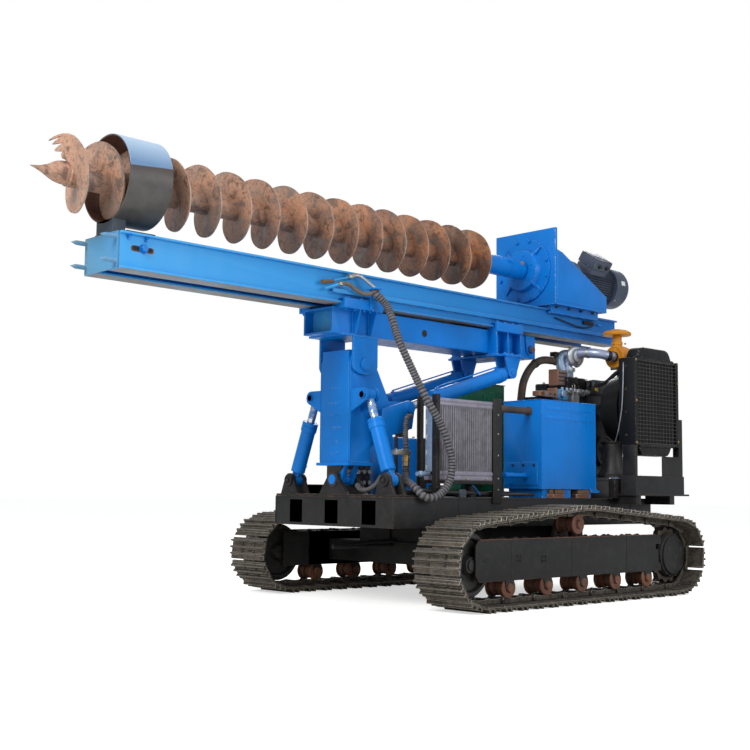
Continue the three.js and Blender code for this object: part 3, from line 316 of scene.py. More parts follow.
def round_edges(part, layer, width, sharp=30):
    """Rounds the hard edges of a solid and marks the new faces, where the finishes paint edge wear and, on
    the enamels, partly a painted highlight.
    """
    hard = [edge for edge in part.edges
            if len(edge.link_faces) == 2 and edge.calc_face_angle(0) > radians(sharp)]
    if not hard:
        return
    made = bmesh.ops.bevel(part, geom=hard, offset=width, offset_type="OFFSET", segments=2, profile=0.6,
                           affect="EDGES", clamp_overlap=True, loop_slide=True)
    for face in made["faces"]:
        face[layer] = 1.0


def resample(points, step):
    """The same line with a point every step."""
    points = [Vector(p) for p in points]
    out = [points[0]]
    for first, second in zip(points, points[1:]):
        count = max(1, round((second - first).length / step))
        out.extend(first.lerp(second, (k + 1) / count) for k in range(count))
    return out


def smooth_line(points, per_span=8):
    """A smooth curve through the points."""
    points = [Vector(p) for p in points]
    ends = [points[0] * 2 - points[1]] + points + [points[-1] * 2 - points[-2]]
    line = []
    for i in range(1, len(ends) - 2):
        p0, p1, p2, p3 = ends[i - 1:i + 3]
        for k in range(per_span):
            t = k / per_span
            line.append(0.5 * (2 * p1 + (p2 - p0) * t + (2 * p0 - 5 * p1 + 4 * p2 - p3) * t * t
                               + (3 * p1 - p0 - 3 * p2 + p3) * t ** 3))
    line.append(points[-1])
    return line


def arc(centre, radius, start, end, steps=12):
    """Points on an arc in a plane, angles in degrees."""
    turn = [radians(start + (end - start) * i / steps) for i in range(steps + 1)]
    return [(centre[0] + radius * cos(a), centre[1] + radius * sin(a)) for a in turn]


def edged(node, finish, slot, width=None, sharp=30, smooth=32):
    """The CAD node's own shape with its plate edges ground round."""
    part = bmesh.new()
    part.from_mesh(frame["nodes"][node].data)
    bmesh.ops.remove_doubles(part, verts=part.verts, dist=0.01 * MM)
    bmesh.ops.dissolve_limit(part, angle_limit=radians(0.5), verts=part.verts, edges=part.edges)
    bmesh.ops.recalc_face_normals(part, faces=part.faces)
    layer = part.faces.layers.float.new("edge")
    round_edges(part, layer, width or sizes().edge, sharp)
    maker = Maker()
    maker._merge(part, finish)
    body = frame["nodes"][node]["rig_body"]
    return maker.piece(f"{node}_shell", body, slot, (node,), smooth)


def sizes():
    return bpy.context.scene.rig_sizes


def colours():
    return bpy.context.scene.rig_colours


# ---------------------------------------------------------------- finishes


def linear(hex_or_rgb):
    """An sRGB colour, as hex text or three shares, in linear light."""
    if isinstance(hex_or_rgb, str):
        shares = [int(hex_or_rgb[i:i + 2], 16) / 255 for i in (1, 3, 5)]
    else:
        shares = list(hex_or_rgb)
    return [s / 12.92 if s <= 0.04045 else ((s + 0.055) / 1.055) ** 2.4 for s in shares] + [1.0]


def add(tree, kind, links=None, **settings):
    """Adds a node; links maps its sockets to other nodes' outputs or to plain values."""
    made = tree.nodes.new(kind)
    for name, value in settings.items():
        setattr(made, name, value)
    for socket, value in (links or {}).items():
        if isinstance(value, bpy.types.NodeSocket):
            tree.links.new(value, made.inputs[socket])
        else:
            made.inputs[socket].default_value = value
    return made


def start(name):
    """A new material: its tree, its shader and the row's own coordinates."""
    material = bpy.data.materials.new(name)
    material.use_nodes = True
    tree = material.node_tree
    tree.nodes.clear()
    output = add(tree, "ShaderNodeOutputMaterial")
    shader = add(tree, "ShaderNodeBsdfPrincipled")
    tree.links.new(shader.outputs["BSDF"], output.inputs["Surface"])
    place = add(tree, "ShaderNodeTexCoord").outputs["Object"]
    return material, tree, shader, place


def grain(tree, place, size, detail=4.0, rough=0.55, stretch=None, distortion=0.0):
    """Noise whose blotches are about size metres wide."""
    if stretch:
        place = add(tree, "ShaderNodeMapping", {"Vector": place, "Scale": stretch}).outputs["Vector"]
    return add(tree, "ShaderNodeTexNoise", {
        "Vector": place, "Scale": 1.0 / size, "Detail": detail, "Roughness": rough,
        "Distortion": distortion}).outputs["Fac"]


def ramp(tree, value, low, high, out_low=0.0, out_high=1.0):
    """The value spread from low..high onto out_low..out_high."""
    return add(tree, "ShaderNodeMapRange", {
        "Value": value, "From Min": low, "From Max": high, "To Min": out_low, "To Max": out_high,
    }).outputs["Result"]


def mix(tree, share, first, second):
    """Two colours mixed by a share."""
    made = add(tree, "ShaderNodeMix", data_type="RGBA")
    for socket, value in (("Factor", share), ("A", first), ("B", second)):
        target = next(s for s in made.inputs if s.name == socket and s.enabled)
        if isinstance(value, bpy.types.NodeSocket):
            tree.links.new(value, target)
        else:
            target.default_value = value
    return next(s for s in made.outputs if s.name == "Result" and s.enabled)


def multiply(tree, first, second):
    return add(tree, "ShaderNodeMath", {0: first, 1: second}, operation="MULTIPLY").outputs["Value"]


def most(tree, first, second):
    return add(tree, "ShaderNodeMath", {0: first, 1: second}, operation="MAXIMUM").outputs["Value"]


def edge_and_groove_mark(tree):
    """1 on the faces marked as rounded edges or as grooves of the hose guard, 0 on the rest."""
    return add(tree, "ShaderNodeAttribute", attribute_name="edge").outputs["Fac"]


def facing_up(tree):
    """1 on faces that look up, 0 on the rest."""
    normal = add(tree, "ShaderNodeNewGeometry").outputs["Normal"]
    height = add(tree, "ShaderNodeSeparateXYZ", {"Vector": normal}).outputs["Z"]
    return ramp(tree, height, 0.35, 0.95)


def bump(tree, shader, height, distance, strength=0.6):
    made = add(tree, "ShaderNodeBump", {"Height": height, "Strength": strength, "Distance": distance})
    tree.links.new(made.outputs["Normal"], shader.inputs["Normal"])


def connect(tree, shader, **sockets):
    for name, value in sockets.items():
        socket = shader.inputs[name.replace("_", " ")]
        if isinstance(value, bpy.types.NodeSocket):
            tree.links.new(value, socket)
        else:
            socket.default_value = value


def along(tree, place, low, high):
    """0 behind low, 1 ahead of high, both in metres along the rig."""
    return ramp(tree, add(tree, "ShaderNodeSeparateXYZ", {"Vector": place}).outputs["X"], low, high)


def enamel(name, colour, shade, bare, chips=0.52, roughness=0.34, dust=0.25, dust_colour="#8C8578",
           front_tint=None):
    """Alkyd enamel sprayed on rolled plate: an orange-peel gloss that chips to primer along edges; the paler
    edges are partly painted highlight.
    """
    material, tree, shader, place = start(name)
    clouds = grain(tree, place, 420 * MM, 3.0)
    runs = grain(tree, place, 60 * MM, 4.0, stretch=(1.0, 1.0, 0.12))
    spots = grain(tree, place, 14 * MM, 5.0, 0.65)
    colour_mix = mix(tree, ramp(tree, clouds, 0.35, 0.68), linear(colour), linear(shade))
    colour_mix = mix(tree, ramp(tree, runs, 0.5, 0.8, 0.0, 0.22), colour_mix, linear(shade))
    # paler towards the front of the rig: on the mast this is partly faded paint and partly painted light, its
    # rear kept darker as painted shade
    if front_tint:
        colour_mix = mix(tree, along(tree, place, -2.0, 2.2), colour_mix, linear(front_tint))
    settled = multiply(tree, facing_up(tree), ramp(tree, grain(tree, place, 90 * MM, 5.0), 0.35, 0.7, 0.0,
                                                   dust))
    colour_mix = mix(tree, settled, colour_mix, linear(dust_colour))
    edge = edge_and_groove_mark(tree)
    # paler along the rounded edges: partly chipped paint, partly painted highlight
    worn = multiply(tree, edge, ramp(tree, spots, chips, chips + 0.08))
    flecks = ramp(tree, grain(tree, place, 9 * MM, 3.0, 0.7), 0.735, 0.75, 0.0, 0.8)
    worn = most(tree, worn, multiply(tree, flecks, ramp(tree, clouds, 0.45, 0.6)))
    colour_mix = mix(tree, worn, colour_mix, linear(bare))
    gloss = ramp(tree, runs, 0.3, 0.75, roughness - 0.06, roughness + 0.16)
    connect(tree, shader, Base_Color=colour_mix, Roughness=gloss, IOR=1.5, Specular_IOR_Level=0.2,
            Coat_Weight=0.05, Coat_Roughness=0.12)
    peel = grain(tree, place, 6 * MM, 2.0)
    waves = grain(tree, place, 160 * MM, 1.0)
    height = add(tree, "ShaderNodeMath", {0: waves, 1: 6.0, 2: peel},
                 operation="MULTIPLY_ADD").outputs["Value"]
    bump(tree, shader, height, 0.5 * MM, 0.35)
    return material


def black_paint():
    """Black chassis paint brushed over hot-rolled steel: satin, with dust on top and rust at its edges."""
    material, tree, shader, place = start("black_chassis_paint")
    clouds = grain(tree, place, 160 * MM, 5.0, 0.6)
    scrapes = grain(tree, place, 30 * MM, 6.0, 0.7, stretch=(1.0, 1.0, 3.0))
    colour = mix(tree, ramp(tree, clouds, 0.35, 0.7), linear("#141414"), linear("#242322"))
    dusty = ramp(tree, grain(tree, place, 55 * MM, 6.0, 0.65), 0.5, 0.74, 0.0, 0.4)
    dusty = most(tree, multiply(tree, facing_up(tree), ramp(tree, clouds, 0.3, 0.6, 0.1, 0.6)),
                 multiply(tree, dusty, 0.3))
    colour = mix(tree, dusty, colour, linear("#5E564C"))
    edge = edge_and_groove_mark(tree)
    rusty = most(tree, multiply(tree, edge, ramp(tree, scrapes, 0.5, 0.6)),
                 ramp(tree, scrapes, 0.68, 0.74, 0.0, 0.7))
    colour = mix(tree, rusty, colour, linear("#6E4631"))
    connect(tree, shader, Base_Color=colour, Roughness=ramp(tree, clouds, 0.3, 0.7, 0.42, 0.68), IOR=1.5,
            Specular_IOR_Level=0.3)
    bump(tree, shader, grain(tree, place, 12 * MM, 5.0, 0.6), 0.8 * MM, 0.4)
    return material


def muddy_steel():
    """Cast track steel: brown oxide under dried mud, rubbed bright where it meets the ground."""
    material, tree, shader, place = start("muddy_track_steel")
    mud = grain(tree, place, 45 * MM, 7.0, 0.68)
    fine = grain(tree, place, 10 * MM, 6.0, 0.7)
    colour = mix(tree, ramp(tree, mud, 0.38, 0.62), linear("#221F1D"), linear("#544C41"))
    colour = mix(tree, ramp(tree, fine, 0.55, 0.72, 0.0, 0.85), colour, linear("#7E725F"))
    colour = mix(tree, ramp(tree, grain(tree, place, 28 * MM, 6.0, 0.7), 0.6, 0.7, 0.0, 0.8), colour,
                 linear("#6A4128"))
    edge = edge_and_groove_mark(tree)
    polished = multiply(tree, edge, ramp(tree, fine, 0.34, 0.5))
    colour = mix(tree, multiply(tree, polished, 0.8), colour, linear("#A39C90"))
    connect(tree, shader, Base_Color=colour, Metallic=multiply(tree, polished, 0.9),
            Roughness=ramp(tree, polished, 0.0, 1.0, 0.86, 0.34))
    bump(tree, shader, add(tree, "ShaderNodeMath", {0: mud, 1: fine}, operation="ADD").outputs["Value"],
         3.0 * MM, 0.7)
    return material


def rusted_steel(name, light, deep, polish, front_tint=None, gloss=0.78):
    """Bare mild steel left outdoors: orange and brown oxide, rubbed to grey metal by the soil."""
    material, tree, shader, place = start(name)
    broad = grain(tree, place, 190 * MM, 5.0, 0.6, distortion=0.6)
    fine = grain(tree, place, 16 * MM, 7.0, 0.7)
    colour = mix(tree, ramp(tree, broad, 0.36, 0.62), linear(deep), linear(light))
    if front_tint:
        # paler towards the front, where the auger's point is
        colour = mix(tree, multiply(tree, along(tree, place, -1.2, 1.8), 0.6), colour, linear(front_tint))
        stains = grain(tree, place, 95 * MM, 5.0, 0.62, distortion=1.5)
        colour = mix(tree, ramp(tree, stains, 0.53, 0.64, 0.0, 0.65), colour, linear("#3E3532"))
    colour = mix(tree, ramp(tree, fine, 0.48, 0.68, 0.0, 0.7), colour, linear("#4B3A31"))
    rubbed = multiply(tree, ramp(tree, grain(tree, place, 120 * MM, 6.0, 0.66, distortion=1.2), 0.55, 0.66),
                      polish)
    colour = mix(tree, rubbed, colour, linear("#8B847C"))
    edge = edge_and_groove_mark(tree)
    bright = multiply(tree, edge, ramp(tree, fine, 0.4, 0.6))
    colour = mix(tree, bright, colour, linear("#B9AFA5"))
    metal = most(tree, multiply(tree, rubbed, 0.75), multiply(tree, bright, 0.8))
    connect(tree, shader, Base_Color=colour, Metallic=metal,
            Roughness=ramp(tree, metal, 0.0, 0.8, gloss, 0.34))
    bump(tree, shader, fine, 1.5 * MM, 0.4)
    return material


def chrome():
    """Hard chrome on a ground rod: a mirror with an oil film."""
    material, tree, shader, place = start("hard_chrome_plate")
    film = grain(tree, place, 40 * MM, 4.0)
    connect(tree, shader, Base_Color=linear("#D9DCDF"), Metallic=1.0,
            Roughness=ramp(tree, film, 0.3, 0.7, 0.1, 0.26))
    return material


def sprayed_chrome():
    """Chrome rod with blue overspray and grey grease: mottled, half matt."""
    material, tree, shader, place = start("oversprayed_chrome")
    blots = grain(tree, place, 26 * MM, 6.0, 0.68)
    colour = mix(tree, ramp(tree, blots, 0.42, 0.56), linear("#B7BFC6"), linear("#4E86C4"))
    colour = mix(tree, ramp(tree, grain(tree, place, 12 * MM, 4.0), 0.6, 0.66), colour, linear("#6F6A64"))
    shine = ramp(tree, blots, 0.42, 0.56, 0.85, 0.1)
    connect(tree, shader, Base_Color=colour, Metallic=shine,
            Roughness=ramp(tree, blots, 0.42, 0.56, 0.24, 0.5))
    bump(tree, shader, blots, 0.4 * MM, 0.3)
    return material


def plain_metal(name, colour, metallic, low, high, mottle="#7D7A76", share=0.3, size=30 * MM):
    """Machined or cast metal: fine mottling from handling and oxide."""
    material, tree, shader, place = start(name)
    spots = grain(tree, place, size, 6.0, 0.65)
    shade = mix(tree, ramp(tree, spots, 0.42, 0.68, 0.0, share), linear(colour), linear(mottle))
    connect(tree, shader, Base_Color=shade, Metallic=metallic,
            Roughness=ramp(tree, spots, 0.3, 0.7, low, high))
    bump(tree, shader, grain(tree, place, 5 * MM, 4.0), 0.4 * MM, 0.35)
    return material


def rubber():
    """Spiral guard over a steel-braided hose: matt black polyethylene greyed by dust, with painted shade in
    its grooves.
    """
    material, tree, shader, place = start("spiral_hose_guard")
    dirt = grain(tree, place, 22 * MM, 6.0, 0.7)
    colour = mix(tree, ramp(tree, dirt, 0.42, 0.66), linear("#68676D"), linear("#504A45"))
    edge = edge_and_groove_mark(tree)
    # painted shade: the marked grooves between the turns are darkened
    colour = mix(tree, multiply(tree, edge, 0.75), colour, linear("#1B1A1B"))
    connect(tree, shader, Base_Color=colour, Roughness=ramp(tree, dirt, 0.3, 0.7, 0.45, 0.75), IOR=1.5)
    bump(tree, shader, dirt, 0.8 * MM, 0.4)
    return material


def lacquered_ring():
    """Rolled collar in black enamel gone chalky grey; its crown carries a painted reflection of the sky in
    pale slate blue, with a sharp lower edge.
    """
    material, tree, shader, place = start("black_enamel_painted_sky_reflection")
    clouds = grain(tree, place, 120 * MM, 5.0, 0.6)
    streaks = grain(tree, place, 40 * MM, 4.0, 0.6, stretch=(0.2, 1.0, 1.0))
    normal = add(tree, "ShaderNodeNewGeometry").outputs["Normal"]
    height = add(tree, "ShaderNodeSeparateXYZ", {"Vector": normal}).outputs["Z"]
    low = mix(tree, ramp(tree, clouds, 0.35, 0.65), linear("#5A5854"), linear("#4A4847"))
    low = mix(tree, ramp(tree, height, -0.3, 0.2, 0.0, 0.6), low, linear("#4C3F38"))
    # painted reflection of the sky on the crown, palest where the surface faces straight up
    crown = mix(tree, ramp(tree, height, 0.25, 0.95), linear("#6888AC"), linear("#B4CADF"))
    crown = mix(tree, ramp(tree, streaks, 0.4, 0.7, 0.0, 0.3), crown, linear("#8FA5BC"))
    # the sharp lower edge of the painted sky reflection, slanting along the ring
    slant = add(tree, "ShaderNodeMath", {0: along(tree, place, 1.81, 2.08), 1: 0.106, 2: height},
                operation="MULTIPLY_ADD").outputs["Value"]
    colour = mix(tree, ramp(tree, slant, 0.225, 0.245), low, crown)
    connect(tree, shader, Base_Color=colour, Roughness=ramp(tree, clouds, 0.3, 0.7, 0.3, 0.46), IOR=1.5,
            Specular_IOR_Level=0.3)
    bump(tree, shader, clouds, 1 * MM, 0.2)
    return material


FINISH = {}


def make_finishes():
    """Every finish of the rig, made once and kept by a short name."""
    blue = colours().blue
    FINISH.update({
        "blue": enamel("blue_alkyd_enamel", blue, [c * 0.88 for c in blue], "#93A9BE"),
        # the mast: a darker copy of the blue, paler towards the front; partly faded paint, partly painted
        # light, with the rear painted in shade
        "mast": enamel("blue_mast_enamel", [c * 0.88 for c in blue], [c * 0.8 for c in blue], "#8E9BA8",
                       dust=0.2, front_tint="#3AA0E1"),
        "weld": enamel("painted_weld_bead", [c * 0.72 + 0.22 for c in blue], [c * 0.85 + 0.08 for c in blue],
                       "#C4CFDA", chips=0.45),
        "grey_blue": enamel("weathered_blue_primer", "#4A8CBC", "#5F8798", "#7C97A8", chips=0.4,
                            roughness=0.55, dust=0.5),
        "tank": enamel("blue_tank_enamel", blue, [c * 0.92 for c in blue], "#93A9BE", roughness=0.28,
                       dust=0.12),
        "sky": enamel("pale_blue_enamel", "#3E9BD6", "#3384B8", "#9AA7B0"),
        "slate": enamel("slate_grey_enamel", "#4C5560", "#3A4048", "#8A8A86"),
        "primer": enamel("grey_red_oxide_primer", "#8B9299", "#77695C", "#5D4A3C", chips=0.4, roughness=0.6),
        "green": enamel("green_gear_enamel", colours().green, [c * 0.75 for c in colours().green], "#8FA39A"),
        "orange": enamel("orange_enamel", colours().orange, [c * 0.88 for c in colours().orange], "#7D5A2B",
                         roughness=0.4),
        "black": black_paint(),
        "motor": enamel("black_radiator_enamel", "#1C1B1B", "#121212", "#5B5650", roughness=0.46, dust=0.3,
                        dust_colour="#4E4A44"),
        "drive": enamel("slate_motor_enamel", "#525B6D", "#3A414F", "#6B6A68", roughness=0.4, dust=0.3),
        "stand": enamel("chalky_charcoal_paint", "#4C555F", "#3C434B", "#7D848C", roughness=0.5),
        "track": muddy_steel(),
        "auger": rusted_steel("rusted_auger_steel", "#B0744C", "#54392C", 0.8, "#BC9A86", 0.5),
        "rust": rusted_steel("rusted_mild_steel", "#7A4A30", "#54382C", 0.3),
        "chrome": chrome(),
        "spray": sprayed_chrome(),
        "cast": plain_metal("cast_aluminium", "#B9BBBE", 0.85, 0.32, 0.55),
        "fins": plain_metal("dusty_aluminium_fins", "#98969E", 0.55, 0.45, 0.7, "#6E6560", 0.6, 60 * MM),
        "header": plain_metal("painted_cooler_header", "#8F8A98", 0.25, 0.4, 0.6, "#716C76", 0.5, 50 * MM),
        "core": plain_metal("shaded_cooler_core", "#4A4644", 0.3, 0.6, 0.8, "#35312F", 0.5),
        "core_black": plain_metal("black_radiator_core", "#141414", 0.1, 0.6, 0.8, "#26221F", 0.5),
        "fin_black": plain_metal("black_radiator_tube", "#242322", 0.3, 0.5, 0.7, "#3A342E", 0.5),
        "grid": plain_metal("black_wire_guard", "#3A3A38", 0.3, 0.4, 0.6, "#55504A", 0.5),
        "spatter": plain_metal("bare_weld_metal", "#D3D6D8", 0.6, 0.3, 0.5, "#9A9C9E", 0.4, 12 * MM),
        "pipe": rusted_steel("scaled_steel_pipe", "#5A4436", "#332C28", 0.15),
        "duct": plain_metal("silver_painted_duct", "#A4AEC6", 0.6, 0.3, 0.48, "#7E8490", 0.4, 30 * MM),
        "galvanised_wire": plain_metal("galvanised_wire", "#8C9096", 0.5, 0.4, 0.6),
        "plug": plain_metal("orange_plastic_plug", "#C4561E", 0.0, 0.4, 0.6, "#8A3E1A", 0.4),
        "timber": plain_metal("weathered_timber", "#6E4F34", 0.0, 0.75, 0.9, "#4A3626", 0.7, 18 * MM),
        "sheet": plain_metal("galvanised_sheet", "#93A9C2", 0.6, 0.35, 0.6, "#7E8C98", 0.6, 26 * MM),
        "zinc": plain_metal("zinc_plated_steel", "#B8B4A6", 0.9, 0.28, 0.5),
        "brass": plain_metal("turned_brass", "#B9975A", 0.95, 0.25, 0.45),
        "copper": plain_metal("heated_copper", "#A07058", 0.5, 0.35, 0.6),
        "heated": plain_metal("heat_tinted_casting", "#8D7A74", 0.5, 0.45, 0.7, "#5C4C46", 0.6, 20 * MM),
        "braid": plain_metal("steel_braid", "#C4C8CE", 0.9, 0.25, 0.45, "#6C6E72", 0.7, 6 * MM),
        "old_hose": plain_metal("sun_aged_hose_rubber", "#6A5F55", 0.0, 0.55, 0.8, "#4A423B", 0.5, 20 * MM),
        "iron": plain_metal("oily_cast_iron", "#2B2A2A", 0.35, 0.38, 0.62, "#4A443C", 0.5),
        "hose": rubber(),
        "ring": lacquered_ring(),
        "white": plain_metal("white_vinyl_label", "#D9DBDC", 0.0, 0.35, 0.5, "#B9BCC0", 0.25),
        "yellow": plain_metal("yellow_vinyl_label", "#D8B51E", 0.0, 0.35, 0.5, "#B89A24", 0.25),
        "belt": plain_metal("black_drive_belt", "#151515", 0.0, 0.5, 0.8, "#2C2A27", 0.4),
        "dark": plain_metal("unlit_steel_recess", "#0C0D0E", 0.0, 0.7, 0.9, "#171512", 0.4),
    })


# ---------------------------------------------------------------- camera, lamps and floor


def make_camera():
    data = bpy.data.cameras.new("camera")
    data.lens = sizes().lens
    data.sensor_width = 36
    data.clip_end = 200
    holder = bpy.data.objects.new("camera", data)
    bpy.context.scene.collection.objects.link(holder)
    heading, pitch, roll = (radians(a) for a in (226.233, 5.609, 0.626))
    ahead = Vector((cos(pitch) * cos(heading), cos(pitch) * sin(heading), sin(pitch)))
    right = ahead.cross(Vector((0, 0, 1))).normalized()
    up = right.cross(ahead)
    turned_right = right * cos(roll) + up * sin(roll)
    turned_up = up * cos(roll) - right * sin(roll)
    holder.matrix_world = Matrix((
        (turned_right.x, turned_up.x, -ahead.x, 5.2520),
        (turned_right.y, turned_up.y, -ahead.y, 5.3761),
        (turned_right.z, turned_up.z, -ahead.z, 0.6752),
        (0, 0, 0, 1)))
    bpy.context.scene.camera = holder


def make_lamp(name, place, target, size, power, colour="#FFFFFF"):
    data = bpy.data.lights.new(name, "AREA")
    data.shape = "RECTANGLE"
    data.size, data.size_y = size
    data.energy = power
    data.color = linear(colour)[:3]
    holder = bpy.data.objects.new(name, data)
    bpy.context.scene.collection.objects.link(holder)
    holder.location = place
    holder.rotation_euler = (Vector(target) - Vector(place)).to_track_quat("-Z", "Y").to_euler()


def make_seen_white(tree):
    """The share of rays that should meet plain white, and the ray's own node."""
    path = add(tree, "ShaderNodeLightPath")
    seen = most(tree, path.outputs["Is Camera Ray"], path.outputs["Is Transmission Ray"])
    return seen, path


def make_world():
    world = bpy.data.worlds.new("studio")
    bpy.context.scene.world = world
    world.use_nodes = True
    tree = world.node_tree
    tree.nodes.clear()
    seen, path = make_seen_white(tree)
    glossy = path.outputs["Is Glossy Ray"]
    soft = add(tree, "ShaderNodeBackground", {"Color": linear("#EEF0F3"), "Strength": 0.6})
    sky = add(tree, "ShaderNodeBackground", {"Color": linear("#E4EAF2"), "Strength": 0.7})
    white = add(tree, "ShaderNodeBackground", {"Color": (1, 1, 1, 1), "Strength": 1.0})
    shiny = add(tree, "ShaderNodeMixShader", {0: glossy, 1: soft.outputs[0], 2: sky.outputs[0]})
    final = add(tree, "ShaderNodeMixShader", {0: seen, 1: shiny.outputs[0], 2: white.outputs[0]})
    output = add(tree, "ShaderNodeOutputWorld")
    tree.links.new(final.outputs[0], output.inputs["Surface"])


def make_floor():
    size = 60.0
    mesh = bpy.data.meshes.new("floor")
    mesh.from_pydata([(-size, -size, 0), (size, -size, 0), (size, size, 0), (-size, size, 0)], [],
                     [(0, 1, 2, 3)])
    floor = bpy.data.objects.new("floor", mesh)
    bpy.context.scene.collection.objects.link(floor)
    material, tree, shader, _ = start("pale_studio_floor")
    connect(tree, shader, Base_Color=linear("#E9E8E5"), Roughness=0.9)
    glow = add(tree, "ShaderNodeEmission", {"Color": (1, 1, 1, 1), "Strength": 0.55})
    both = add(tree, "ShaderNodeAddShader", {0: shader.outputs[0], 1: glow.outputs[0]})
    path = add(tree, "ShaderNodeLightPath")
    choice = add(tree, "ShaderNodeMixShader", {
        0: path.outputs["Is Camera Ray"], 1: shader.outputs[0], 2: both.outputs[0]})
    output = next(n for n in tree.nodes if n.type == "OUTPUT_MATERIAL")
    tree.links.new(choice.outputs[0], output.inputs["Surface"])
    mesh.materials.append(material)


class RIG_OT_stage(bpy.types.Operator):
    """Camera at a low three-quarter view from the left front, soft studio light and a pale floor"""
    bl_idname = "rig.stage"
    bl_label = "Studio"

    def execute(self, context):
        bpy.context.scene.view_settings.view_transform = "Standard"
        make_camera()
        make_world()
        make_lamp("key", (7.5, 1.5, 6.5), (0, 0, 1.2), (4.5, 4.5), 620)
        make_lamp("fill", (-1.5, 8.5, 3.5), (0, 0, 1.0), (5.0, 3.5), 260, "#F4F8FF")
        make_lamp("rear", (-7.5, -5.0, 5.5), (0, 0, 1.4), (4.0, 4.0), 380)
        make_floor()
        return {"FINISHED"}


# ---------------------------------------------------------------- hoses

# the main hose's way from the mast's hook bracket down to the elbow on the post, as in the CAD part
TRACK_SHIFT = -826 * MM
HOSE_ROUTE = [
    (1182, 262, 1889.7),
    (1182, 262, 1872),
    (1119, 290, 1803),
    (1113, 335, 1716),
    (1120, 400, 1584),
    (1090, 470, 1424),
    (1055, 530, 1284),
    (1010, 576, 1163),
    (945, 592, 1068),
    (890, 600, 950),
    (860, 602, 834),
    (893, 602, 722),
    (985, 600, 648),
    (1062, 578, 642),
    (1082, 520, 690),
    (1052, 440, 718),
    (985, 340, 745),
    (945, 300, 790),
    (945, 300, 829.7),
]
HOSE_RADIUS = 24 * MM
GUARD_PITCH = 20 * MM


def route(points):
    """The route's points in metres, in the frame of the model."""
    return [Vector((x * MM + TRACK_SHIFT, y * MM, z * MM)) for x, y, z in points]


def spot(x, y, z):
    """A place measured in mm from the middle of the tracks, in the row's frame."""
    return Vector((x * MM + TRACK_SHIFT, y * MM, z * MM))


def slab(maker, x, y, z, finish, bevel=2):
    """A block between pairs of millimetres, measured from the middle of the tracks."""
    maker.box(spot(x[0], y[0], z[0]), spot(x[1], y[1], z[1]), finish, bevel * MM)


def centripetal(points, per_span=12):
    """The curve that the CAD tube follows: a centripetal curve through the points."""
    ends = [points[0] * 2 - points[1]] + list(points) + [points[-1] * 2 - points[-2]]
    line = []
    for i in range(1, len(ends) - 2):
        p = ends[i - 1:i + 3]
        t = [0.0]
        for a, b in zip(p, p[1:]):
            t.append(t[-1] + max((b - a).length, 1e-6) ** 0.5)
        for k in range(per_span):
            u = t[1] + (t[2] - t[1]) * k / per_span
            a1 = p[0] * ((t[1] - u) / (t[1] - t[0])) + p[1] * ((u - t[0]) / (t[1] - t[0]))
            a2 = p[1] * ((t[2] - u) / (t[2] - t[1])) + p[2] * ((u - t[1]) / (t[2] - t[1]))
            a3 = p[2] * ((t[3] - u) / (t[3] - t[2])) + p[3] * ((u - t[2]) / (t[3] - t[2]))
            b1 = a1 * ((t[2] - u) / (t[2] - t[0])) + a2 * ((u - t[0]) / (t[2] - t[0]))
            b2 = a2 * ((t[3] - u) / (t[3] - t[1])) + a3 * ((u - t[1]) / (t[3] - t[1]))
            line.append(b1 * ((t[2] - u) / (t[2] - t[1])) + b2 * ((u - t[1]) / (t[2] - t[1])))
    line.append(points[-1])
    return line


def guarded_hose(name, line, radius, body, nodes=(), pitch=GUARD_PITCH):
    """A hose in a spiral guard: flat turns with a groove between them."""
    maker = Maker()
    fine = resample(line, pitch / 4)
    radii = [radius * (0.8, 0.97, 1.03, 0.97)[i % 4] for i in range(len(fine))]
    maker.pipe(fine, radii, "hose", 16)
    layer = maker.edge_layer
    maker.bm.faces.ensure_lookup_table()
    # the groove rings between the turns are marked; the hose material darkens them as painted shade
    for i, face in enumerate(maker.bm.faces):
        ring = i // 16
        face[layer] = 1.0 if ring % 4 in (0, 3) and ring < len(fine) - 1 else 0.0
    return maker.piece(name, body, "hose_rubber", nodes, 60)


def make_short_hoses():
    """The short guarded hose beside the cooler, the one between the tilt feet and the braided whips."""
    link = centripetal(route([(906, 300, 1137), (935, 300, 1128), (951, 300, 1060), (950, 300, 980),
                              (944, 300, 925.6)]))
    guarded_hose("link_hose", link, 17 * MM, "post", pitch=13 * MM)
    deck = centripetal(route([(1220, 371, 763), (1224, 330, 716), (1224, 250, 680), (1222, 190, 684),
                              (1216, 151, 712)]))
    guarded_hose("deck_hose", deck, 15 * MM, "chassis", pitch=13 * MM)


class RIG_OT_hoses(bpy.types.Operator):
    """The main hydraulic hose with its guard, and the short hoses on the post and the deck"""
    bl_idname = "rig.hoses"
    bl_label = "Hoses"

    def execute(self, context):
        line = centripetal(route(HOSE_ROUTE))
        hose = guarded_hose("main_hose", line, HOSE_RADIUS, "post", ("hydraulic_hose",))
        make_short_hoses()
        return {"FINISHED"}


# ---------------------------------------------------------------- crawler tracks

ROLLER_RADIUS = 50 * MM
SHOE_THICK = 12 * MM
GROUSER = 22 * MM
CHAIN_DEPTH = 41 * MM
LINK_THICK = 13 * MM
LINK_SPREAD = 40 * MM
BOLT_SPREAD = 62 * MM


def wheel(node):
    """Centre and radius of an idler or a sprocket, seen from the side."""
    box = BOX[node]
    radius = (box.z1 - box.z0) / 2
    return Vector((box.x, box.z)), radius


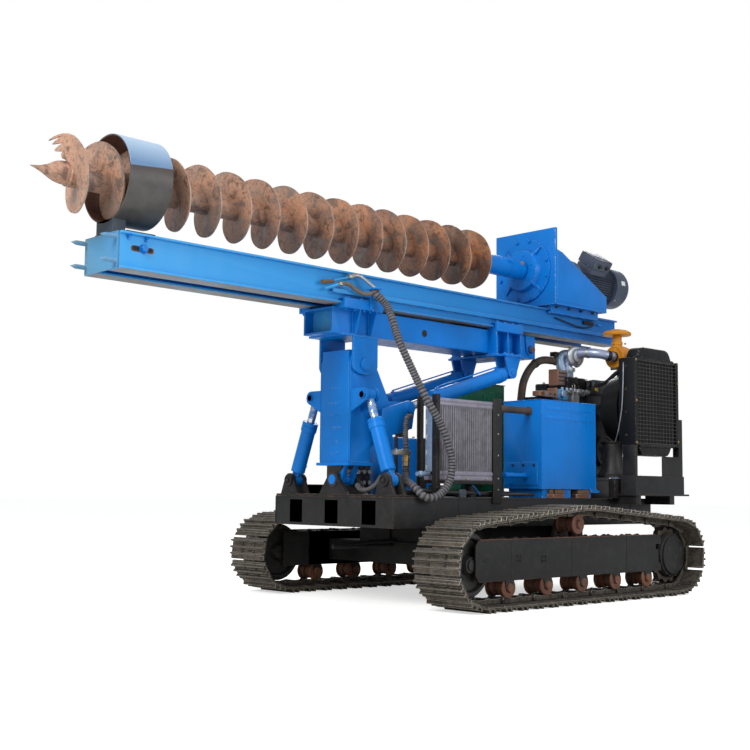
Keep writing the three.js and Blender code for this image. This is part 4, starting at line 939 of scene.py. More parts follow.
def belt_path(height, side="left"):
    """Closed line at a height above the wheels' rims, clockwise from the idler, as [x, z] points."""
    front, radius = wheel(f"idler_{side}")
    rear, _ = wheel(f"sprocket_{side}")
    depth = CHAIN_DEPTH + SHOE_THICK + GROUSER
    top = BOX[f"track_{side}"].z1 - depth - ROLLER_RADIUS
    middle = Vector(((front.x + rear.x) / 2 + 40 * MM, top))
    pulleys = [(front, radius), (middle, ROLLER_RADIUS), (rear, radius)]
    normals = []
    for i, (centre, size) in enumerate(pulleys):
        after, after_size = pulleys[(i + 1) % 3]
        run = atan2(after.y - centre.y, after.x - centre.x)
        lean = acos((size - after_size) / (after - centre).length)
        normals.append(run - lean)
    points = []
    for i, (centre, size) in enumerate(pulleys):
        first = normals[i - 1]
        turn = (normals[i] - first) % (2 * pi)
        steps = max(4, round(turn * (size + height) / (6 * MM)))
        for k in range(steps + 1):
            angle = first + turn * k / steps
            points.append(centre + (size + height) * Vector((cos(angle), sin(angle))))
    return points


def even_points(points, count):
    """Evenly spaced points round a closed line."""
    lengths = [0.0]
    for i, point in enumerate(points):
        lengths.append(lengths[-1] + (points[(i + 1) % len(points)] - point).length)
    out, k = [], 0
    for i in range(count):
        wanted = lengths[-1] * i / count
        while lengths[k + 1] < wanted:
            k += 1
        step = max(lengths[k + 1] - lengths[k], 1e-9)
        out.append(points[k].lerp(points[(k + 1) % len(points)], (wanted - lengths[k]) / step))
    return out


def shoe_profile(pitch):
    """Side view of one shoe: a curled front lip, three grousers and a flat heel."""
    front, heel = -pitch * 0.5 + 4 * MM, pitch * 0.5 + 7 * MM
    base, top = CHAIN_DEPTH / 2, CHAIN_DEPTH / 2 + SHOE_THICK
    crown = top + GROUSER
    low = top + GROUSER * 0.72
    return [
        (front, base - 6 * MM), (front + 8 * MM, base), (heel, base), (heel, top - 3 * MM),
        (heel - 14 * MM, top), (pitch * 0.30 + 8 * MM, top), (pitch * 0.30 + 3 * MM, low),
        (pitch * 0.30 - 5 * MM, low), (pitch * 0.30 - 9 * MM, top), (9 * MM, top), (4 * MM, crown),
        (-5 * MM, crown), (-10 * MM, top), (-pitch * 0.30 + 7 * MM, top), (-pitch * 0.30 + 3 * MM, crown),
        (-pitch * 0.30 - 6 * MM, crown), (-pitch * 0.30 - 11 * MM, top), (front, top - 4 * MM),
    ]


def make_link(maker, start, end, y):
    """One link plate: a bar with a round eye at each pin."""
    length = (end - start).length
    eye = CHAIN_DEPTH * 0.46
    outline = [(-eye, 0)] + arc((0, 0), eye, 180, 250, 3) + [(length * 0.3, -eye * 0.5),
                                                             (length * 0.7, -eye * 0.5)]
    outline += arc((length, 0), eye, 290, 360, 3) + [(length + eye * 0.7, eye * 0.9), (-eye * 0.7, eye * 0.9)]
    turn = atan2(end.y - start.y, end.x - start.x)
    place = Matrix.Translation((start.x, 0, start.y)) @ Matrix.Rotation(-turn, 4, "Y")
    maker.plate(outline, "y", y - LINK_THICK / 2, y + LINK_THICK / 2, "track", 2 * MM, place)


def make_track(side):
    maker = Maker()
    box = BOX[f"track_{side}"]
    rng = random.Random(sizes().seed)
    pins = even_points(belt_path(CHAIN_DEPTH / 2, side), sizes().shoes)
    pins.reverse()
    finish = "track"
    for i, pin in enumerate(pins):
        after = pins[(i + 1) % len(pins)]
        pitch = (after - pin).length
        middle = (pin + after) / 2
        turn = atan2(after.y - pin.y, after.x - pin.x)
        place = Matrix.Translation((middle.x, 0, middle.y)) @ Matrix.Rotation(-turn, 4, "Y")
        inset = rng.uniform(0, 2.5) * MM
        maker.plate(shoe_profile(pitch), "y", box.y0 + inset, box.y1 - rng.uniform(0, 2.5) * MM, finish,
                    2.2 * MM, place)
        bolt_top = CHAIN_DEPTH / 2 + SHOE_THICK
        for across in (-BOLT_SPREAD, BOLT_SPREAD):
            for along in (-pitch * 0.15, pitch * 0.17):
                spot = place @ Vector((along, box.y + across, bolt_top))
                out = place.to_3x3() @ Vector((0, 0, 1))
                maker.bolt(spot, out, finish, 20, 9, False)
        for way in (-1, 1):
            offset = LINK_SPREAD + (LINK_THICK + 1 * MM if i % 2 else 0)
            make_link(maker, pin, after, box.y + way * offset)
        reach = LINK_SPREAD + LINK_THICK * 1.7
        maker.turned([(-reach, 0), (-reach, 11 * MM), (reach, 11 * MM), (reach, 0)], "y",
                     (pin.x, box.y, pin.y), finish, 12)
        maker.turned([(-LINK_SPREAD, 0), (-LINK_SPREAD, 17 * MM), (LINK_SPREAD, 17 * MM), (LINK_SPREAD, 0)],
                     "y", (pin.x, box.y, pin.y), finish, 14)
    maker.piece(f"track_shoes_{side}", "chassis", "track_steel", (f"track_{side}",))


class RIG_OT_tracks(bpy.types.Operator):
    """Both crawler tracks: shoes with grousers and bolts on a chain of links, pins and bushings"""
    bl_idname = "rig.tracks"
    bl_label = "Tracks"

    def execute(self, context):
        for side in SIDES:
            make_track(side)
        return {"FINISHED"}


def make_roller(maker, x, y, z):
    half, flange = 53 * MM, 67 * MM
    rim, lip = ROLLER_RADIUS, ROLLER_RADIUS + 12 * MM
    maker.turned([(-flange - 16 * MM, 0), (-flange - 16 * MM, 24 * MM), (-flange, 30 * MM),
                  (-flange, lip - 3 * MM), (-flange + 3 * MM, lip), (-half - 3 * MM, lip),
                  (-half, lip - 3 * MM), (-half, rim), (-14 * MM, rim), (-12 * MM, rim - 8 * MM),
                  (12 * MM, rim - 8 * MM), (14 * MM, rim), (half, rim), (half, lip - 3 * MM),
                  (half + 3 * MM, lip), (flange - 3 * MM, lip), (flange, lip - 3 * MM),
                  *past(flange, (0, 30), (16, 24), (16, 0))], "y", (x, y, z), "rust", 36)


def make_frame(side):
    way = SIDES[side]
    belt = BOX[f"track_{side}"]
    front, _ = wheel(f"idler_{side}")
    rear, _ = wheel(f"sprocket_{side}")
    y = belt.y
    mid = (front.x + rear.x) / 2
    low, high = 165 * MM, 404 * MM
    x0, x1 = mid - 870 * MM, mid + 1012 * MM
    half = 75 * MM
    maker = Maker()
    black = "black"

    def across(near, far):
        return sorted((y + way * near, y + way * far))

    notch = [(x0, low), (x1 - 30 * MM, low), (x1, low + 34 * MM), (x1, high - 34 * MM), (x1 - 30 * MM, high),
             (x0, high), (x0, high - 62 * MM), (x0 + 62 * MM, high - 62 * MM), (x0 + 62 * MM, high - 96 * MM),
             (x0 + 34 * MM, high - 96 * MM), (x0 + 34 * MM, low + 62 * MM), (x0, low + 40 * MM)]
    maker.plate(notch, "y", *across(half - 12 * MM, half), black, 2.5 * MM)
    y0, y1 = across(-half, half - 12.5 * MM)
    maker.box((x0 + 125 * MM, y0, low + 6 * MM), (x1 - 220 * MM, y1, high - 6 * MM), black, 3 * MM)
    y0, y1 = across(-half, -half + 12 * MM)
    maker.box((x0 + 66 * MM, y0, low + 6 * MM), (x1 - 2 * MM, y1, high - 6 * MM), black, 3 * MM)
    y0, y1 = across(-half + 4 * MM, half - 13 * MM)
    maker.box((x1 - 232 * MM, y0, low + 62 * MM), (x1 - 178 * MM, y1, high - 60 * MM), black, 3 * MM)
    for k in range(5):
        x = mid + (k - 2) * 356 * MM
        z = CHAIN_DEPTH + SHOE_THICK + GROUSER + ROLLER_RADIUS
        make_roller(maker, x, y, z)
        for end in (-1, 1):
            y0, y1 = sorted((y + end * 69 * MM, y + end * 75 * MM))
            maker.plate([(x - 40 * MM, low + 4 * MM), (x + 40 * MM, low + 4 * MM), (x + 24 * MM, z - 22 * MM),
                         (x - 24 * MM, z - 22 * MM)], "y", y0, y1, black, 1.5 * MM)
    carrier_z = BOX[f"track_{side}"].z1 - CHAIN_DEPTH - SHOE_THICK - GROUSER - ROLLER_RADIUS
    make_roller(maker, mid + 40 * MM, y, carrier_z)
    y0, y1 = across(-92 * MM, -68 * MM)
    maker.plate([(mid - 40 * MM, high - 2 * MM), (mid + 120 * MM, high - 2 * MM),
                 (mid + 78 * MM, carrier_z + 24 * MM), (mid + 4 * MM, carrier_z + 24 * MM)], "y", y0, y1,
                "iron", 2 * MM)
    outer = y + way * half
    out = (0, way, 0)
    for x, z in ((mid + 630 * MM, 290 * MM), (mid + 392 * MM, 282 * MM)):
        for dx, dz in ((-14, -12), (14, -12), (-14, 12), (14, 12)):
            maker.bolt((x + dx * MM, outer, z + dz * MM), out, black, 15, 6, False)
    y0, y1 = across(half - 1 * MM, half + 0.6 * MM)
    slot = arc((mid + 905 * MM, 287 * MM), 11 * MM, 90, 270, 6)
    slot = slot + arc((mid + 945 * MM, 287 * MM), 11 * MM, -90, 90, 6)
    maker.plate(slot, "y", y0, y1, "dark", 0.2 * MM)
    for x in (mid + 700 * MM, mid + 120 * MM, mid - 470 * MM):
        maker.weld([(x, outer, low + 14 * MM), (x, outer, high - 14 * MM)], black, 2.2)
    maker.weld([(x0 + 70 * MM, outer - way * 2 * MM, high), (x1 - 40 * MM, outer - way * 2 * MM, high)],
               "rust", 3.5)
    dirt = random.Random(sizes().seed + way)
    for _ in range(90):
        x = dirt.uniform(x0 + 150 * MM, x1 - 240 * MM)
        size = dirt.uniform(6, 20) * MM
        spot = (x, y + dirt.uniform(-0.7, 0.6) * half, high - 4 * MM)
        maker.turned([(-size * 0.2, 0), (0, size), (size * 0.5, size * 0.6), (size * 0.7, 0)], "z", spot,
                     "track", 7)
    maker.piece(f"side_frame_{side}", "chassis", "black_paint", (f"track_frame_{side}",))


def make_idler(side):
    way = SIDES[side]
    centre, rim = wheel(f"idler_{side}")
    y = BOX[f"track_{side}"].y
    maker = Maker()
    face = 44 * MM
    maker.turned([(-face - 8 * MM, 0), (-face - 8 * MM, 44 * MM), mm(-18, 58), (-18 * MM, rim - 44 * MM),
                  (-face, rim - 34 * MM), (-face, rim - 14 * MM), (-28 * MM, rim - 12 * MM), (-26 * MM, rim),
                  (26 * MM, rim), (28 * MM, rim - 12 * MM), (face, rim - 14 * MM), (face, rim - 34 * MM),
                  (18 * MM, rim - 44 * MM), mm(18, 58), (face + 8 * MM, 44 * MM), (face + 8 * MM, 0)],
                 "y", (centre.x, y, centre.y), "iron", 56)
    for k in range(6):
        angle = pi * k / 3
        spot = centre + 92 * MM * Vector((cos(angle), sin(angle)))
        maker.turned(in_mm((-3, 0), (-3, 17), (0.8, 17), (0.8, 0)), "y",
                     (spot.x, y + way * 18 * MM, spot.y), "dark", 16)
    inner, outer = sorted((y + way * 50 * MM, y + way * 61 * MM))
    maker.turned([(inner - y, 0), (inner - y, 30 * MM), (outer - y, 30 * MM), (outer - y, 0)], "y",
                 (centre.x, y, centre.y), "iron", 28)
    maker.piece(f"idler_wheel_{side}", "chassis", "track_steel", (f"idler_{side}",))


def make_sprocket(side):
    way = SIDES[side]
    centre, rim = wheel(f"sprocket_{side}")
    y = BOX[f"track_{side}"].y
    maker = Maker()
    teeth = 15
    outline = []
    for k in range(teeth):
        for share, depth in ((0.1, 20), (0.34, 6), (0.46, 0), (0.64, 0), (0.76, 6), (1.0, 20)):
            angle = 2 * pi * (k + share) / teeth
            radius = rim - depth * MM
            outline.append((centre.x + radius * cos(angle), centre.y + radius * sin(angle)))
    maker.plate(outline, "y", y - 21 * MM, y + 21 * MM, "track", 2 * MM)
    disc = in_mm((20, 0), (20, 150), (46, 150), (52, 144), (60, 142), (66, 132), (78, 128), (80, 120),
                 (80, 34), (76, 28), (76, 0))
    maker.turned([(way * a, r) for a, r in disc], "y", (centre.x, y, centre.y), "black", 64)
    for k in range(18):
        angle = 2 * pi * k / 18
        spot = centre + 139 * MM * Vector((cos(angle), sin(angle)))
        maker.bolt((spot.x, y + way * 57 * MM, spot.y), (0, way, 0), "iron", 15, 6, False)
    for angle in (0.6, 2.7, 4.8):
        spot = centre + 82 * MM * Vector((cos(angle), sin(angle)))
        maker.turned(in_mm((0, 0), (0, 13), (4, 12), (4, 0)), "y",
                     (spot.x, y + way * 78 * MM - (0 if way > 0 else 4 * MM), spot.y), "iron", 18)
    hub = in_mm((-20, 0), (-20, 118), (-58, 112), (-61, 100), (-61, 0))
    maker.turned([(way * a, r) for a, r in hub], "y", (centre.x, y, centre.y), "black", 48)
    maker.piece(f"final_drive_{side}", "chassis", "track_steel", (f"sprocket_{side}",))


class RIG_OT_track_frames(bpy.types.Operator):
    """Track frames with their rollers, idlers and sprockets"""
    bl_idname = "rig.track_frames"
    bl_label = "Track frames"

    def execute(self, context):
        for side in SIDES:
            make_frame(side)
            make_idler(side)
            make_sprocket(side)
        return {"FINISHED"}


# ---------------------------------------------------------------- chassis


def make_platform():
    box = BOX["platform"]
    black = "black"
    edged("platform", black, "black_paint", 3 * MM)
    maker = Maker()
    side, face = box.y1, box.x1
    top = box.z1 - 10 * MM
    for x in (box.x0 + 260 * MM, box.x1 - 560 * MM):
        for way in (-1, 1):
            maker.weld([(x, way * side, box.z0 + 6 * MM), (x, way * side, box.z1 - 6 * MM)], black, 3)
    for way in (-1, 1):
        maker.weld([(box.x0 + 4 * MM, way * side, top), (box.x1 - 4 * MM, way * side, top)], black, 2.4)
        maker.weld([(face, way * (side - 3 * MM), box.z0 + 6 * MM),
                    (face, way * (side - 3 * MM), box.z1 - 6 * MM)], black, 3)
    maker.weld([(face, -side + 4 * MM, top), (face, side - 4 * MM, top)], black, 2.4)
    for y in mm(-330, 0, 330):
        maker.box((face - 2 * MM, y - 60 * MM, box.z0 + 16 * MM), (face + 0.0, y + 60 * MM, top - 12 * MM),
                  black, 2 * MM)
    maker.piece("platform_welds", "chassis", "black_paint")


def make_under():
    edged("undercarriage", "black", "black_paint", 3 * MM)
    box = BOX["undercarriage"]
    maker = Maker()
    for x in (box.x0 + 80 * MM, box.x1 - 80 * MM):
        for way in (-1, 1):
            y = way * (box.y1 - 34 * MM)
            for dx in (-62, -22, 22, 62):
                for dz in (34, 106):
                    maker.bolt((x + dx * MM, y, box.z0 + dz * MM), (0, way, 0), "iron", 22, None, False)
            maker.box((x - 84 * MM, min(y, y - way * 16 * MM), box.z0 + 3 * MM),
                      (x + 84 * MM, max(y, y - way * 16 * MM), box.z0 + 138 * MM), "black", 2 * MM)
    centre = (box.x0 + box.x1) / 2
    maker.turned([*past(box.z0, (6, 0), (6, 60), (30, 90)), (box.z1 - 4 * MM, 96 * MM), (box.z1 - 4 * MM, 0)],
                 "z", (centre + 300 * MM, 0, 0), "iron", 32)
    line = smooth_line([(box.x1 - 100 * MM, -150 * MM, box.z0 + 160 * MM),
                        (0.3, -160 * MM, box.z0 + 120 * MM), (-0.6, -150 * MM, box.z0 + 130 * MM),
                        (box.x0 + 90 * MM, -130 * MM, box.z0 + 165 * MM)])
    maker.pipe(line, 11 * MM, "belt", 10)
    maker.piece("undercarriage_fittings", "chassis", "black_paint")


def make_lugs():
    edged("deck_lugs", "black", "black_paint", 2.5 * MM)
    maker = Maker()
    box = BOX["deck_lugs"]
    black, iron = "black", "iron"
    for way in SIDES.values():
        foot = pivot("tilt_barrel_left_swing")
        for x, out in ((foot.x + 57 * MM, 1), (foot.x - 57 * MM, -1)):
            spot = (x, way * foot.y, foot.z)
            collar = in_mm((0, 0), (0, 37), (7, 36), (8, 33), (8, 22), (4, 20), (4, 0))
            maker.turned([(out * a, r) for a, r in collar], "x", spot, black, 36)
            maker.bolt((x + out * 5 * MM, way * foot.y, foot.z), (out, 0, 0), iron, 24, 9, True)
    axis = pivot("post_tilt")
    for x, out in ((box.x1 - 7.8 * MM, 1), (box.x0 + 6.2 * MM, -1)):
        ring = in_mm((0, 31.6), (0, 45), (5, 45), (6, 43), (6, 31.6), (0, 31.6))
        maker.turned([(out * a, r) for a, r in ring], "x", (x, 0, axis.z), iron, 40)
    base = BOX["platform"].z1 + 0.3 * MM + 12 * MM
    for y, spread in ((0, 125), (434, 80), (-434, 80)):
        for x in (box.x0 + 6 * MM,
                  box.x1 - 36 * MM) if y == 0 else (pivot("tilt_barrel_left_swing").x + 32 * MM,):
            front = x + (30 * MM if y == 0 else 22 * MM)
            maker.weld([(front + 1 * MM, (y - spread + 6) * MM, base),
                        (front + 1 * MM, (y + spread - 6) * MM, base)], black, 4)
    maker.piece("lug_bosses", "chassis", "black_paint")


def make_bar():
    edged("deck_bar", "rust", "rusty_steel", 4 * MM)
    box = BOX["deck_bar"]
    maker = Maker()
    maker.box((box.x0 + 7 * MM, box.y0 - 1 * MM, box.z0 + 7 * MM),
              (box.x1 - 7 * MM, box.y0 + 4 * MM, box.z1 - 7 * MM), "dark", 1 * MM)
    maker.piece("bar_mouth", "chassis", "rusty_steel")


class RIG_OT_chassis(bpy.types.Operator):
    """Platform, undercarriage, deck lugs and the bar that lies on the deck"""
    bl_idname = "rig.chassis"
    bl_label = "Chassis"

    def execute(self, context):
        make_platform()
        make_under()
        make_lugs()
        make_bar()
        return {"FINISHED"}


# ---------------------------------------------------------------- post


class RIG_OT_post(bpy.types.Operator):
    """The tilting post with its welds, stiffening bands and pins"""
    bl_idname = "rig.post"
    bl_label = "Post"

    def execute(self, context):
        luff = pivot("mast_luff")
        tilt = pivot("tilt_barrel_left_swing")
        edged("post", "blue", "blue_paint", 4 * MM)
        maker = Maker()
        blue, weld, rust = "blue", "weld", "rust"
        face = luff.x + 105 * MM
        half = 120 * MM
        bottom, top = 845 * MM, luff.z + 88 * MM
        for k, z in enumerate((905, 975, 1060, 1138, 1210, 1300)):
            width = (58, 66, 66, 62, 60, 44)[k] * MM
            maker.box((face - 3 * MM, -width, (z - 4) * MM), (face + 1.6 * MM, width * 0.85, (z + 4) * MM),
                      blue, 1.5 * MM)
            maker.box((face - 2 * MM, -width * 0.9, (z - 15) * MM),
                      (face + 0.7 * MM, width * 0.8, (z - 5) * MM), blue, 0.4 * MM)
        for way in SIDES.values():
            maker.weld([(face - 1 * MM, way * half, bottom + 8 * MM),
                        (face - 1 * MM, way * half, luff.z + 10 * MM)], weld, 3.6)
            maker.weld([(face - 3 * MM, way * (half + 16 * MM), bottom + 8 * MM),
                        (face - 3 * MM, way * (half + 16 * MM), luff.z - 10 * MM)], blue, 3)
            maker.weld([(face - 165 * MM, way * (half + 17 * MM), bottom + 3 * MM),
                        (face - 6 * MM, way * (half + 17 * MM), bottom + 3 * MM)], weld, 4)
            # luff pin: collar, pin end and the arc of weld round it
            y = way * (half + 16 * MM + 6 * MM + 16 * MM)
            cap = in_mm((-4, 0), (-4, 40), (3, 40), (4, 38), (4, 0))
            maker.turned([(way * a, r) for a, r in cap], "y", (luff.x, y + way * 5 * MM, luff.z), blue, 40)
            boss = in_mm((0, 0), (0, 31), (13.2, 31), (15.2, 28), (15.2, 0))
            maker.turned([(way * a, r) for a, r in boss], "y", (luff.x, y - way * 0.6 * MM, luff.z), blue, 40)
            ring = [(luff.x + dx, y + way * 6 * MM, luff.z + dz)
                    for dx, dz in arc((0, 0), 38 * MM, 60, 230, 20)]
            maker.weld(ring, weld, 4)
            # eye pin of the tilt cylinder with its weld arc
            ey, ez = way * 238 * MM, 1250 * MM
            for x, out in ((tilt.x + 62 * MM, 1), (tilt.x - 62 * MM, -1)):
                cap = in_mm((-8, 0), (-8, 23), (-2, 23), (0, 20), (0, 0))
                maker.turned([(out * a, r) for a, r in cap], "x", (x, ey, ez), blue, 32)
            front = tilt.x + 52 * MM
            lip = [(front, ey + dy, ez + dz) for dy, dz in arc((0, 0), 27 * MM, 10, 220, 18)]
            maker.weld(lip, weld, 3.4)
            seam = way * (half + 16 * MM + 2 * MM)
            maker.weld([(front - 1 * MM, seam, 1160 * MM), (front - 1 * MM, seam, 1288 * MM)],
                       weld, 3.4)
            # luff cylinder foot: collars on the cheek and on the post's side plate
            foot_y = way * 256 * MM
            foot = Vector((LUFF_FOOT_X, 0, LUFF_FOOT_Z))
            disc = in_mm((0, 0), (0, 34), (-14, 34), (-14, 0))
            maker.turned([(way * a, r) for a, r in disc], "y", (foot.x, foot_y + way * 0.5 * MM, foot.z),
                         blue, 36)
            maker.weld([(foot.x + dx, way * 245 * MM, foot.z + dz)
                        for dx, dz in arc((0, 0), 37 * MM, 0, 360, 26)], blue, 3)
        maker.piece("post_welds", "post", "blue_paint")
        # rust on the bare rolled top
        crown = Maker()
        crown.box((luff.x - 60 * MM, -half + 3 * MM, top - 2 * MM),
                  (luff.x + 98 * MM, half - 3 * MM, top + 1.2 * MM), rust, 1 * MM)
        crown.piece("post_crown", "post", "blue_paint")
        return {"FINISHED"}


# ---------------------------------------------------------------- cylinders


def make_stand(foot, eye):
    """Matrix that stands +Z on the line from foot to eye, with the eye's pin along X kept level."""
    up = (eye - foot).normalized()
    across = Vector((1, 0, 0)) if abs(up.x) < 0.3 else Vector((0, 1, 0))
    third = up.cross(across).normalized()
    return Matrix((
        (across.x, third.x, up.x, foot.x), (across.y, third.y, up.y, foot.y),
        (across.z, third.z, up.z, foot.z), (0, 0, 0, 1)))


def make_eye(maker, place, height, radius, bore, half, finish):
    """A round eye whose bore lies across the cylinder."""
    profile = [(-half, bore), (-half, radius - 2 * MM), (-half + 2 * MM, radius), (half - 2 * MM, radius),
               (half, radius - 2 * MM), (half, bore), (-half, bore)]
    maker.turned(profile, "x", (0, 0, height), finish, 32, place)


def make_tilt(side):
    way = SIDES[side]
    foot = pivot(f"tilt_barrel_{side}_swing")
    eye = Vector((foot.x, way * 238 * MM, 1250 * MM))
    place = make_stand(foot, eye)
    length = (eye - foot).length
    blue = "blue"
    maker = Maker()
    r, end = 45 * MM, 390 * MM
    maker.turned([mm(57, 0), (57 * MM, r - 8 * MM), (66 * MM, r), (end - 62 * MM, r),
                  (end - 62 * MM, r + 2 * MM), (end - 59 * MM, r + 5 * MM), (end - 24 * MM, r + 5 * MM),
                  (end - 22 * MM, r + 3 * MM), (end - 20 * MM, r + 5 * MM), (end - 3 * MM, r + 5 * MM),
                  (end, r + 2 * MM), (end, 26 * MM), mm(80, 26), mm(80, 0)], "z", (0, 0, 0), blue, 48, place)
    make_eye(maker, place, 0, 38 * MM, 20.7 * MM, 28 * MM, blue)
    maker.box(mm(-19, -27, 27), mm(19, 27, 60), blue, 5 * MM, place)
    maker.weld([place @ Vector((cos(a) * (r - 2 * MM), sin(a) * (r - 2 * MM), 62 * MM))
                for a in [pi * k / 12 for k in range(25)]], blue, 3.6)
    # port bosses at the foot and at the gland
    maker.turned(in_mm((0, 0), (0, 13), (14, 13), (14, 0)), "z", (0, 0, 0), blue, 20,
                 place @ Matrix.Translation((-r + 6 * MM, 0, 96 * MM)) @ Matrix.Rotation(-pi / 2, 4, "Y"))
    maker.turned(in_mm((0, 0), (0, 13), (14, 13), (14, 0)), "z", (0, 0, 0), blue, 20,
                 place @ Matrix.Translation((-r + 2 * MM, 0, end - 44 * MM))
                 @ Matrix.Rotation(-pi / 2, 4, "Y"))
    maker.piece(f"tilt_cylinder_{side}", f"tilt_barrel_{side}", "blue_paint", (f"tilt_barrel_{side}",))
    rod = Maker()
    rod.turned([mm(124, 0), mm(124, 24.8), (end + 30 * MM, 24.8 * MM), (end + 30 * MM, 0)], "z", (0, 0, 0),
               "chrome", 40, place)
    rod.turned([(end + 28 * MM, 0), (end + 28 * MM, 25 * MM), *past(length, (-32, 25), (-24, 22), (-24, 0))],
               "z", (0, 0, 0), "spray", 40, place)
    make_eye(rod, place, length, 38 * MM, 25 * MM, 28 * MM, blue)
    rod.weld([place @ Vector((cos(a) * 25 * MM, sin(a) * 25 * MM, length - 31 * MM))
              for a in [pi * k / 12 for k in range(25)]], blue, 4)
    rod.piece(f"tilt_piston_{side}", f"tilt_rod_{side}", "chrome_rod", (f"tilt_rod_{side}",))


def make_luff(side):
    way = SIDES[side]
    head = pivot("luff_barrels_swing") + Vector(mm(0, way * 200, 0))
    foot = Vector((0.030, way * 200 * MM, 1.193))
    place = make_stand(head, foot)
    length = (foot - head).length
    blue = "blue"
    maker = Maker()
    r, end = 48 * MM, 790 * MM
    maker.turned([mm(47, 0), (47 * MM, r - 8 * MM), (56 * MM, r), (86 * MM, r), (86 * MM, r + 1.2 * MM),
                  (88 * MM, r + 3 * MM), (112 * MM, r + 3 * MM), (114 * MM, r + 1 * MM), (114 * MM, r),
                  (end - 96 * MM, r), (end - 92 * MM, r + 4 * MM), (end - 48 * MM, r + 5 * MM),
                  (end - 45 * MM, r + 3 * MM), (end - 42 * MM, r + 5 * MM), (end - 3 * MM, r + 5 * MM),
                  (end, r + 2 * MM), (end, 29 * MM), mm(160, 29), mm(160, 0)], "z", (0, 0, 0), blue, 48,
                 place)
    half = 30 * MM
    profile = [(-half, 20.7 * MM), (-half, 40 * MM), (-half + 2 * MM, 42 * MM),
               *past(half, (-2, 42), (0, 40), (0, 20.7)), (-half, 20.7 * MM)]
    maker.turned(profile, "y", tuple(head), blue, 32)
    maker.box(mm(-29, -21, 26), mm(29, 21, 52), blue, 5 * MM, place)
    side_way = 1
    line = [(0, side_way * (r + 2 * MM), 104 * MM), (0, side_way * (r + 13 * MM), 112 * MM),
            (0, side_way * (r + 14 * MM), 150 * MM), (0, side_way * (r + 14 * MM), end - 120 * MM),
            (0, side_way * (r + 13 * MM), end - 80 * MM), (0, side_way * (r + 2 * MM), end - 66 * MM)]
    up = 1 if (place.to_3x3() @ Vector((0, 1, 0))).z > 0 else -1
    line = [place @ Vector((x, up * y, z)) for x, y, z in line]
    maker.pipe(smooth_line(line, 6), 5 * MM, blue, 10)
    for z in (104 * MM, end - 66 * MM):
        spot = place @ Vector((0, up * (r - 2 * MM), z))
        maker.bolt(spot, place.to_3x3() @ Vector((0, up, 0)), blue, 26, 12, False)
    maker.piece(f"luff_cylinder_{side}", "luff_barrels", "blue_paint", (f"luff_barrel_{side}",))
    rod = Maker()
    start = length - 870 * MM
    rod.turned([(start, 0), (start, 27.8 * MM), (length - 30 * MM, 27.8 * MM), (length - 30 * MM, 0)], "z",
               (0, 0, 0), "chrome", 40, place)
    half = 26 * MM
    rod.turned([(-half, 0), (-half, 36 * MM), (-half + 2 * MM, 38 * MM),
                *past(half, (-2, 38), (0, 36), (0, 0))], "y", tuple(foot), blue, 32)
    rod.piece(f"luff_piston_{side}", "luff_rods", "chrome_rod", (f"luff_rod_{side}",))


class RIG_OT_cylinders(bpy.types.Operator):
    """Tilt and luff cylinders: barrels with end rings, glands, ports and pipes, and their rods"""
    bl_idname = "rig.cylinders"
    bl_label = "Cylinders"

    def execute(self, context):
        for side in SIDES:
            make_tilt(side)
            make_luff(side)
        return {"FINISHED"}


# ---------------------------------------------------------------- carrier


def make_front():
    box = BOX["carrier_beam"]
    luff = pivot("mast_luff")
    blue, weld = "blue", "weld"
    edged("carrier_beam", blue, "blue_paint", 3 * MM)
    maker = Maker()
    bottom, top = 1620 * MM, 1779 * MM
    for way in SIDES.values():
        wall = way * 131 * MM
        for x in (1107, 1243):
            x = x * MM + TRACK_SHIFT
            for dx in (-1, 11):
                maker.weld([(x + dx * MM, way * 136 * MM, bottom + 4 * MM),
                            (x + dx * MM, way * 136 * MM, top - 14 * MM)], weld, 3.4, 7)
            maker.weld([(x + 12 * MM, way * 160 * MM, bottom + 3 * MM),
                        (x + 11 * MM, way * 203 * MM, top - 16 * MM)], blue, 2.4)
        for x in (1090, 1160, 1215, 1290, 1360):
            maker.bolt((x * MM + TRACK_SHIFT, way * 192 * MM, top - 12 * MM), (0, 0, -1), blue, 20, 10, True)
        for x in (1105, 1240, 1350):
            maker.bolt((x * MM + TRACK_SHIFT, way * 198 * MM, 1827 * MM), (0, 0, 1), blue, 18, 8, True)
        maker.weld([(box.x0 + 80 * MM, wall, bottom + 1 * MM), (luff.x - 110 * MM, wall, bottom + 1 * MM)],
                   blue, 2)
        hole = (-211 * MM, wall, 1691 * MM)
        rim = in_mm((-1, 15), (-1, 25), (1.5, 24), (1.5, 15), (-1, 15))
        maker.turned([(way * a, r) for a, r in rim], "y", hole, "iron", 32)
        maker.turned(in_mm((way * -1, 0), (way * -1, 15.5), (way * 0.4, 15.5), (way * 0.4, 0)), "y",
                     hole, "dark", 28)
        maker.bolt((hole[0], wall, hole[2]), (0, way, 0), "iron", 13, 4, False)
        maker.weld([(luff.x - 101 * MM, way * 159 * MM, bottom - 8 * MM),
                    (luff.x + 101 * MM, way * 159 * MM, bottom - 8 * MM)], weld, 3.4)
    # stiffening diaphragm just inside the open front end, in a paler blue than the carrier: painted light,
    # standing in for the light falling into the mouth
    slab(maker, (1345, 1351), (-118.5, 118.5), (1632.5, 1766.5), "sky", 1)
    maker.piece("carrier_welds", "carrier", "blue_paint")


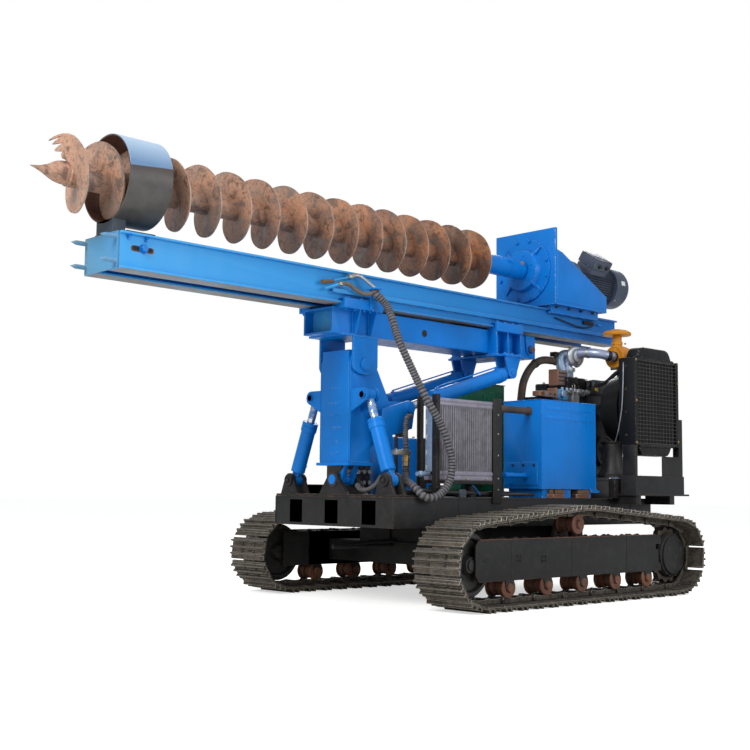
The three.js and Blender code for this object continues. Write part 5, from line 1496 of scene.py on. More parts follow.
def make_rear():
    edged("rear_bracket", "blue", "blue_paint", 3 * MM)
    head = pivot("luff_barrels_swing")
    blue, weld, rust = "blue", "weld", "rust"
    maker = Maker()
    for way in SIDES.values():
        for rib in (-278, -142, -22):
            x = rib * MM + TRACK_SHIFT
            maker.weld([(x - 7 * MM, way * 134 * MM, 1613 * MM), (x - 7 * MM, way * 134 * MM, 1766 * MM)],
                       blue, 3)
            maker.weld([(x + 7 * MM, way * 134 * MM, 1613 * MM), (x + 7 * MM, way * 134 * MM, 1766 * MM)],
                       blue, 3)
        for k in range(4):
            x = (-270 + 80 * k) * MM + TRACK_SHIFT
            maker.bolt((x, way * 200 * MM, 1827 * MM), (0, 0, 1), blue, 18, 8, True)
        for dx in (-78, 0, 78):
            maker.bolt((head.x + dx * MM, way * 242 * MM, 1611 * MM), (0, 0, 1), blue, 20, 9, True)
        pin = in_mm((0, 0), (0, 21), (1.5, 20), (1.5, 0))
        for end, out in ((way * 256 * MM, way), (way * 144 * MM, -way)):
            maker.turned([(out * a, r) for a, r in pin], "y", (head.x, end, head.z), blue, 28)
            maker.weld([(head.x + dx, end - out * 5 * MM, head.z + dz)
                        for dx, dz in arc((0, 0), 25 * MM, 0, 330, 20)], weld
                       if out == way else blue, 3)
    # rusty ends of the pins in the tail lugs
    for way in SIDES.values():
        cap = in_mm((0, 0), (0, 24), (3, 22), (3, 0))
        maker.turned([(way * a, r) for a, r in cap], "y", spot(-452, way * 169, 1680), rust, 28)
        rim = in_mm((-2, 24), (-2, 31), (1.6, 30), (1.6, 24), (-2, 24))
        maker.turned([(way * a, r) for a, r in rim], "y", spot(-452, way * 147, 1680), "iron", 28)
    maker.piece("bracket_welds", "carrier", "blue_paint")


class RIG_OT_carrier(bpy.types.Operator):
    """The luffing carrier under the mast: its tube, ears, ribs and the rear bracket"""
    bl_idname = "rig.carrier"
    bl_label = "Carrier"

    def execute(self, context):
        make_front()
        make_rear()
        edged("hose_bracket", "blue", "blue_paint", 2 * MM)
        return {"FINISHED"}


# ---------------------------------------------------------------- mast and guide ring


def make_beam():
    box, foot = BOX["mast_beam"], BOX["mast_foot"]
    mast, blue = "mast", "blue"
    edged("mast_beam", mast, "blue_paint", 2 * MM)
    edged("mast_foot", "grey_blue", "blue_paint", 2 * MM)
    maker = Maker()
    web = 162 * MM
    face = foot.x1 - 98 * MM
    top, bottom = box.z1, box.z0
    iron, dark, rust = "iron", "dark", "rust"
    for way in SIDES.values():
        out = (0, way, 0)
        # adjusting slot with its bolt near the front end
        x0, x1, z = face - 205 * MM, face - 95 * MM, 1912 * MM
        slot = arc((x0, z), 16 * MM, 90, 270, 8) + arc((x1, z), 16 * MM, -90, 90, 8)
        y0, y1 = sorted((way * (web - 0.5 * MM), way * (web + 0.5 * MM)))
        maker.plate(slot, "y", y0, y1, rust, 0.2 * MM)
        inner = arc((x0 + 4 * MM, z + 2 * MM), 11 * MM, 90, 270, 8)
        inner = inner + arc((x1 - 6 * MM, z + 2 * MM), 11 * MM, -90, 90, 8)
        y0, y1 = sorted((way * (web + 0.2 * MM), way * (web + 0.9 * MM)))
        maker.plate(inner, "y", y0, y1, dark, 0.2 * MM)
        maker.bolt(((x0 + x1) / 2 - 6 * MM, way * (web + 0.5 * MM), z + 4 * MM), out, blue, 42, 17, True)
        for x in (face - 62 * MM, face - 168 * MM):
            maker.bolt((x, way * (web + 14 * MM), top - 12 * MM), (0, 0, -1), blue, 20, 10, True)
            maker.bolt((x, way * (web + 0.2 * MM), top - 32 * MM), out, blue, 16, 7, False)
        # weld seams under the lips
        maker.weld([(box.x0 + 10 * MM, way * (web + 1 * MM), top - 13 * MM),
                    (box.x1 - 10 * MM, way * (web + 1 * MM), top - 13 * MM)], mast, 3, 14)
        maker.weld([(box.x0 + 10 * MM, way * (web + 1 * MM), bottom + 13 * MM),
                    (box.x1 - 10 * MM, way * (web + 1 * MM), bottom + 13 * MM)], mast, 3, 14)
        # a primer strip under each bottom flange, where the paint has rubbed off on the pads
        y0, y1 = sorted(mm(way * 62, way * 180))
        maker.box((box.x0 + 20 * MM, y0, bottom - 0.4 * MM), (box.x1 - 6 * MM, y1, bottom + 0.2 * MM),
                  "primer", 0.1 * MM)
        # two hard lines in the tray
        tray = 1850 * MM + 5 * MM
        start, end = box.x0 + 90 * MM, 1470 * MM + TRACK_SHIFT
        for k, r in (mm(0, 9), (1, 9 * MM)):
            y = way * (web + 10 * MM + 20 * MM * k * 0.75)
            maker.pipe([(start + 20 * MM * k, y, tray + r), (end - 12 * MM, y, tray + r)], r * 0.85, blue, 12)
        for k in range(7):
            x = start + (end - start) * (k + 0.5) / 7
            y0, y1 = sorted((way * (web + 0 * MM), way * (web + 34 * MM)))
            maker.box((x - 14 * MM, y0, tray + 16 * MM), (x + 14 * MM, y1, tray + 20 * MM), blue, 1 * MM)
            maker.bolt((x, way * (web + 17 * MM), tray + 20 * MM), (0, 0, 1), iron, 13, 6, False)
        # small dark plates and a rubbing block near the rear
        x = -1175 * MM + TRACK_SHIFT
        y0, y1 = sorted((way * (web - 1 * MM), way * (web + 15 * MM)))
        maker.box((x, y0, 1925 * MM), (x + 130 * MM, y1, 1950 * MM), "motor", 2 * MM)
        maker.box((x - 90 * MM, y0, 1930 * MM), (x - 40 * MM, y1, 1942 * MM), blue, 2 * MM)
    maker.box((face - 215 * MM, 98 * MM, top + 0.4 * MM), (face - 42 * MM, 205 * MM - 24 * MM, top + 6 * MM),
              "motor", 1.5 * MM)
    maker.piece("mast_fittings", "mast", "blue_paint")


def make_cable():
    """The slack cable and the steel whips on the left of the mast."""
    maker = Maker()
    web = 162 * MM
    y = web + 12 * MM
    x = TRACK_SHIFT
    sag = smooth_line([(x - 700 * MM, y, 1936 * MM), (x - 860 * MM, y + 4 * MM, 1912 * MM),
                       (x - 960 * MM, y + 5 * MM, 1898 * MM), (x - 1060 * MM, y + 4 * MM, 1899 * MM),
                       (x - 1150 * MM, y, 1915 * MM)])
    maker.pipe(sag, 5 * MM, "belt", 8)
    maker.piece("slack_cable", "mast", "hose_rubber")
    whips = Maker()
    braid, rubber_hose, zinc, blue = "braid", "old_hose", "zinc", "sky"
    upper = smooth_line([spot(1186, 262, 1899), spot(1205, 240, 1925), spot(1246, 206, 1966),
                         spot(1276, 202, 1972)], 10)
    whips.pipe(upper, 11 * MM, braid, 14)
    whips.pipe(smooth_line([spot(1276, 202, 1972), spot(1300, 200, 1970), spot(1352, 200, 1950)], 6), 14 * MM,
               zinc, 10)
    whips.turned(in_mm((0, 0), (0, 18), (22, 18), (22, 0)), "x", spot(1332, 201, 1957), zinc, 6)
    whips.pipe(smooth_line([spot(1352, 200, 1950), spot(1410, 199, 1934), spot(1470, 198, 1915)], 6), 7 * MM,
               blue, 10)
    whips.pipe(smooth_line([spot(1470, 198, 1915), spot(1500, 198, 1908), spot(1560, 196, 1900)], 6), 12 * MM,
               "timber", 10)
    lower = smooth_line([spot(1184, 258, 1878), spot(1215, 242, 1862), spot(1262, 234, 1860),
                         spot(1319, 230, 1878), spot(1362, 229, 1900), spot(1410, 226, 1904),
                         spot(1440, 222, 1898)], 10)
    whips.pipe(lower, 13 * MM, rubber_hose, 14)
    whips.turned(in_mm((0, 0), (0, 16), (24, 16), (24, 0)), "x", spot(1428, 222, 1898), zinc, 6)
    whips.pipe(smooth_line([spot(1450, 220, 1894), spot(1490, 212, 1878), spot(1536, 200, 1862)], 6), 9 * MM,
               blue, 10)
    whips.piece("hose_whips", "carrier", "bare_aluminium")


def make_ring():
    box = BOX["guide_ring"]
    radius, wall = 238 * MM, 10 * MM
    z = box.z1 - radius
    maker = Maker()
    x0 = 2640 * MM + TRACK_SHIFT
    x1 = x0 + 262 * MM
    coat, inside = "ring", "rust"
    e = 2 * MM
    maker.turned([(x0 + e, radius), (x1 - e, radius), (x1, radius - e), (x1, radius - wall + e),
                  (x1 - e, radius - wall), (x0 + e, radius - wall), (x0, radius - wall + e), (x0, radius - e),
                  (x0 + e, radius)], "x", (0, 0, z), coat, 128)
    slot = maker._slot(inside)
    axis = Vector((0, 0, z))
    for face in maker.bm.faces:
        middle = face.calc_center_median() - axis
        if hypot(middle.y, middle.z) < radius - wall + 1.2 * MM:
            face.material_index = slot
    maker.weld([(x, 0.0, box.z1 - 0.6 * MM) for x in (x0 + 6 * MM, x1 - 6 * MM)], coat, 2.2)
    maker.piece("guide_collar", "mast", "black_paint", ("guide_ring",), 30)
    edged("ring_stand", "stand", "black_paint", 2 * MM)


class RIG_OT_mast(bpy.types.Operator):
    """The mast with its foot, hydraulic pipes, guard plates and the guide ring"""
    bl_idname = "rig.mast"
    bl_label = "Mast"

    def execute(self, context):
        make_beam()
        make_cable()
        make_ring()
        return {"FINISHED"}


# ---------------------------------------------------------------- rotary head


def make_carriage():
    edged("head_carriage", "blue", "blue_paint", 3.5 * MM)
    edged("output_housing", "blue", "blue_paint", 2.5 * MM)
    box, house = BOX["head_carriage"], BOX["output_housing"]
    axis = pivot("auger_spin").z
    blue, weld, iron = "blue", "weld", "iron"
    face = house.x0 + 16 * MM
    maker = Maker()
    for k in range(12):
        angle = pi * (k + 0.5) / 6
        centre = (face, 218 * MM * cos(angle), axis + 218 * MM * sin(angle))
        maker.bolt(centre, (1, 0, 0), blue, 26, 13, True)
    maker.weld([(face + 1 * MM, 160 * MM * cos(a), axis + 160 * MM * sin(a))
                for a in [2 * pi * k / 40 for k in range(41)]], blue, 5)
    # smooth machined face of the flange
    maker.turned(past(face, (0.3, 100), (0.3, 231), (1.8, 230), (1.8, 100), (0.3, 100)), "x", (0, 0, axis),
                 blue, 64)
    nose = house.x1 - 3 * MM
    maker.turned(past(nose, (-2, 60), (-2, 140), (2.4, 138), (2.4, 60), (-2, 60)), "x", (0, 0, axis), blue,
                 64)
    for k in range(6):
        angle = pi * (k + 0.25) / 3
        maker.bolt((nose + 2 * MM, 105 * MM * cos(angle), axis + 105 * MM * sin(angle)), (1, 0, 0), blue, 18,
                   7, False)
    for way in SIDES.values():
        y = way * (box.y1 - 0.5 * MM)
        maker.weld([(box.x1 - 27 * MM, y, 2042 * MM), (box.x1 - 27 * MM, y, 2406 * MM)], weld, 3)
        maker.weld([(box.x0 + 6 * MM, y, 2038 * MM), (box.x1 - 4 * MM, y, 2038 * MM)], blue, 3.4)
        for k in range(4):
            x = box.x0 + (90 + 145 * k) * MM
            maker.bolt((x, way * 215 * MM, 2013 * MM), (0, 0, -1), iron, 24, 12, True)
    maker.piece("carriage_bolts", "head", "blue_paint")


def make_gearbox():
    box = BOX["reducer"]
    z = pivot("auger_spin").z
    back = box.x1
    green = "green"
    maker = Maker()
    e = 3 * MM
    maker.turned([*past(box.x0, (0, 0), (0, 118), (24, 120), (30, 128), (54, 160), (60, 165)),
                  *past(back, (-213, 165), (-210, 168), (-196, 184), (-190, 190), (-168, 190), (-166, 186),
                        (-150, 186), (-148, 190), (-108, 190), (-106, 186), (-92, 186), (-90, 190),
                        (-50, 190), (-50, 202), (-47, 205)), (back - e, 205 * MM), (back, 202 * MM),
                  (back, 0)], "x", (0, 0, z), green, 72)
    for k in range(20):
        angle = 2 * pi * k / 20
        maker.bolt((back - 50 * MM, 198 * MM * cos(angle), z + 198 * MM * sin(angle)), (-1, 0, 0), "zinc",
                   13, 7, False)
    for k in range(12):
        angle = 2 * pi * k / 12
        maker.box((back - 208 * MM, -5 * MM, 164 * MM), (back - 62 * MM, 5 * MM, 189.5 * MM), green, 2 * MM,
                  Matrix.Translation((0, 0, z)) @ Matrix.Rotation(angle, 4, "X"))
    maker.bolt((back - 130 * MM, 0, z + 186 * MM), (0, 0, 1), "brass", 24, 14, True)
    maker.piece("gearbox", "head", "green_paint", ("reducer",))


def make_motor():
    box = BOX["drive_motor"]
    z = pivot("auger_spin").z
    paint = "drive"
    rear, front = box.x0, box.x1
    maker = Maker()
    body, cover = 128 * MM, 156 * MM
    maker.turned([(rear + 171 * MM, 0), (rear + 171 * MM, 104 * MM),
                  *past(front, (-90, 104), (-88, 126), (-60, 128), (-60, 148), (-57, 150), (-33, 150),
                        (-30, 147), (0, 115), (0, 0))], "x", (0, 0, z), paint, 64)
    for k in range(44):
        angle = 2 * pi * (k + 0.5) / 44
        maker.box((rear + 168 * MM, -1.6 * MM, 100 * MM),
                  (front - 84 * MM, 1.6 * MM, body - (2 * MM if k % 2 else 0)), paint, 0.8 * MM,
                  Matrix.Translation((0, 0, z)) @ Matrix.Rotation(angle, 4, "X"))
    maker.turned([(rear + 12 * MM, 0), (rear + 12 * MM, cover - 30 * MM), (rear + 2 * MM, cover - 28 * MM),
                  (rear, cover - 24 * MM), (rear + 2 * MM, cover - 18 * MM), (rear + 12 * MM, cover - 8 * MM),
                  (rear + 26 * MM, cover - 1 * MM), (rear + 32 * MM, cover), (rear + 166 * MM, cover),
                  (rear + 170 * MM, cover - 2 * MM), (rear + 170 * MM, 100 * MM), (rear + 172 * MM, 0)], "x",
                 (0, 0, z), paint, 72)
    for ring in range(5):
        r = (34 + ring * 20) * MM
        maker.turned([(rear + 2 * MM, r), (rear + 2 * MM, r + 4 * MM), (rear + 13 * MM, r + 4 * MM),
                      (rear + 13 * MM, r), (rear + 2 * MM, r)], "x", (0, 0, z), paint, 48)
    maker.turned(past(rear, (1, 0), (1, 30), (13, 32), (13, 0)), "x", (0, 0, z), paint, 40)
    for k in range(4):
        angle = pi * (k + 0.5) / 2
        maker.bolt((rear + 150 * MM, cover * cos(angle), z + cover * sin(angle)),
                   (0, cos(angle), sin(angle)), "zinc", 12, 5, True)
        maker.bolt((front - 60 * MM, 139 * MM * cos(angle + 0.4), z + 139 * MM * sin(angle + 0.4)),
                   (-1, 0, 0), "zinc", 18, 10, True)
    lean = Matrix.Translation((0, 0, z)) @ Matrix.Rotation(-0.6, 4, "X")
    shift = TRACK_SHIFT
    maker.box((-1384 * MM + shift, -78 * MM, 108 * MM), (-1196 * MM + shift, 78 * MM, 150 * MM), paint,
              4 * MM, lean)
    maker.box((-1390 * MM + shift, -84.5 * MM, 152 * MM), (-1190 * MM + shift, 84.5 * MM, 228 * MM), paint,
              7 * MM, lean)
    maker.box((-1388 * MM + shift, -82 * MM, 228 * MM), (-1192 * MM + shift, 82 * MM, 233 * MM), paint,
              2 * MM, lean)
    for dx in (-1378, -1202):
        for y in (-72, 72):
            maker.bolt(lean @ Vector((dx * MM + shift, y * MM, 226 * MM)), lean.to_3x3() @ Vector((0, 0, 1)),
                       "zinc", 12, 5, True)
    for dx in (-1340, -1250):
        gland = lean @ Matrix.Translation((dx * MM + shift, 84 * MM, 186 * MM))
        gland = gland @ Matrix.Rotation(-pi / 2, 4, "X")
        maker.turned(in_mm((-6, 0), (-6, 17), (3, 17), (8, 14), (20, 12), (20, 0)), "z",
                     (0, 0, 0), "belt", 6, gland)
    # blank plates: one riveted on the body, one on the fan cover
    for angle, x, finish in ((0.15, rear + 92 * MM, "white"), (0.95, rear + 96 * MM, "sheet")):
        place = Matrix.Translation((x, 0, z)) @ Matrix.Rotation(angle - pi / 2, 4, "X")
        maker.box((-24 * MM, -17 * MM, cover - 3 * MM), (24 * MM, 17 * MM, cover + 0.2 * MM), finish,
                  0.6 * MM, place)
    maker.piece("drive_motor_body", "head", "black_paint", ("drive_motor",))


class RIG_OT_head(bpy.types.Operator):
    """The rotary head: carriage, output housing, gearbox and drive motor"""
    bl_idname = "rig.head"
    bl_label = "Rotary head"

    def execute(self, context):
        make_carriage()
        make_gearbox()
        make_motor()
        return {"FINISHED"}


# ---------------------------------------------------------------- auger

FLIGHT_PITCH = 206 * MM
BARE_END = 80 * MM         # screw left off behind the first blade


def make_flight(maker, x0, x1, radius, core, z):
    """Screw blade: thin at its worn rim, with a toothed front edge."""
    per_turn, columns, teeth = 60, 14, 3
    steps = round((x1 - x0) / FLIGHT_PITCH * per_turn)
    first = round(BARE_END / FLIGHT_PITCH * per_turn)
    verts, faces = [], []
    wear = random.Random(sizes().seed)
    phase = [wear.uniform(0, 6.3) for _ in range(4)]

    def rim(turn):
        ripple = 1.6 * sin(3.1 * turn + phase[0]) + 1.2 * sin(7.3 * turn + phase[1])
        return radius - 3 * MM + ripple * 0.9 * MM

    def tooth(share):
        """How far the front edge reaches at a share of the blade's width, in steps."""
        local = (share * teeth) % 1.0
        return (1 - local) * 7.5 * min(1, share * 2.2)

    for side in (1, -1):
        for i in range(first, steps + 1):
            for c in range(columns + 1):
                share = c / columns
                ahead = i
                if i == steps:
                    ahead = i + tooth(share)
                elif i > steps - 8:
                    ahead = i + tooth(share) * (1 - (steps - i) / 8)
                angle = 2 * pi * ahead / per_turn
                reach = core + (rim(angle) - core) * share
                thick = (8 - 3.4 * share) * MM
                wave = 3.5 * MM * share * noise.noise(Vector((ahead * 0.09, share * 1.5, 3.7)))
                along = x0 + FLIGHT_PITCH * ahead / per_turn + wave + side * thick
                verts.append((along, reach * cos(angle), z + reach * sin(angle)))
    row = columns + 1
    last = steps - first
    layer = row * (last + 1)
    for i in range(last):
        for c in range(columns):
            a = i * row + c
            faces.append((a, a + 1, a + row + 1, a + row))
            b = a + layer
            faces.append((b, b + row, b + row + 1, b + 1))
        for c in (0, columns):
            a = i * row + c
            faces.append((a, a + row, a + row + layer, a + layer))
    for i in (0, last):
        for c in range(columns):
            a = i * row + c
            faces.append((a, a + 1, a + 1 + layer, a + layer))
    part = bmesh.new()
    edge = part.faces.layers.float.new("edge")
    made = [part.verts.new(v) for v in verts]
    for face in faces:
        part.faces.new([made[i] for i in face])
    bmesh.ops.recalc_face_normals(part, faces=part.faces)
    part.faces.ensure_lookup_table()
    for face in part.faces:
        spans = [hypot(v.co.y, v.co.z - z) for v in face.verts]
        if min(spans) > radius - 9 * MM and face.calc_area() < 4e-4:
            face[edge] = 0.55
    maker._merge(part, "auger")


def make_point(maker, front, z):
    """Forged point: a bar hammered out to a thin tongue that hangs below the axis and rises at its tip."""
    sections = ((-20, -62, 62, 62), (8, -66, 62, 58), (30, -66, 58, 50), (54, -62, 53, 40), (76, -57, 43, 30),
                (100, -46, 28, 21), (122, -33, 19, 14), (144, -22, 12, 10), (164, -13, 8, 7), (184, -6, 5, 4),
                (200, -1, 3, 2))
    part = bmesh.new()
    part.faces.layers.float.new("edge")
    sides, rings = 20, []
    for past, low, high, half in sections:
        ring = []
        for k in range(sides):
            angle = 2 * pi * k / sides
            flat = copysign(abs(cos(angle)) ** 1.5, cos(angle))
            dent = 1 + 0.03 * noise.noise(Vector((past * 0.06, k * 0.7, 2.0)))
            ring.append(part.verts.new((front + past * MM, half * flat * dent * MM,
                                        z + ((low + high) / 2 + (high - low) / 2 * sin(angle) * dent) * MM)))
        rings.append(ring)
    for first, second in zip(rings, rings[1:]):
        for k in range(sides):
            part.faces.new((first[k], first[(k + 1) % sides], second[(k + 1) % sides], second[k]))
    part.faces.new(rings[0])
    part.faces.new(rings[-1])
    bmesh.ops.recalc_face_normals(part, faces=part.faces)
    maker._merge(part, "auger")


class RIG_OT_auger(bpy.types.Operator):
    """The long auger with its worn flight, its serrated leading edge, its point and its drive shaft"""
    bl_idname = "rig.auger"
    bl_label = "Auger"

    def execute(self, context):
        box = BOX["auger"]
        z = pivot("auger_spin").z
        tube, radius = 70 * MM, 200 * MM
        x0, x1 = box.x0 + 107 * MM, box.x1 - 173 * MM
        rust = "auger"
        maker = Maker()
        front = box.x1 - 200 * MM
        socket = box.x0 + 160 * MM
        maker.turned([(box.x0, 0), (box.x0, tube), (socket, tube), (socket, 0)], "x", (0, 0, z), "blue", 48)
        maker.turned([(socket, 0), (socket, tube), (front - 4 * MM, tube), (front, tube - 4 * MM),
                      (front + 2 * MM, 0)], "x", (0, 0, z), rust, 48)
        make_flight(maker, x0, x1, radius, tube - 4 * MM, z)
        turns = (x1 - x0) / FLIGHT_PITCH
        seam = []
        for k in range(round(BARE_END / FLIGHT_PITCH * 40), int(turns * 40)):
            angle = 2 * pi * k / 40
            seam.append((x0 + FLIGHT_PITCH * k / 40 - 9 * MM, (tube + 1 * MM) * cos(angle),
                         z + (tube + 1 * MM) * sin(angle)))
        maker.weld(seam, rust, 4.5, 9)
        # butt welds where each blade segment meets the next
        for k in range(1, int(turns)):
            angle = 2 * pi * (k + 0.13)
            x = x0 + FLIGHT_PITCH * (k + 0.13) - 7.5 * MM
            maker.weld([(x, r * cos(angle), z + r * sin(angle)) for r in mm(76, 132, 190)], rust, 3, 8)
        make_point(maker, front, z)
        maker.piece("auger_flight", "auger", "rusty_steel", ("auger",), 40)

        shaft = Maker()
        drive = BOX["drive_shaft"]
        blue = "blue"
        nose = drive.x1 - 232 * MM
        shaft.turned([(drive.x0, 0), (drive.x0, 58 * MM), (nose, 58 * MM), (nose, 66 * MM),
                      (nose + 4 * MM, tube), (drive.x1 - 66 * MM, tube),
                      (drive.x1 - 66 * MM, tube - 1.5 * MM), (drive.x1 - 62 * MM, tube - 1.5 * MM),
                      (drive.x1 - 62 * MM, tube), (drive.x1 - 3 * MM, tube), (drive.x1, tube - 3 * MM),
                      (drive.x1, 0)], "x", (0, 0, z), blue, 56)
        for angle in (0.5, 0.5 + pi):
            out = Vector((0, cos(angle), sin(angle)))
            place = Vector((nose + 46 * MM, 0, z)) + out * (tube - 2 * MM)
            shaft.bolt(place, out, "zinc", 28, 14, True)
            place.x = drive.x1 - 34 * MM
            shaft.bolt(place, out, blue, 28, 14, True)
        shaft.piece("output_shaft", "auger", "blue_paint", ("drive_shaft",))
        return {"FINISHED"}


# ---------------------------------------------------------------- power pack


class RIG_OT_cooler(bpy.types.Operator):
    """The oil cooler in its angle-iron frame"""
    bl_idname = "rig.cooler"
    bl_label = "Oil cooler"

    def execute(self, context):
        fins, sheet, header = "fins", "sheet", "header"
        maker = Maker()
        x0, x1, y0, y1, z0, z1 = 421, 906, 420, 540, 744, 1239
        slab(maker, (x0 + 6, x1 - 6), (y0 + 10, y1 - 9), (z0 + 50, z1 - 40), "core", 0.5)
        loose = random.Random(sizes().seed)
        pitch = 19.6
        tubes = round((x1 - x0 - 16) / pitch)
        for k in range(tubes + 1):
            x = x0 + 8 + k * (x1 - x0 - 16) / tubes
            slab(maker, (x - 2.4, x + 2.4), (y0 + 2, y1 - 1), (z0 + 54, z1 - 44), fins, 1)
            if k == tubes:
                break
            for j in range(1, 4):
                dx = j * pitch / 4 + loose.uniform(-0.7, 0.7)
                deep = loose.uniform(2.5, 5.5)
                slab(maker, (x + dx - 0.9, x + dx + 0.9), (y0 + deep, y1 - deep), (z0 + 54, z1 - 44), fins, 0)
        for low, high in ((z1 - 46, z1), (z0, z0 + 56)):
            slab(maker, (x0, x1), (y0 - 8, y1 + 1), (low, high), header, 5)
            middle = (low + high) / 2
            slab(maker, (x0 + 1, x1 - 1), (y1 - 2, y1 + 6), (middle + 3, high - 3), header, 3.5)
            slab(maker, (x0 + 1, x1 - 1), (y1 - 2, y1 + 4), (low + 4, middle - 5), header, 3.5)
        for x in (x1 - 5, x0):
            slab(maker, (x, x + 5), (y0 + 4, y1 - 8), (z0 + 30, z1 - 20), sheet, 1)
        for k in range(5):
            z = z0 + 60 + 92 * k
            maker.weld([spot(x1 + 0.4, y0 + 14, z), spot(x1 + 0.4, y0 + 15, z + 30)], "spatter", 5, 10)
        for x in (x0 + 60, x0 + 240, x0 + 420):
            maker.bolt(spot(x, y1 + 4, z0 + 12), (0, 1, 0), "zinc", 14, 5, True)
        maker.piece("cooler_core", "chassis", "bare_aluminium", ("oil_cooler",))

        edged("cooler_frame", "black", "black_paint", 1.5 * MM)
        maker = Maker()
        for z in (690, 760, 905, 1040, 1160):
            maker.bolt(spot(372, 547, z), (0, 1, 0), "zinc", 11, 3, False)
        for z in (880, 1000, 1100, 1180):
            maker.bolt(spot(912.5, 512, z), (1, 0, 0), "iron", 15, 6, False)
        for z in (1218, 700):
            maker.bolt(spot(930, 546, z), (0, 1, 0), "iron", 18, 8, True)
        maker.piece("cooler_bolts", "chassis", "black_paint")
        return {"FINISHED"}


class RIG_OT_tank(bpy.types.Operator):
    """The hydraulic tank, its access plate, stub pipe and return pipe"""
    bl_idname = "rig.tank"
    bl_label = "Hydraulic tank"

    def execute(self, context):
        blue, rust, weld = "tank", "rust", "weld"
        edged("hydraulic_tank", blue, "blue_paint", 5 * MM)
        x0, x1, y0, y1, z0, z1 = -672, -76, 214, 540, 700, 1290
        maker = Maker()
        # dents pressed along the side as stiffeners
        for z, out in ((1228, 3.4), (1166, 5.0)):
            outline = [(y1 * MM - 4 * MM, (z - 17) * MM), mm(y1, z - 16), (y1 * MM + out * MM, (z - 3) * MM),
                       (y1 * MM + out * MM, (z + 4) * MM), mm(y1, z + 16), (y1 * MM - 4 * MM, (z + 17) * MM)]
            maker.plate(outline, "x", spot(x0 + 34, 0, 0).x, spot(x1 - 40, 0, 0).x, blue, 1.5 * MM)
        # seams down the corners and round the lid
        for x in (x0 + 1, x1 - 1):
            maker.weld([spot(x, y1 - 1, z0 + 3), spot(x, y1 - 1, z1 - 4)], blue, 3, 9)
        maker.weld([spot(x0, y1, z1 - 3), spot(x1 + 1, y1, z1 - 3), spot(x1 + 1, y0, z1 - 3)], blue, 2.6, 9)
        # access plate low on the front
        slab(maker, (x1 - 1, x1 + 6), (230, 505), (724, 876), blue, 2)
        maker.weld([spot(x1 + 3, 507, 727), spot(x1 + 3, 507, 874), spot(x1 + 3, 380, 877)], weld, 3.2, 8)
        for y in (300, 390, 480):
            maker.bolt(spot(x1 + 6, y, 856), (1, 0, 0), "iron", 15, 7, True)
        for y in (290, 400, 500):
            maker.bolt(spot(x1 + 6, y, 740), (1, 0, 0), blue, 15, 7, True)
        maker.turned(in_mm((0, 0), (0, 27), (9, 27), (12, 20), (12, 0)), "x", spot(x1 + 5, 411, 788), blue,
                     28)
        maker.turned(in_mm((0, 0), (0, 20), (14, 20), (15, 17.4), (15, 0)), "x", spot(x1 + 218, 411, 788),
                     blue, 28)
        # filler neck and breather on the lid
        cap = in_mm((0, 0), (0, 44), (16, 44), (18, 38), (20, 40), (36, 40), (40, 34), (40, 0))
        maker.turned(cap, "z", spot(-560, 300, z1 - 1), "iron", 36)
        maker.bolt(spot(-180, 410, z1), (0, 0, 1), blue, 20, 9, True)
        # gusset foot at the rear corner and timber packers
        outline = [spot(x0 - 46, 0, z0 - 22), spot(x0 + 60, 0, z0 - 22), spot(x0 + 60, 0, z0 + 3),
                   spot(x0 + 2, 0, z0 + 40), spot(x0 - 4, 0, z0 + 40), spot(x0 - 8, 0, z0 + 4),
                   spot(x0 - 46, 0, z0 - 10)]
        maker.plate([(p.x, p.z) for p in outline], "y", spot(0, 500, 0).y, spot(0, 538, 0).y, blue, 2 * MM)
        for x, wide in ((-610, 150), (-330, 120), (-210, 60)):
            slab(maker, (x, x + wide), (420, 531), (642, 668), rust, 3)
            slab(maker, (x + 6, x + wide - 12), (430, 536), (669, 697), "timber", 3)
        maker.piece("tank_fittings", "chassis", "blue_paint")

        pipe = Maker()
        box = BOX["return_pipe"]
        pipe.turned([*past(box.x0, (0.2, 0), (0.2, 30), (9, 30), (11, 23)),
                     *past(box.x1, (-60, 23), (-58, 26), (-26, 26), (-24, 23), (0, 23), (0, 0))], "x",
                    (0, box.y, box.z), "pipe", 36)
        pipe.weld([(box.x0 + 10 * MM, box.y + 25 * MM * cos(a), box.z + 25 * MM * sin(a))
                   for a in [2 * pi * k / 24 for k in range(25)]], "pipe", 3.4)
        pipe.piece("return_line", "chassis", "rusty_steel", ("return_pipe",), 40)
        return {"FINISHED"}


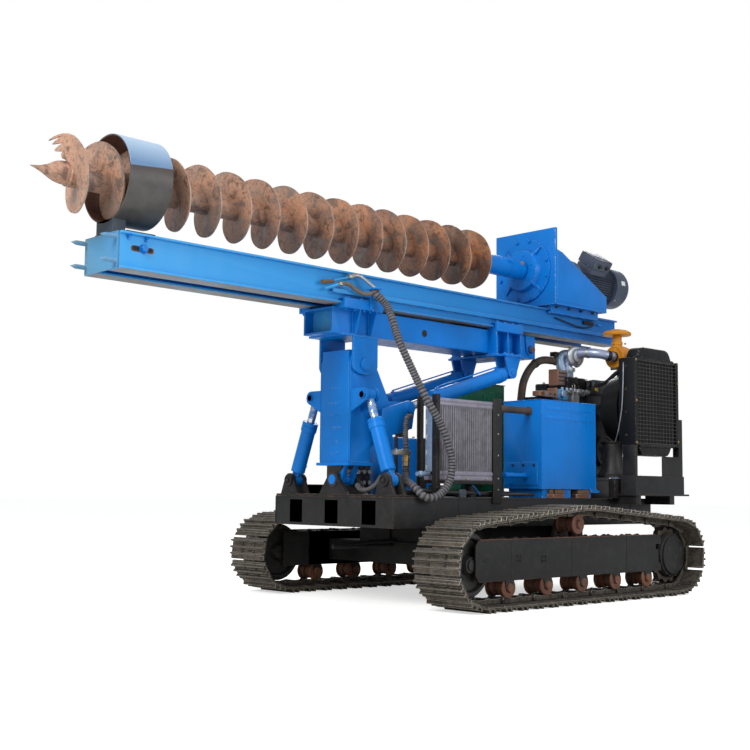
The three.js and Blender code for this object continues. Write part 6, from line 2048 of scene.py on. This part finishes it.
def make_block():
    iron, black = "iron", "motor"
    maker = Maker()
    c = ENGINE_X
    slab(maker, (c - 150, c + 150), (-320, 240), (641.4, 768), iron, 10)
    slab(maker, (c - 150, c + 150), (-312, 232), (764, 880), iron, 14)
    slab(maker, (c - 214, c + 214), (-328, 256), (862, 884), iron, 4)
    slab(maker, (c - 196, c + 196), (-322, 252), (880, 1262), iron, 8)
    slab(maker, (c - 206, c + 206), (-326, 256), (1246, 1269), iron, 4)
    for k in range(8):
        y = -300 + 74 * k
        for side in (-1, 1):
            a, b = sorted((c + side * 190, c + side * 210))
            slab(maker, (a, b), (y, y + 14), (886, 1246), iron, 3)
    for side in (-1, 1):
        a, b = sorted((c + side * 192, c + side * 206))
        for z in (960, 1060, 1160):
            slab(maker, (a, b), (-318, 250), (z, z + 10), iron, 3)
    # four separate heads with their covers
    for k in range(4):
        y = -288 + 131 * k
        slab(maker, (c - 126, c + 126), (y, y + 122), (1268, 1392), iron, 6)
        slab(maker, (c - 104, c + 92), (y + 6, y + 116), (1388, 1504), black, 14)
        slab(maker, (c - 110, c + 98), (y + 2, y + 120), (1384, 1396), iron, 2)
        for x in (c - 60, c + 50):
            maker.bolt(spot(x, y + 61, 1504), (0, 0, 1), "zinc", 20, 10, True)
        for x, z in ((c + 126, 1300), (c + 126, 1356)):
            for dy in (24, 98):
                maker.bolt(spot(x, y + dy, z), (1, 0, 0), "iron", 17, 8, True)
    for low, high in ((c + 100, c + 196), (c + 206, c + 318)):
        slab(maker, (low, high), (92, 200), (1424, 1516), black, 12)
        maker.bolt(spot((low + high) / 2, 146, 1516), (0, 0, 1), black, 20, 9, True)
    slab(maker, (c - 100, c + 56), (190, 244), (1440, 1510), "slate", 8)
    slab(maker, (c - 110, c + 70), (186, 240), (1400, 1444), iron, 6)
    # flywheel housing on the far side
    y0 = -470
    maker.turned(in_mm((y0, 0), (y0, 205), (y0 + 20, 225), (y0 + 100, 225), (y0 + 118, 205), (y0 + 141, 205),
                       (y0 + 141, 0)), "y", spot(c, 0, 980), iron, 48)
    maker.piece("engine_block", "chassis", "black_paint", ("engine",))


def make_pulley(maker, x, z, y, radius, wide, finish, grooves=2):
    """A V-belt pulley standing out along +Y."""
    profile = [(0, 0), (0, radius)]
    step = wide / grooves
    for k in range(grooves):
        a = k * step
        profile += [(a + 0.12 * step, radius), (a + 0.4 * step, radius - 8), (a + 0.6 * step, radius - 8),
                    (a + 0.88 * step, radius)]
    profile += [(wide, radius), (wide, radius - 12), (wide - 8, radius - 16), (wide - 8, 34), (wide + 6, 30),
                (wide + 6, 0)]
    maker.turned([mm(a, r) for a, r in profile], "y", spot(x, y, z), finish, 48)
    for k in range(5):
        angle = 2 * pi * k / 5 + 0.3
        maker.turned(in_mm((0, 0), (0, radius * 0.14), (0.8, radius * 0.14), (0.8, 0)), "y",
                     spot(x + radius * 0.6 * cos(angle), y + wide - 8, z + radius * 0.6 * sin(angle)), "dark",
                     16)
    maker.bolt(spot(x, y + wide + 6, z), (0, 1, 0), "iron", 26, 12, True)


def make_drives():
    iron, belt = "iron", "belt"
    maker = Maker()
    c = ENGINE_X
    slab(maker, (c - 160, c + 160), (252, 268), (880, 1230), iron, 10)
    for x, z in ((-145, 900), (0, 892), (145, 900), (-148, 1040), (148, 1040), (-145, 1200), (0, 1216),
                 (145, 1200), (-70, 1120), (80, 1110)):
        maker.bolt(spot(c + x, 268, z), (0, 1, 0), "iron", 18, 9, True)
    make_pulley(maker, c, 980, 268, 112, 34, iron)
    make_pulley(maker, c, FAN_Z, 268, 66, 34, "slate")
    make_pulley(maker, c + 178, 1208, 268, 42, 34, iron)
    for y in (277, 294):
        loop = []
        for x, z, r, start_at, end_at in ((c, 980, 108, -172, -18), (c + 178, 1208, 38, -28, 52),
                                          (c, FAN_Z, 62, 66, 176)):
            loop += [spot(x + dx, y, z + dz) for dx, dz in arc((0, 0), r, start_at, end_at, 14)]
        maker.pipe(loop + [loop[0]], 5.5 * MM, belt, 6)
    # alternator
    maker.turned(in_mm((0, 0), (0, 50), (8, 62), (90, 62), (100, 50), (100, 0)), "y",
                 spot(c + 178, 160, 1208), "cast", 36)
    # fan behind the radiator
    maker.turned(in_mm((0, 0), (0, 44), (20, 44), (26, 0)), "y", spot(c, 322, FAN_Z), iron, 32)
    for k in range(6):
        place = Matrix.Translation(spot(c, 340, FAN_Z)) @ Matrix.Rotation(k * pi / 3, 4, "Y")
        place = place @ Matrix.Rotation(0.5, 4, "Z")
        maker.box(mm(40, -2, -42), mm(226, 2, 42), "motor", 1 * MM, place)
    # oil filter, its head and the fuel filters on the front side
    for y in (60, 150):
        maker.turned(in_mm((0, 0), (0, 30), (6, 36), (104, 36), (112, 28), (112, 0)), "z",
                     spot(c + 244, y, 1010), "motor", 32)
        maker.turned(in_mm((0, 0), (0, 26), (20, 30), (28, 30), (28, 0)), "z", spot(c + 244, y, 1122),
                     "cast", 24)
    slab(maker, (c + 196, c + 268), (24, 190), (1146, 1184), "cast", 8)
    maker.piece("belt_drives", "chassis", "black_paint")


def make_pump():
    """Fuel pump, filters, pipes and the copper, silver and blue fittings along the front side."""
    c = ENGINE_X
    cast, zinc, copper, brass = "cast", "zinc", "copper", "brass"
    maker = Maker()
    slab(maker, (c + 230, c + 310), (150, 238), (1300, 1396), cast, 8)
    for k in range(4):
        y = 164 + 20 * k
        maker.turned(in_mm((0, 0), (0, 9), (20, 9), (22, 6), (30, 6), (30, 0)), "z",
                     spot(c + 270, y, 1394), zinc, 12)
        line = smooth_line([spot(c + 270, y, 1420), spot(c + 268, y - 4, 1450 + 3 * k),
                            spot(c + 220, y - 30 - 20 * k, 1462), spot(c + 130, y - 60 - 50 * k, 1400)])
        maker.pipe(line, 3.2 * MM, zinc, 8)
    maker.turned(in_mm((0, 0), (0, 34), (10, 40), (44, 40), (52, 30), (52, 0)), "y",
                 spot(c + 434, 180, 1376), "sky", 32)
    maker.turned(in_mm((0, 0), (0, 26), (24, 26), (28, 20), (28, 0)), "y", spot(c + 434, 232, 1380),
                 "sheet", 28)
    for k, x in enumerate((c + 384, c + 330, c + 286, c + 236, c + 182)):
        maker.turned(in_mm((0, 0), (0, 17), (18, 19), (30, 15), (44, 15), (46, 0)), "y",
                     spot(x, 196, 1392 + 8 * (k % 2)), zinc, 14)
        maker.turned(in_mm((0, 0), (0, 11), (26, 11), (26, 0)), "z", spot(x + 18, 214, 1404), "sheet", 10)
    maker.turned(in_mm((0, 0), (0, 32), (14, 36), (20, 30), (20, 0)), "y", spot(c + 396, 212, 1368),
                 "sky", 28)
    slab(maker, (c + 350, c + 470), (150, 216), (1345, 1402), cast, 6)
    slab(maker, (c + 490, c + 620), (150, 226), (1350, 1392), "heated", 5)
    slab(maker, (c + 474, c + 492), (146, 230), (1344, 1420), copper, 3)
    slab(maker, (c + 616, c + 676), (160, 222), (1352, 1388), copper, 4)
    for x in (c + 510, c + 560, c + 640):
        maker.bolt(spot(x, 224, 1376), (0, 1, 0), brass, 18, 12, True)
    slab(maker, (c + 300, c + 660), (60, 170), (1302, 1350), "iron", 6)
    for x in (c + 140, c + 190, c + 236):
        maker.turned(in_mm((0, 0), (0, 20), (30, 20), (34, 14), (52, 14), (52, 0)), "y",
                     spot(x, 206, 1408), cast, 20)
    slab(maker, (c + 30, c + 66), (256, 259), (1420, 1446), "yellow", 0.5)
    slab(maker, (c + 20, c + 76), (238, 256), (1402, 1462), "iron", 4)
    wires = ((((-1000, 250, 1440), (-1060, 300, 1400), (-1100, 330, 1350), (-1180, 320, 1300)), 4),
             (((-940, 240, 1330), (-960, 290, 1210), (-980, 300, 1060), (-1010, 280, 930)), 6),
             (((-900, 230, 1260), (-905, 282, 1130), (-930, 300, 1010), (-960, 290, 900)), 4),
             (((-880, 200, 1180), (-880, 262, 1060), (-900, 270, 960), (-930, 250, 880)), 8),
             (((-760, 190, 1340), (-800, 240, 1300), (-880, 262, 1270), (-960, 262, 1240)), 5))
    for points, radius in wires:
        maker.pipe(smooth_line([spot(*p) for p in points]), radius * MM, "belt", 8)
    maker.piece("fuel_system", "chassis", "bare_aluminium")


def make_mounts():
    """The bell-shaped mount and low clutter between tank and radiator."""
    iron, black = "iron", "black"
    maker = Maker()
    slab(maker, (-1078, -806), (548, 604), (642, 778), black, 5)
    slab(maker, (-1040, -818), (556, 606), (778, 786), "sheet", 2)
    bell = in_mm((0, 0), (0, 118), (14, 118), (22, 102), (70, 78), (150, 70), (236, 74), (246, 84), (252, 84),
                 (252, 0))
    maker.turned(bell, "z", spot(-930, 500, 786), iron, 40)
    for k in range(6):
        angle = pi * k / 3 + 0.2
        maker.bolt(spot(-930 + 106 * cos(angle), 500 + 106 * sin(angle), 800), (0, 0, 1), iron, 20, 10, True)
    # fan cowl, a tapered sheet from the core towards the fan
    maker.turned(in_mm((424, 234), (424, 240), (440, 244), (600, 292), (600, 286), (424, 234)), "y",
                 (spot(ENGINE_X, 0, 0).x, 0, FAN_Z * MM), "motor", 48)
    # its rolled ring against the core
    maker.turned(in_mm((560, 236), (560, 250), (604, 268), (604, 236), (560, 236)), "y",
                 (spot(ENGINE_X, 0, 0).x, 0, FAN_Z * MM), "motor", 48)
    wire = smooth_line([spot(-870, 640, 1604), spot(-846, 655, 1560), spot(-838, 655, 1420),
                        spot(-842, 640, 1260), spot(-856, 600, 1110), spot(-880, 560, 1040)])
    maker.pipe(wire, 4 * MM, "galvanised_wire", 8)
    # coolant hoses between radiator and engine
    for radius, points in ((15, ((-1080, 606, 1590), (-1085, 540, 1585), (-1095, 430, 1550),
                                 (-1110, 330, 1490), (-1120, 250, 1470))),
                           (24, ((-1260, 606, 1060), (-1260, 540, 1050), (-1250, 420, 1010),
                                 (-1230, 320, 980), (-1220, 262, 980)))):
        maker.pipe(smooth_line([spot(*p) for p in points]), radius * MM, "belt", 16)
    maker.piece("engine_mounts", "chassis", "black_paint")


def make_turbo():
    c = ENGINE_X
    cast, iron, copper = "cast", "iron", "copper"
    maker = Maker()
    slab(maker, (c + 131, c + 258), (62, 178), (1382, 1470), iron, 8)
    maker.turned(in_mm((1398, 0), (1398, 50), (1408, 60), (1424, 60), (1426, 46), (1492, 44), (1496, 58),
                       (1510, 60), (1516, 42), (1560, 40), (1566, 54), (1589, 54), (1590, 0)), "z",
                 spot(c + 210, 120, 0), cast, 40)
    slab(maker, (c + 226, c + 286), (88, 180), (1446, 1570), "sheet", 8)
    slab(maker, (c + 286, c + 398), (96, 172), (1452, 1562), "heated", 6)
    slab(maker, (c + 392, c + 404), (92, 176), (1448, 1566), copper, 3)
    slab(maker, (c + 180, c + 326), (44, 96), (1672, 1704), "motor", 3)
    for z in (1480, 1508, 1536):
        slab(maker, (c + 292, c + 390), (171, 174), (z, z + 8), "iron", 1)
    for z in (1462, 1552):
        for x in (c + 236, c + 276):
            maker.bolt(spot(x, 176, z), (0, 1, 0), "zinc", 16, 9, True)
    # compressor scroll at the bend of the intake duct
    centre = spot(c + 200, 176, 1672)
    turn = Matrix.Translation(centre) @ Matrix.Rotation(radians(-12), 4, "Z")
    ring = []
    for k in range(31):
        angle = radians(-80 + 340 * k / 30)
        ring.append(turn @ Vector((58 * MM * cos(angle), 0, 58 * MM * sin(angle))))
    maker.pipe(ring, [(14 + 12 * k / 30) * MM for k in range(31)], cast, 14)
    maker.turned(in_mm((-34, 0), (-34, 50), (-16, 62), (14, 62), (24, 48), (42, 44), (44, 0)), "y", (0, 0, 0),
                 cast, 40, turn)
    for k in range(6):
        angle = pi * k / 3
        maker.bolt(turn @ Vector((54 * MM * cos(angle), 15 * MM, 54 * MM * sin(angle))),
                   turn.to_3x3() @ Vector((0, 1, 0)), "zinc", 12, 6, False)
    elbow = smooth_line([spot(c + 215, 130, 1690), spot(c + 236, 100, 1686), spot(c + 262, 90, 1654),
                         spot(c + 268, 100, 1606), spot(c + 262, 116, 1560)])
    maker.pipe(elbow, [36 * MM] * len(elbow), "sheet", 22)
    maker.turned(in_mm((0, 0), (0, 10), (28, 10), (30, 6), (40, 6), (40, 0)), "z",
                 spot(c + 222, 150, 1716), "brass", 12)
    maker.piece("turbo_body", "chassis", "bare_aluminium", ("turbocharger",), 40)


def make_ducts():
    c = ENGINE_X
    sheet, belt = "duct", "belt"
    maker = Maker()
    route = centripetal([spot(*p) for p in ((c + 210, 120, 1590.3), (c + 210, 120, 1630),
                                            (c + 205, 165, 1684), (c + 185, 270, 1692), (c + 150, 370, 1680),
                                            (-1041, 412, 1665), (-1085.7, 412, 1665))])
    line = resample(route, 4 * MM)
    radii = [(34.5 + 0.7 * sin(k * 0.21)) * MM for k in range(len(line))]
    maker.pipe(line, radii, sheet, 28)
    for share, wide in ((0.86, 10), (0.97, 8), (0.52, 7)):
        k = round(share * (len(line) - 1))
        stretch_ = line[max(0, k - wide // 4 - 1):k + wide // 4 + 2]
        maker.pipe(stretch_, 38 * MM, belt if share > 0.6 else "zinc", 28)
    maker.piece("air_duct", "chassis", "bare_aluminium", ("intake_duct",), 40)

    orange = "orange"
    maker = Maker()
    x, y = -1086, 412
    maker.turned(in_mm((x - 130, 0), (x - 130, 74), (x - 122, 83), (x - 100, 84), (x - 98, 86), (x - 90, 86),
                       (x - 88, 84), (x - 30, 84), (x - 28, 86), (x - 12, 86), (x - 2, 80), (x, 72),
                       (x - 5, 60), (x - 5, 46), (x - 0.2, 44), (x - 0.2, 0)), "x",
                 (TRACK_SHIFT, y * MM, 1665 * MM), orange, 56)
    maker.turned(in_mm((1706, 0), (1706, 40), (1752, 36), (1756, 40), (1776, 40), (1780, 34), (1812, 34),
                       (1820, 44), (1826, 92), (1824, 98), (1830, 102), (1842, 102), (1848, 96), (1850, 78),
                       (1862, 62), (1871, 30), (1874, 0)), "z", spot(x - 40, y, 0), orange, 56)
    for k in range(5):
        angle = 2 * pi * k / 5 + 0.5
        maker.weld([spot(x - 40 + 96 * cos(angle), y + 96 * sin(angle), 1848),
                    spot(x - 40 + 64 * cos(angle), y + 64 * sin(angle), 1862)], orange, 2.4, 40)
    slab(maker, (x - 106, x - 94), (y - 98, y + 98), (1582, 1602), "iron", 2)
    slab(maker, (x - 108, x - 60), (y - 20, y + 20), (1498, 1584), "iron", 3)
    maker.bolt(spot(x - 84, y + 36, 1766), (0, 1, 0), "zinc", 14, 10, False)
    maker.piece("air_filter", "chassis", "orange_paint", ("air_cleaner",), 35)

    pipe = Maker()
    route = centripetal([spot(*p) for p in ((-430, 60, 960), (-440, 60, 1150), (-454, 60, 1340),
                                            (-487, 60, 1471), (-578, 60, 1580), (-690, 60, 1632),
                                            (-830, 60, 1640), (c + 261.3, 60, 1640))])
    line = resample(route, 12 * MM)
    pipe.pipe(line, 28 * MM, "pipe", 28)
    for share in (0.2, 0.62, 0.93):
        k = round(share * (len(line) - 1))
        pipe.pipe(line[max(0, k - 1):k + 2], 32.5 * MM, "pipe", 28)
    pipe.piece("exhaust_line", "chassis", "rusty_steel", ("exhaust_pipe",), 40)


class RIG_OT_engine(bpy.types.Operator):
    """The diesel engine: block, heads, fuel pump, belts, turbocharger, exhaust and air intake"""
    bl_idname = "rig.engine"
    bl_label = "Engine"

    def execute(self, context):
        make_block()
        make_drives()
        make_pump()
        make_mounts()
        make_turbo()
        make_ducts()
        return {"FINISHED"}


def make_header(maker, x0, x1, z0, z1, up):
    """A crimped tank with rounded shoulders."""
    black = "motor"
    y0, y1 = 628, 724
    tall = z1 - z0
    outline = []
    for px, pz in ((0, 0), (0.0, 0.18), (0.045, 0.62), (0.1, 0.9), (0.18, 1.0), (0.82, 1.0), (0.9, 0.9),
                   (0.955, 0.62), (1.0, 0.18), (1.0, 0)):
        z = z0 + tall * pz if up else z1 - tall * pz
        outline.append((spot(x0 + (x1 - x0) * px, 0, 0).x, z * MM))
    maker.plate(outline, "y", y0 * MM, y1 * MM, black, 14 * MM)
    z = z0 if up else z1
    slab(maker, (x0 - 12, x1 + 12), (y0 - 14, y1 + 14), (z - 6, z + 6), black, 3)
    count = 22
    for k in range(count):
        x = x0 + (x1 - x0) * (k + 0.5) / count
        for y in (y0 - 15, y1 + 11):
            slab(maker, (x - 6, x + 6), (y, y + 4), (z - 9, z + 9), black, 1.5)


class RIG_OT_radiator(bpy.types.Operator):
    """The radiator with its wire guard, and the beam that carries it"""
    bl_idname = "rig.radiator"
    bl_label = "Radiator"

    def execute(self, context):
        black = "motor"
        maker = Maker()
        c = ENGINE_X
        x0, x1, y0, y1, z0, z1 = c - 275, c + 275, 607, 745, 1010, 1622
        slab(maker, (x0 + 26, x1 - 26), (y0 + 12, y1 - 24), (z0 + 4, z1 - 4), "core_black", 1)
        for x in (x0, x1 - 28):
            slab(maker, (x, x + 28), (y0 + 1, y1 - 1), (z0, z1), black, 3)
        for x in (x0 + 22, x1 - 34):
            slab(maker, (x, x + 12), (y1 - 14, y1 - 1), (z0 + 2, z1 - 2), black, 2)
        for z in (z0 + 2, z1 - 22):
            slab(maker, (x0 + 20, x1 - 20), (y1 - 20, y1 - 4), (z, z + 18), black, 3)
        for k in range(27):
            x = x0 + 30 + (x1 - x0 - 60) * k / 26
            slab(maker, (x - 1.6, x + 1.6), (y1 - 26, y1 - 20), (z0 + 10, z1 - 10), "fin_black", 0)
        columns, rows = 12, 22
        wire = "grid"
        for k in range(columns + 1):
            x = x0 + 30 + (x1 - x0 - 60) * k / columns
            maker.pipe([spot(x, y1 - 9, z0 + 12), spot(x, y1 - 9, z1 - 12)], 2.4 * MM, wire, 6)
        for k in range(rows + 1):
            z = z0 + 16 + (z1 - z0 - 32) * k / rows
            maker.pipe([spot(x0 + 24, y1 - 5, z), spot(x1 - 24, y1 - 5, z)], 2.2 * MM, wire, 6)
        make_header(maker, c - 214, c + 214, z1, 1705, True)
        make_header(maker, c - 200, c + 200, 940, z0, False)
        maker.turned(in_mm((0, 0), (0, 30), (3, 30), (5, 0)), "z", spot(c + 120, 676, 1700), "brass", 28)
        tan = "brass"
        for x, z in ((x1 - 12, z1 - 16), (x1 - 12, z1 - 300), (x1 - 12, z0 + 20), (x0 + 12, z1 - 150),
                     (x0 + 12, z0 + 40), (x0 + 12, z1 - 16)):
            maker.bolt(spot(x, y1 - 1, z), (0, 1, 0), tan, 18, 5, False)
        for z in (1080, 1240, 1400, 1560):
            maker.bolt(spot(x1, 670, z), (1, 0, 0), "iron", 18, 8, True)
        maker.piece("radiator_body", "chassis", "black_paint", ("radiator",))
        edged("rear_support", "black", "black_paint", 3 * MM)
        edged("radiator_post", "black", "black_paint", 2 * MM)
        return {"FINISHED"}


def make_cabinet():
    green = "green"
    edged("control_cabinet", green, "green_paint", 4 * MM)
    maker = Maker()
    for x0, x1 in ((-790, -554), (-546, -310)):
        for y, out in ((-525, -1), (-385, 1)):
            a, b = sorted((y, y + out * 5))
            slab(maker, (x0, x1), (a, b), (690, 1462), green, 3)
        for z in (760, 1390):
            maker.turned(in_mm((-22, 0), (-22, 7), (22, 7), (22, 0)), "z",
                         spot(x0 + 8, -530, z), "zinc", 14)
    for x in (-566, -534):
        slab(maker, (x - 6, x + 6), (-544, -526), (1030, 1150), "iron", 3)
    for k in range(7):
        slab(maker, (-760, -590), (-383, -378), (1330 + 14 * k, 1336 + 14 * k), green, 2)
    slab(maker, (-806, -294), (-531, -379), (1474, 1482), green, 3)
    maker.piece("cabinet_doors", "chassis", "green_paint")


def make_fuel_tank():
    blue = "tank"
    edged("fuel_tank", blue, "blue_paint", 14 * MM)
    maker = Maker()
    for x in (140, 420):
        slab(maker, (x, x + 30), (-528, -297), (660, 1043), "iron", 2)
        maker.bolt(spot(x + 15, -412, 1043), (0, 0, 1), "zinc", 20, 12, True)
    maker.turned(in_mm((0, 0), (0, 34), (24, 34), (26, 40), (46, 40), (50, 34), (50, 0)),
                 "z", spot(290, -410, 1038), "iron", 32)
    maker.piece("fuel_straps", "chassis", "blue_paint")


def make_valves():
    iron, zinc = "iron", "zinc"
    edged("control_valves", iron, "black_paint", 3 * MM)
    maker = Maker()
    for k in range(5):
        x = 630 + 48 * k
        slab(maker, (x - 21, x + 21), (-529, -376), (690, 850), iron, 5)
        maker.turned(in_mm((0, 0), (0, 10), (16, 17), (34, 17), (46, 6), (48, 0)), "z",
                     spot(x, -450, 980), "belt", 20)
        for z in (730, 800):
            maker.turned(in_mm((0, 0), (0, 15), (24, 15), (24, 0)), "y", spot(x, -376, z), zinc, 6)
    maker.piece("valve_sections", "chassis", "black_paint")


def make_clutter():
    """Hard pipes, filters and blocks that lie on the deck under the cooler."""
    maker = Maker()
    iron, belt = "iron", "belt"
    runs = (((340, 500, 664), (520, 505, 668), (760, 500, 672), (905, 470, 676), (960, 400, 690)),
            ((300, 430, 660), (520, 440, 662), (760, 430, 662), (900, 380, 666), (980, 330, 668)),
            ((-60, 330, 664), (120, 360, 668), (380, 380, 664), (640, 340, 668), (900, 300, 664)),
            ((-60, 480, 662), (60, 500, 664), (200, 470, 662), (330, 500, 662)))
    for k, points in enumerate(runs):
        maker.pipe(smooth_line([spot(*p) for p in points]), (14, 17, 15, 12)[k] * MM,
                   (iron, belt, belt, iron)[k], 12)
    maker.turned(in_mm((0, 0), (0, 13), (60, 13), (62, 18), (84, 18), (86, 13), (104, 13), (104, 0)), "x",
                 spot(920, 470, 779), "sheet", 24)
    maker.turned(in_mm((0, 0), (0, 9), (16, 9), (16, 0)), "y", spot(890, 512, 716), "plug", 16)
    slab(maker, (820, 896), (440, 512), (642, 714), iron, 6)
    slab(maker, (640, 700), (470, 520), (642, 690), "slate", 5)
    maker.turned(in_mm((0, 0), (0, 38), (70, 38), (78, 26), (78, 0)), "z", spot(560, 480, 642), "motor",
                 28)
    # suction filter with its union, just behind the left tilt foot
    maker.turned(in_mm((0, 0), (0, 24), (12, 30), (72, 30), (76, 22), (96, 22), (96, 0)), "x",
                 spot(1020, 352, 700), "slate", 28)
    line = smooth_line([spot(600, 505, 742), spot(560, 520, 700), spot(520, 528, 655)])
    maker.pipe(line, 3.5 * MM, "blue", 8)
    maker.piece("deck_pipes", "chassis", "black_paint")


class RIG_OT_deck_gear(bpy.types.Operator):
    """Control cabinet, fuel tank and valve bank on the right of the deck"""
    bl_idname = "rig.deck_gear"
    bl_label = "Deck gear"

    def execute(self, context):
        make_cabinet()
        make_fuel_tank()
        make_valves()
        make_clutter()
        edged("deck_bar", "rust", "rusty_steel", 3 * MM)
        coupling = Maker()
        coupling.turned(in_mm((830, 0), (830, 20), (856, 20), (858, 24), (884, 24), (886, 20), (896, 20),
                              (896, 0)), "z", spot(945, 300, 0), "brass", 24)
        slab(coupling, (925, 1050), (253, 321), (895, 925), "zinc", 3)
        for x in (960, 1020):
            coupling.bolt(spot(x, 288, 925), (0, 0, 1), "zinc", 18, 9, True)
        coupling.piece("coupling_block", "post", "bare_aluminium", ("hose_coupling",))
        return {"FINISHED"}


# ---------------------------------------------------------------- panel and run

OPERATORS = (
    RIG_OT_stage,
    RIG_OT_hoses,
    RIG_OT_tracks,
    RIG_OT_track_frames,
    RIG_OT_chassis,
    RIG_OT_post,
    RIG_OT_cylinders,
    RIG_OT_carrier,
    RIG_OT_mast,
    RIG_OT_head,
    RIG_OT_auger,
    RIG_OT_cooler,
    RIG_OT_tank,
    RIG_OT_engine,
    RIG_OT_radiator,
    RIG_OT_deck_gear,
)


class RIG_PT_panel(bpy.types.Panel):
    """Sizes, colours and the steps that build the rig"""
    bl_idname = "RIG_PT_panel"
    bl_label = "Auger piling rig"
    bl_space_type = "VIEW_3D"
    bl_region_type = "UI"
    bl_category = "Rig"

    def draw(self, context):
        for group in (context.scene.rig_sizes, context.scene.rig_colours):
            box = self.layout.box()
            for name in group.__annotations__:
                box.prop(group, name)
        for operator in OPERATORS:
            self.layout.operator(operator.bl_idname)


CLASSES = (RigSizes, RigColours, *OPERATORS, RIG_PT_panel)


def register():
    for cls in CLASSES:
        bpy.utils.register_class(cls)
    bpy.types.Scene.rig_sizes = PointerProperty(type=RigSizes)
    bpy.types.Scene.rig_colours = PointerProperty(type=RigColours)


def unregister():
    del bpy.types.Scene.rig_colours
    del bpy.types.Scene.rig_sizes
    for cls in reversed(CLASSES):
        bpy.utils.unregister_class(cls)


def main():
    register()
    make_finishes()
    for operator in OPERATORS:
        getattr(bpy.ops.rig, operator.bl_idname.split(".")[1])()
    bpy.context.view_layer.update()


if __name__ == "__main__":
    main()
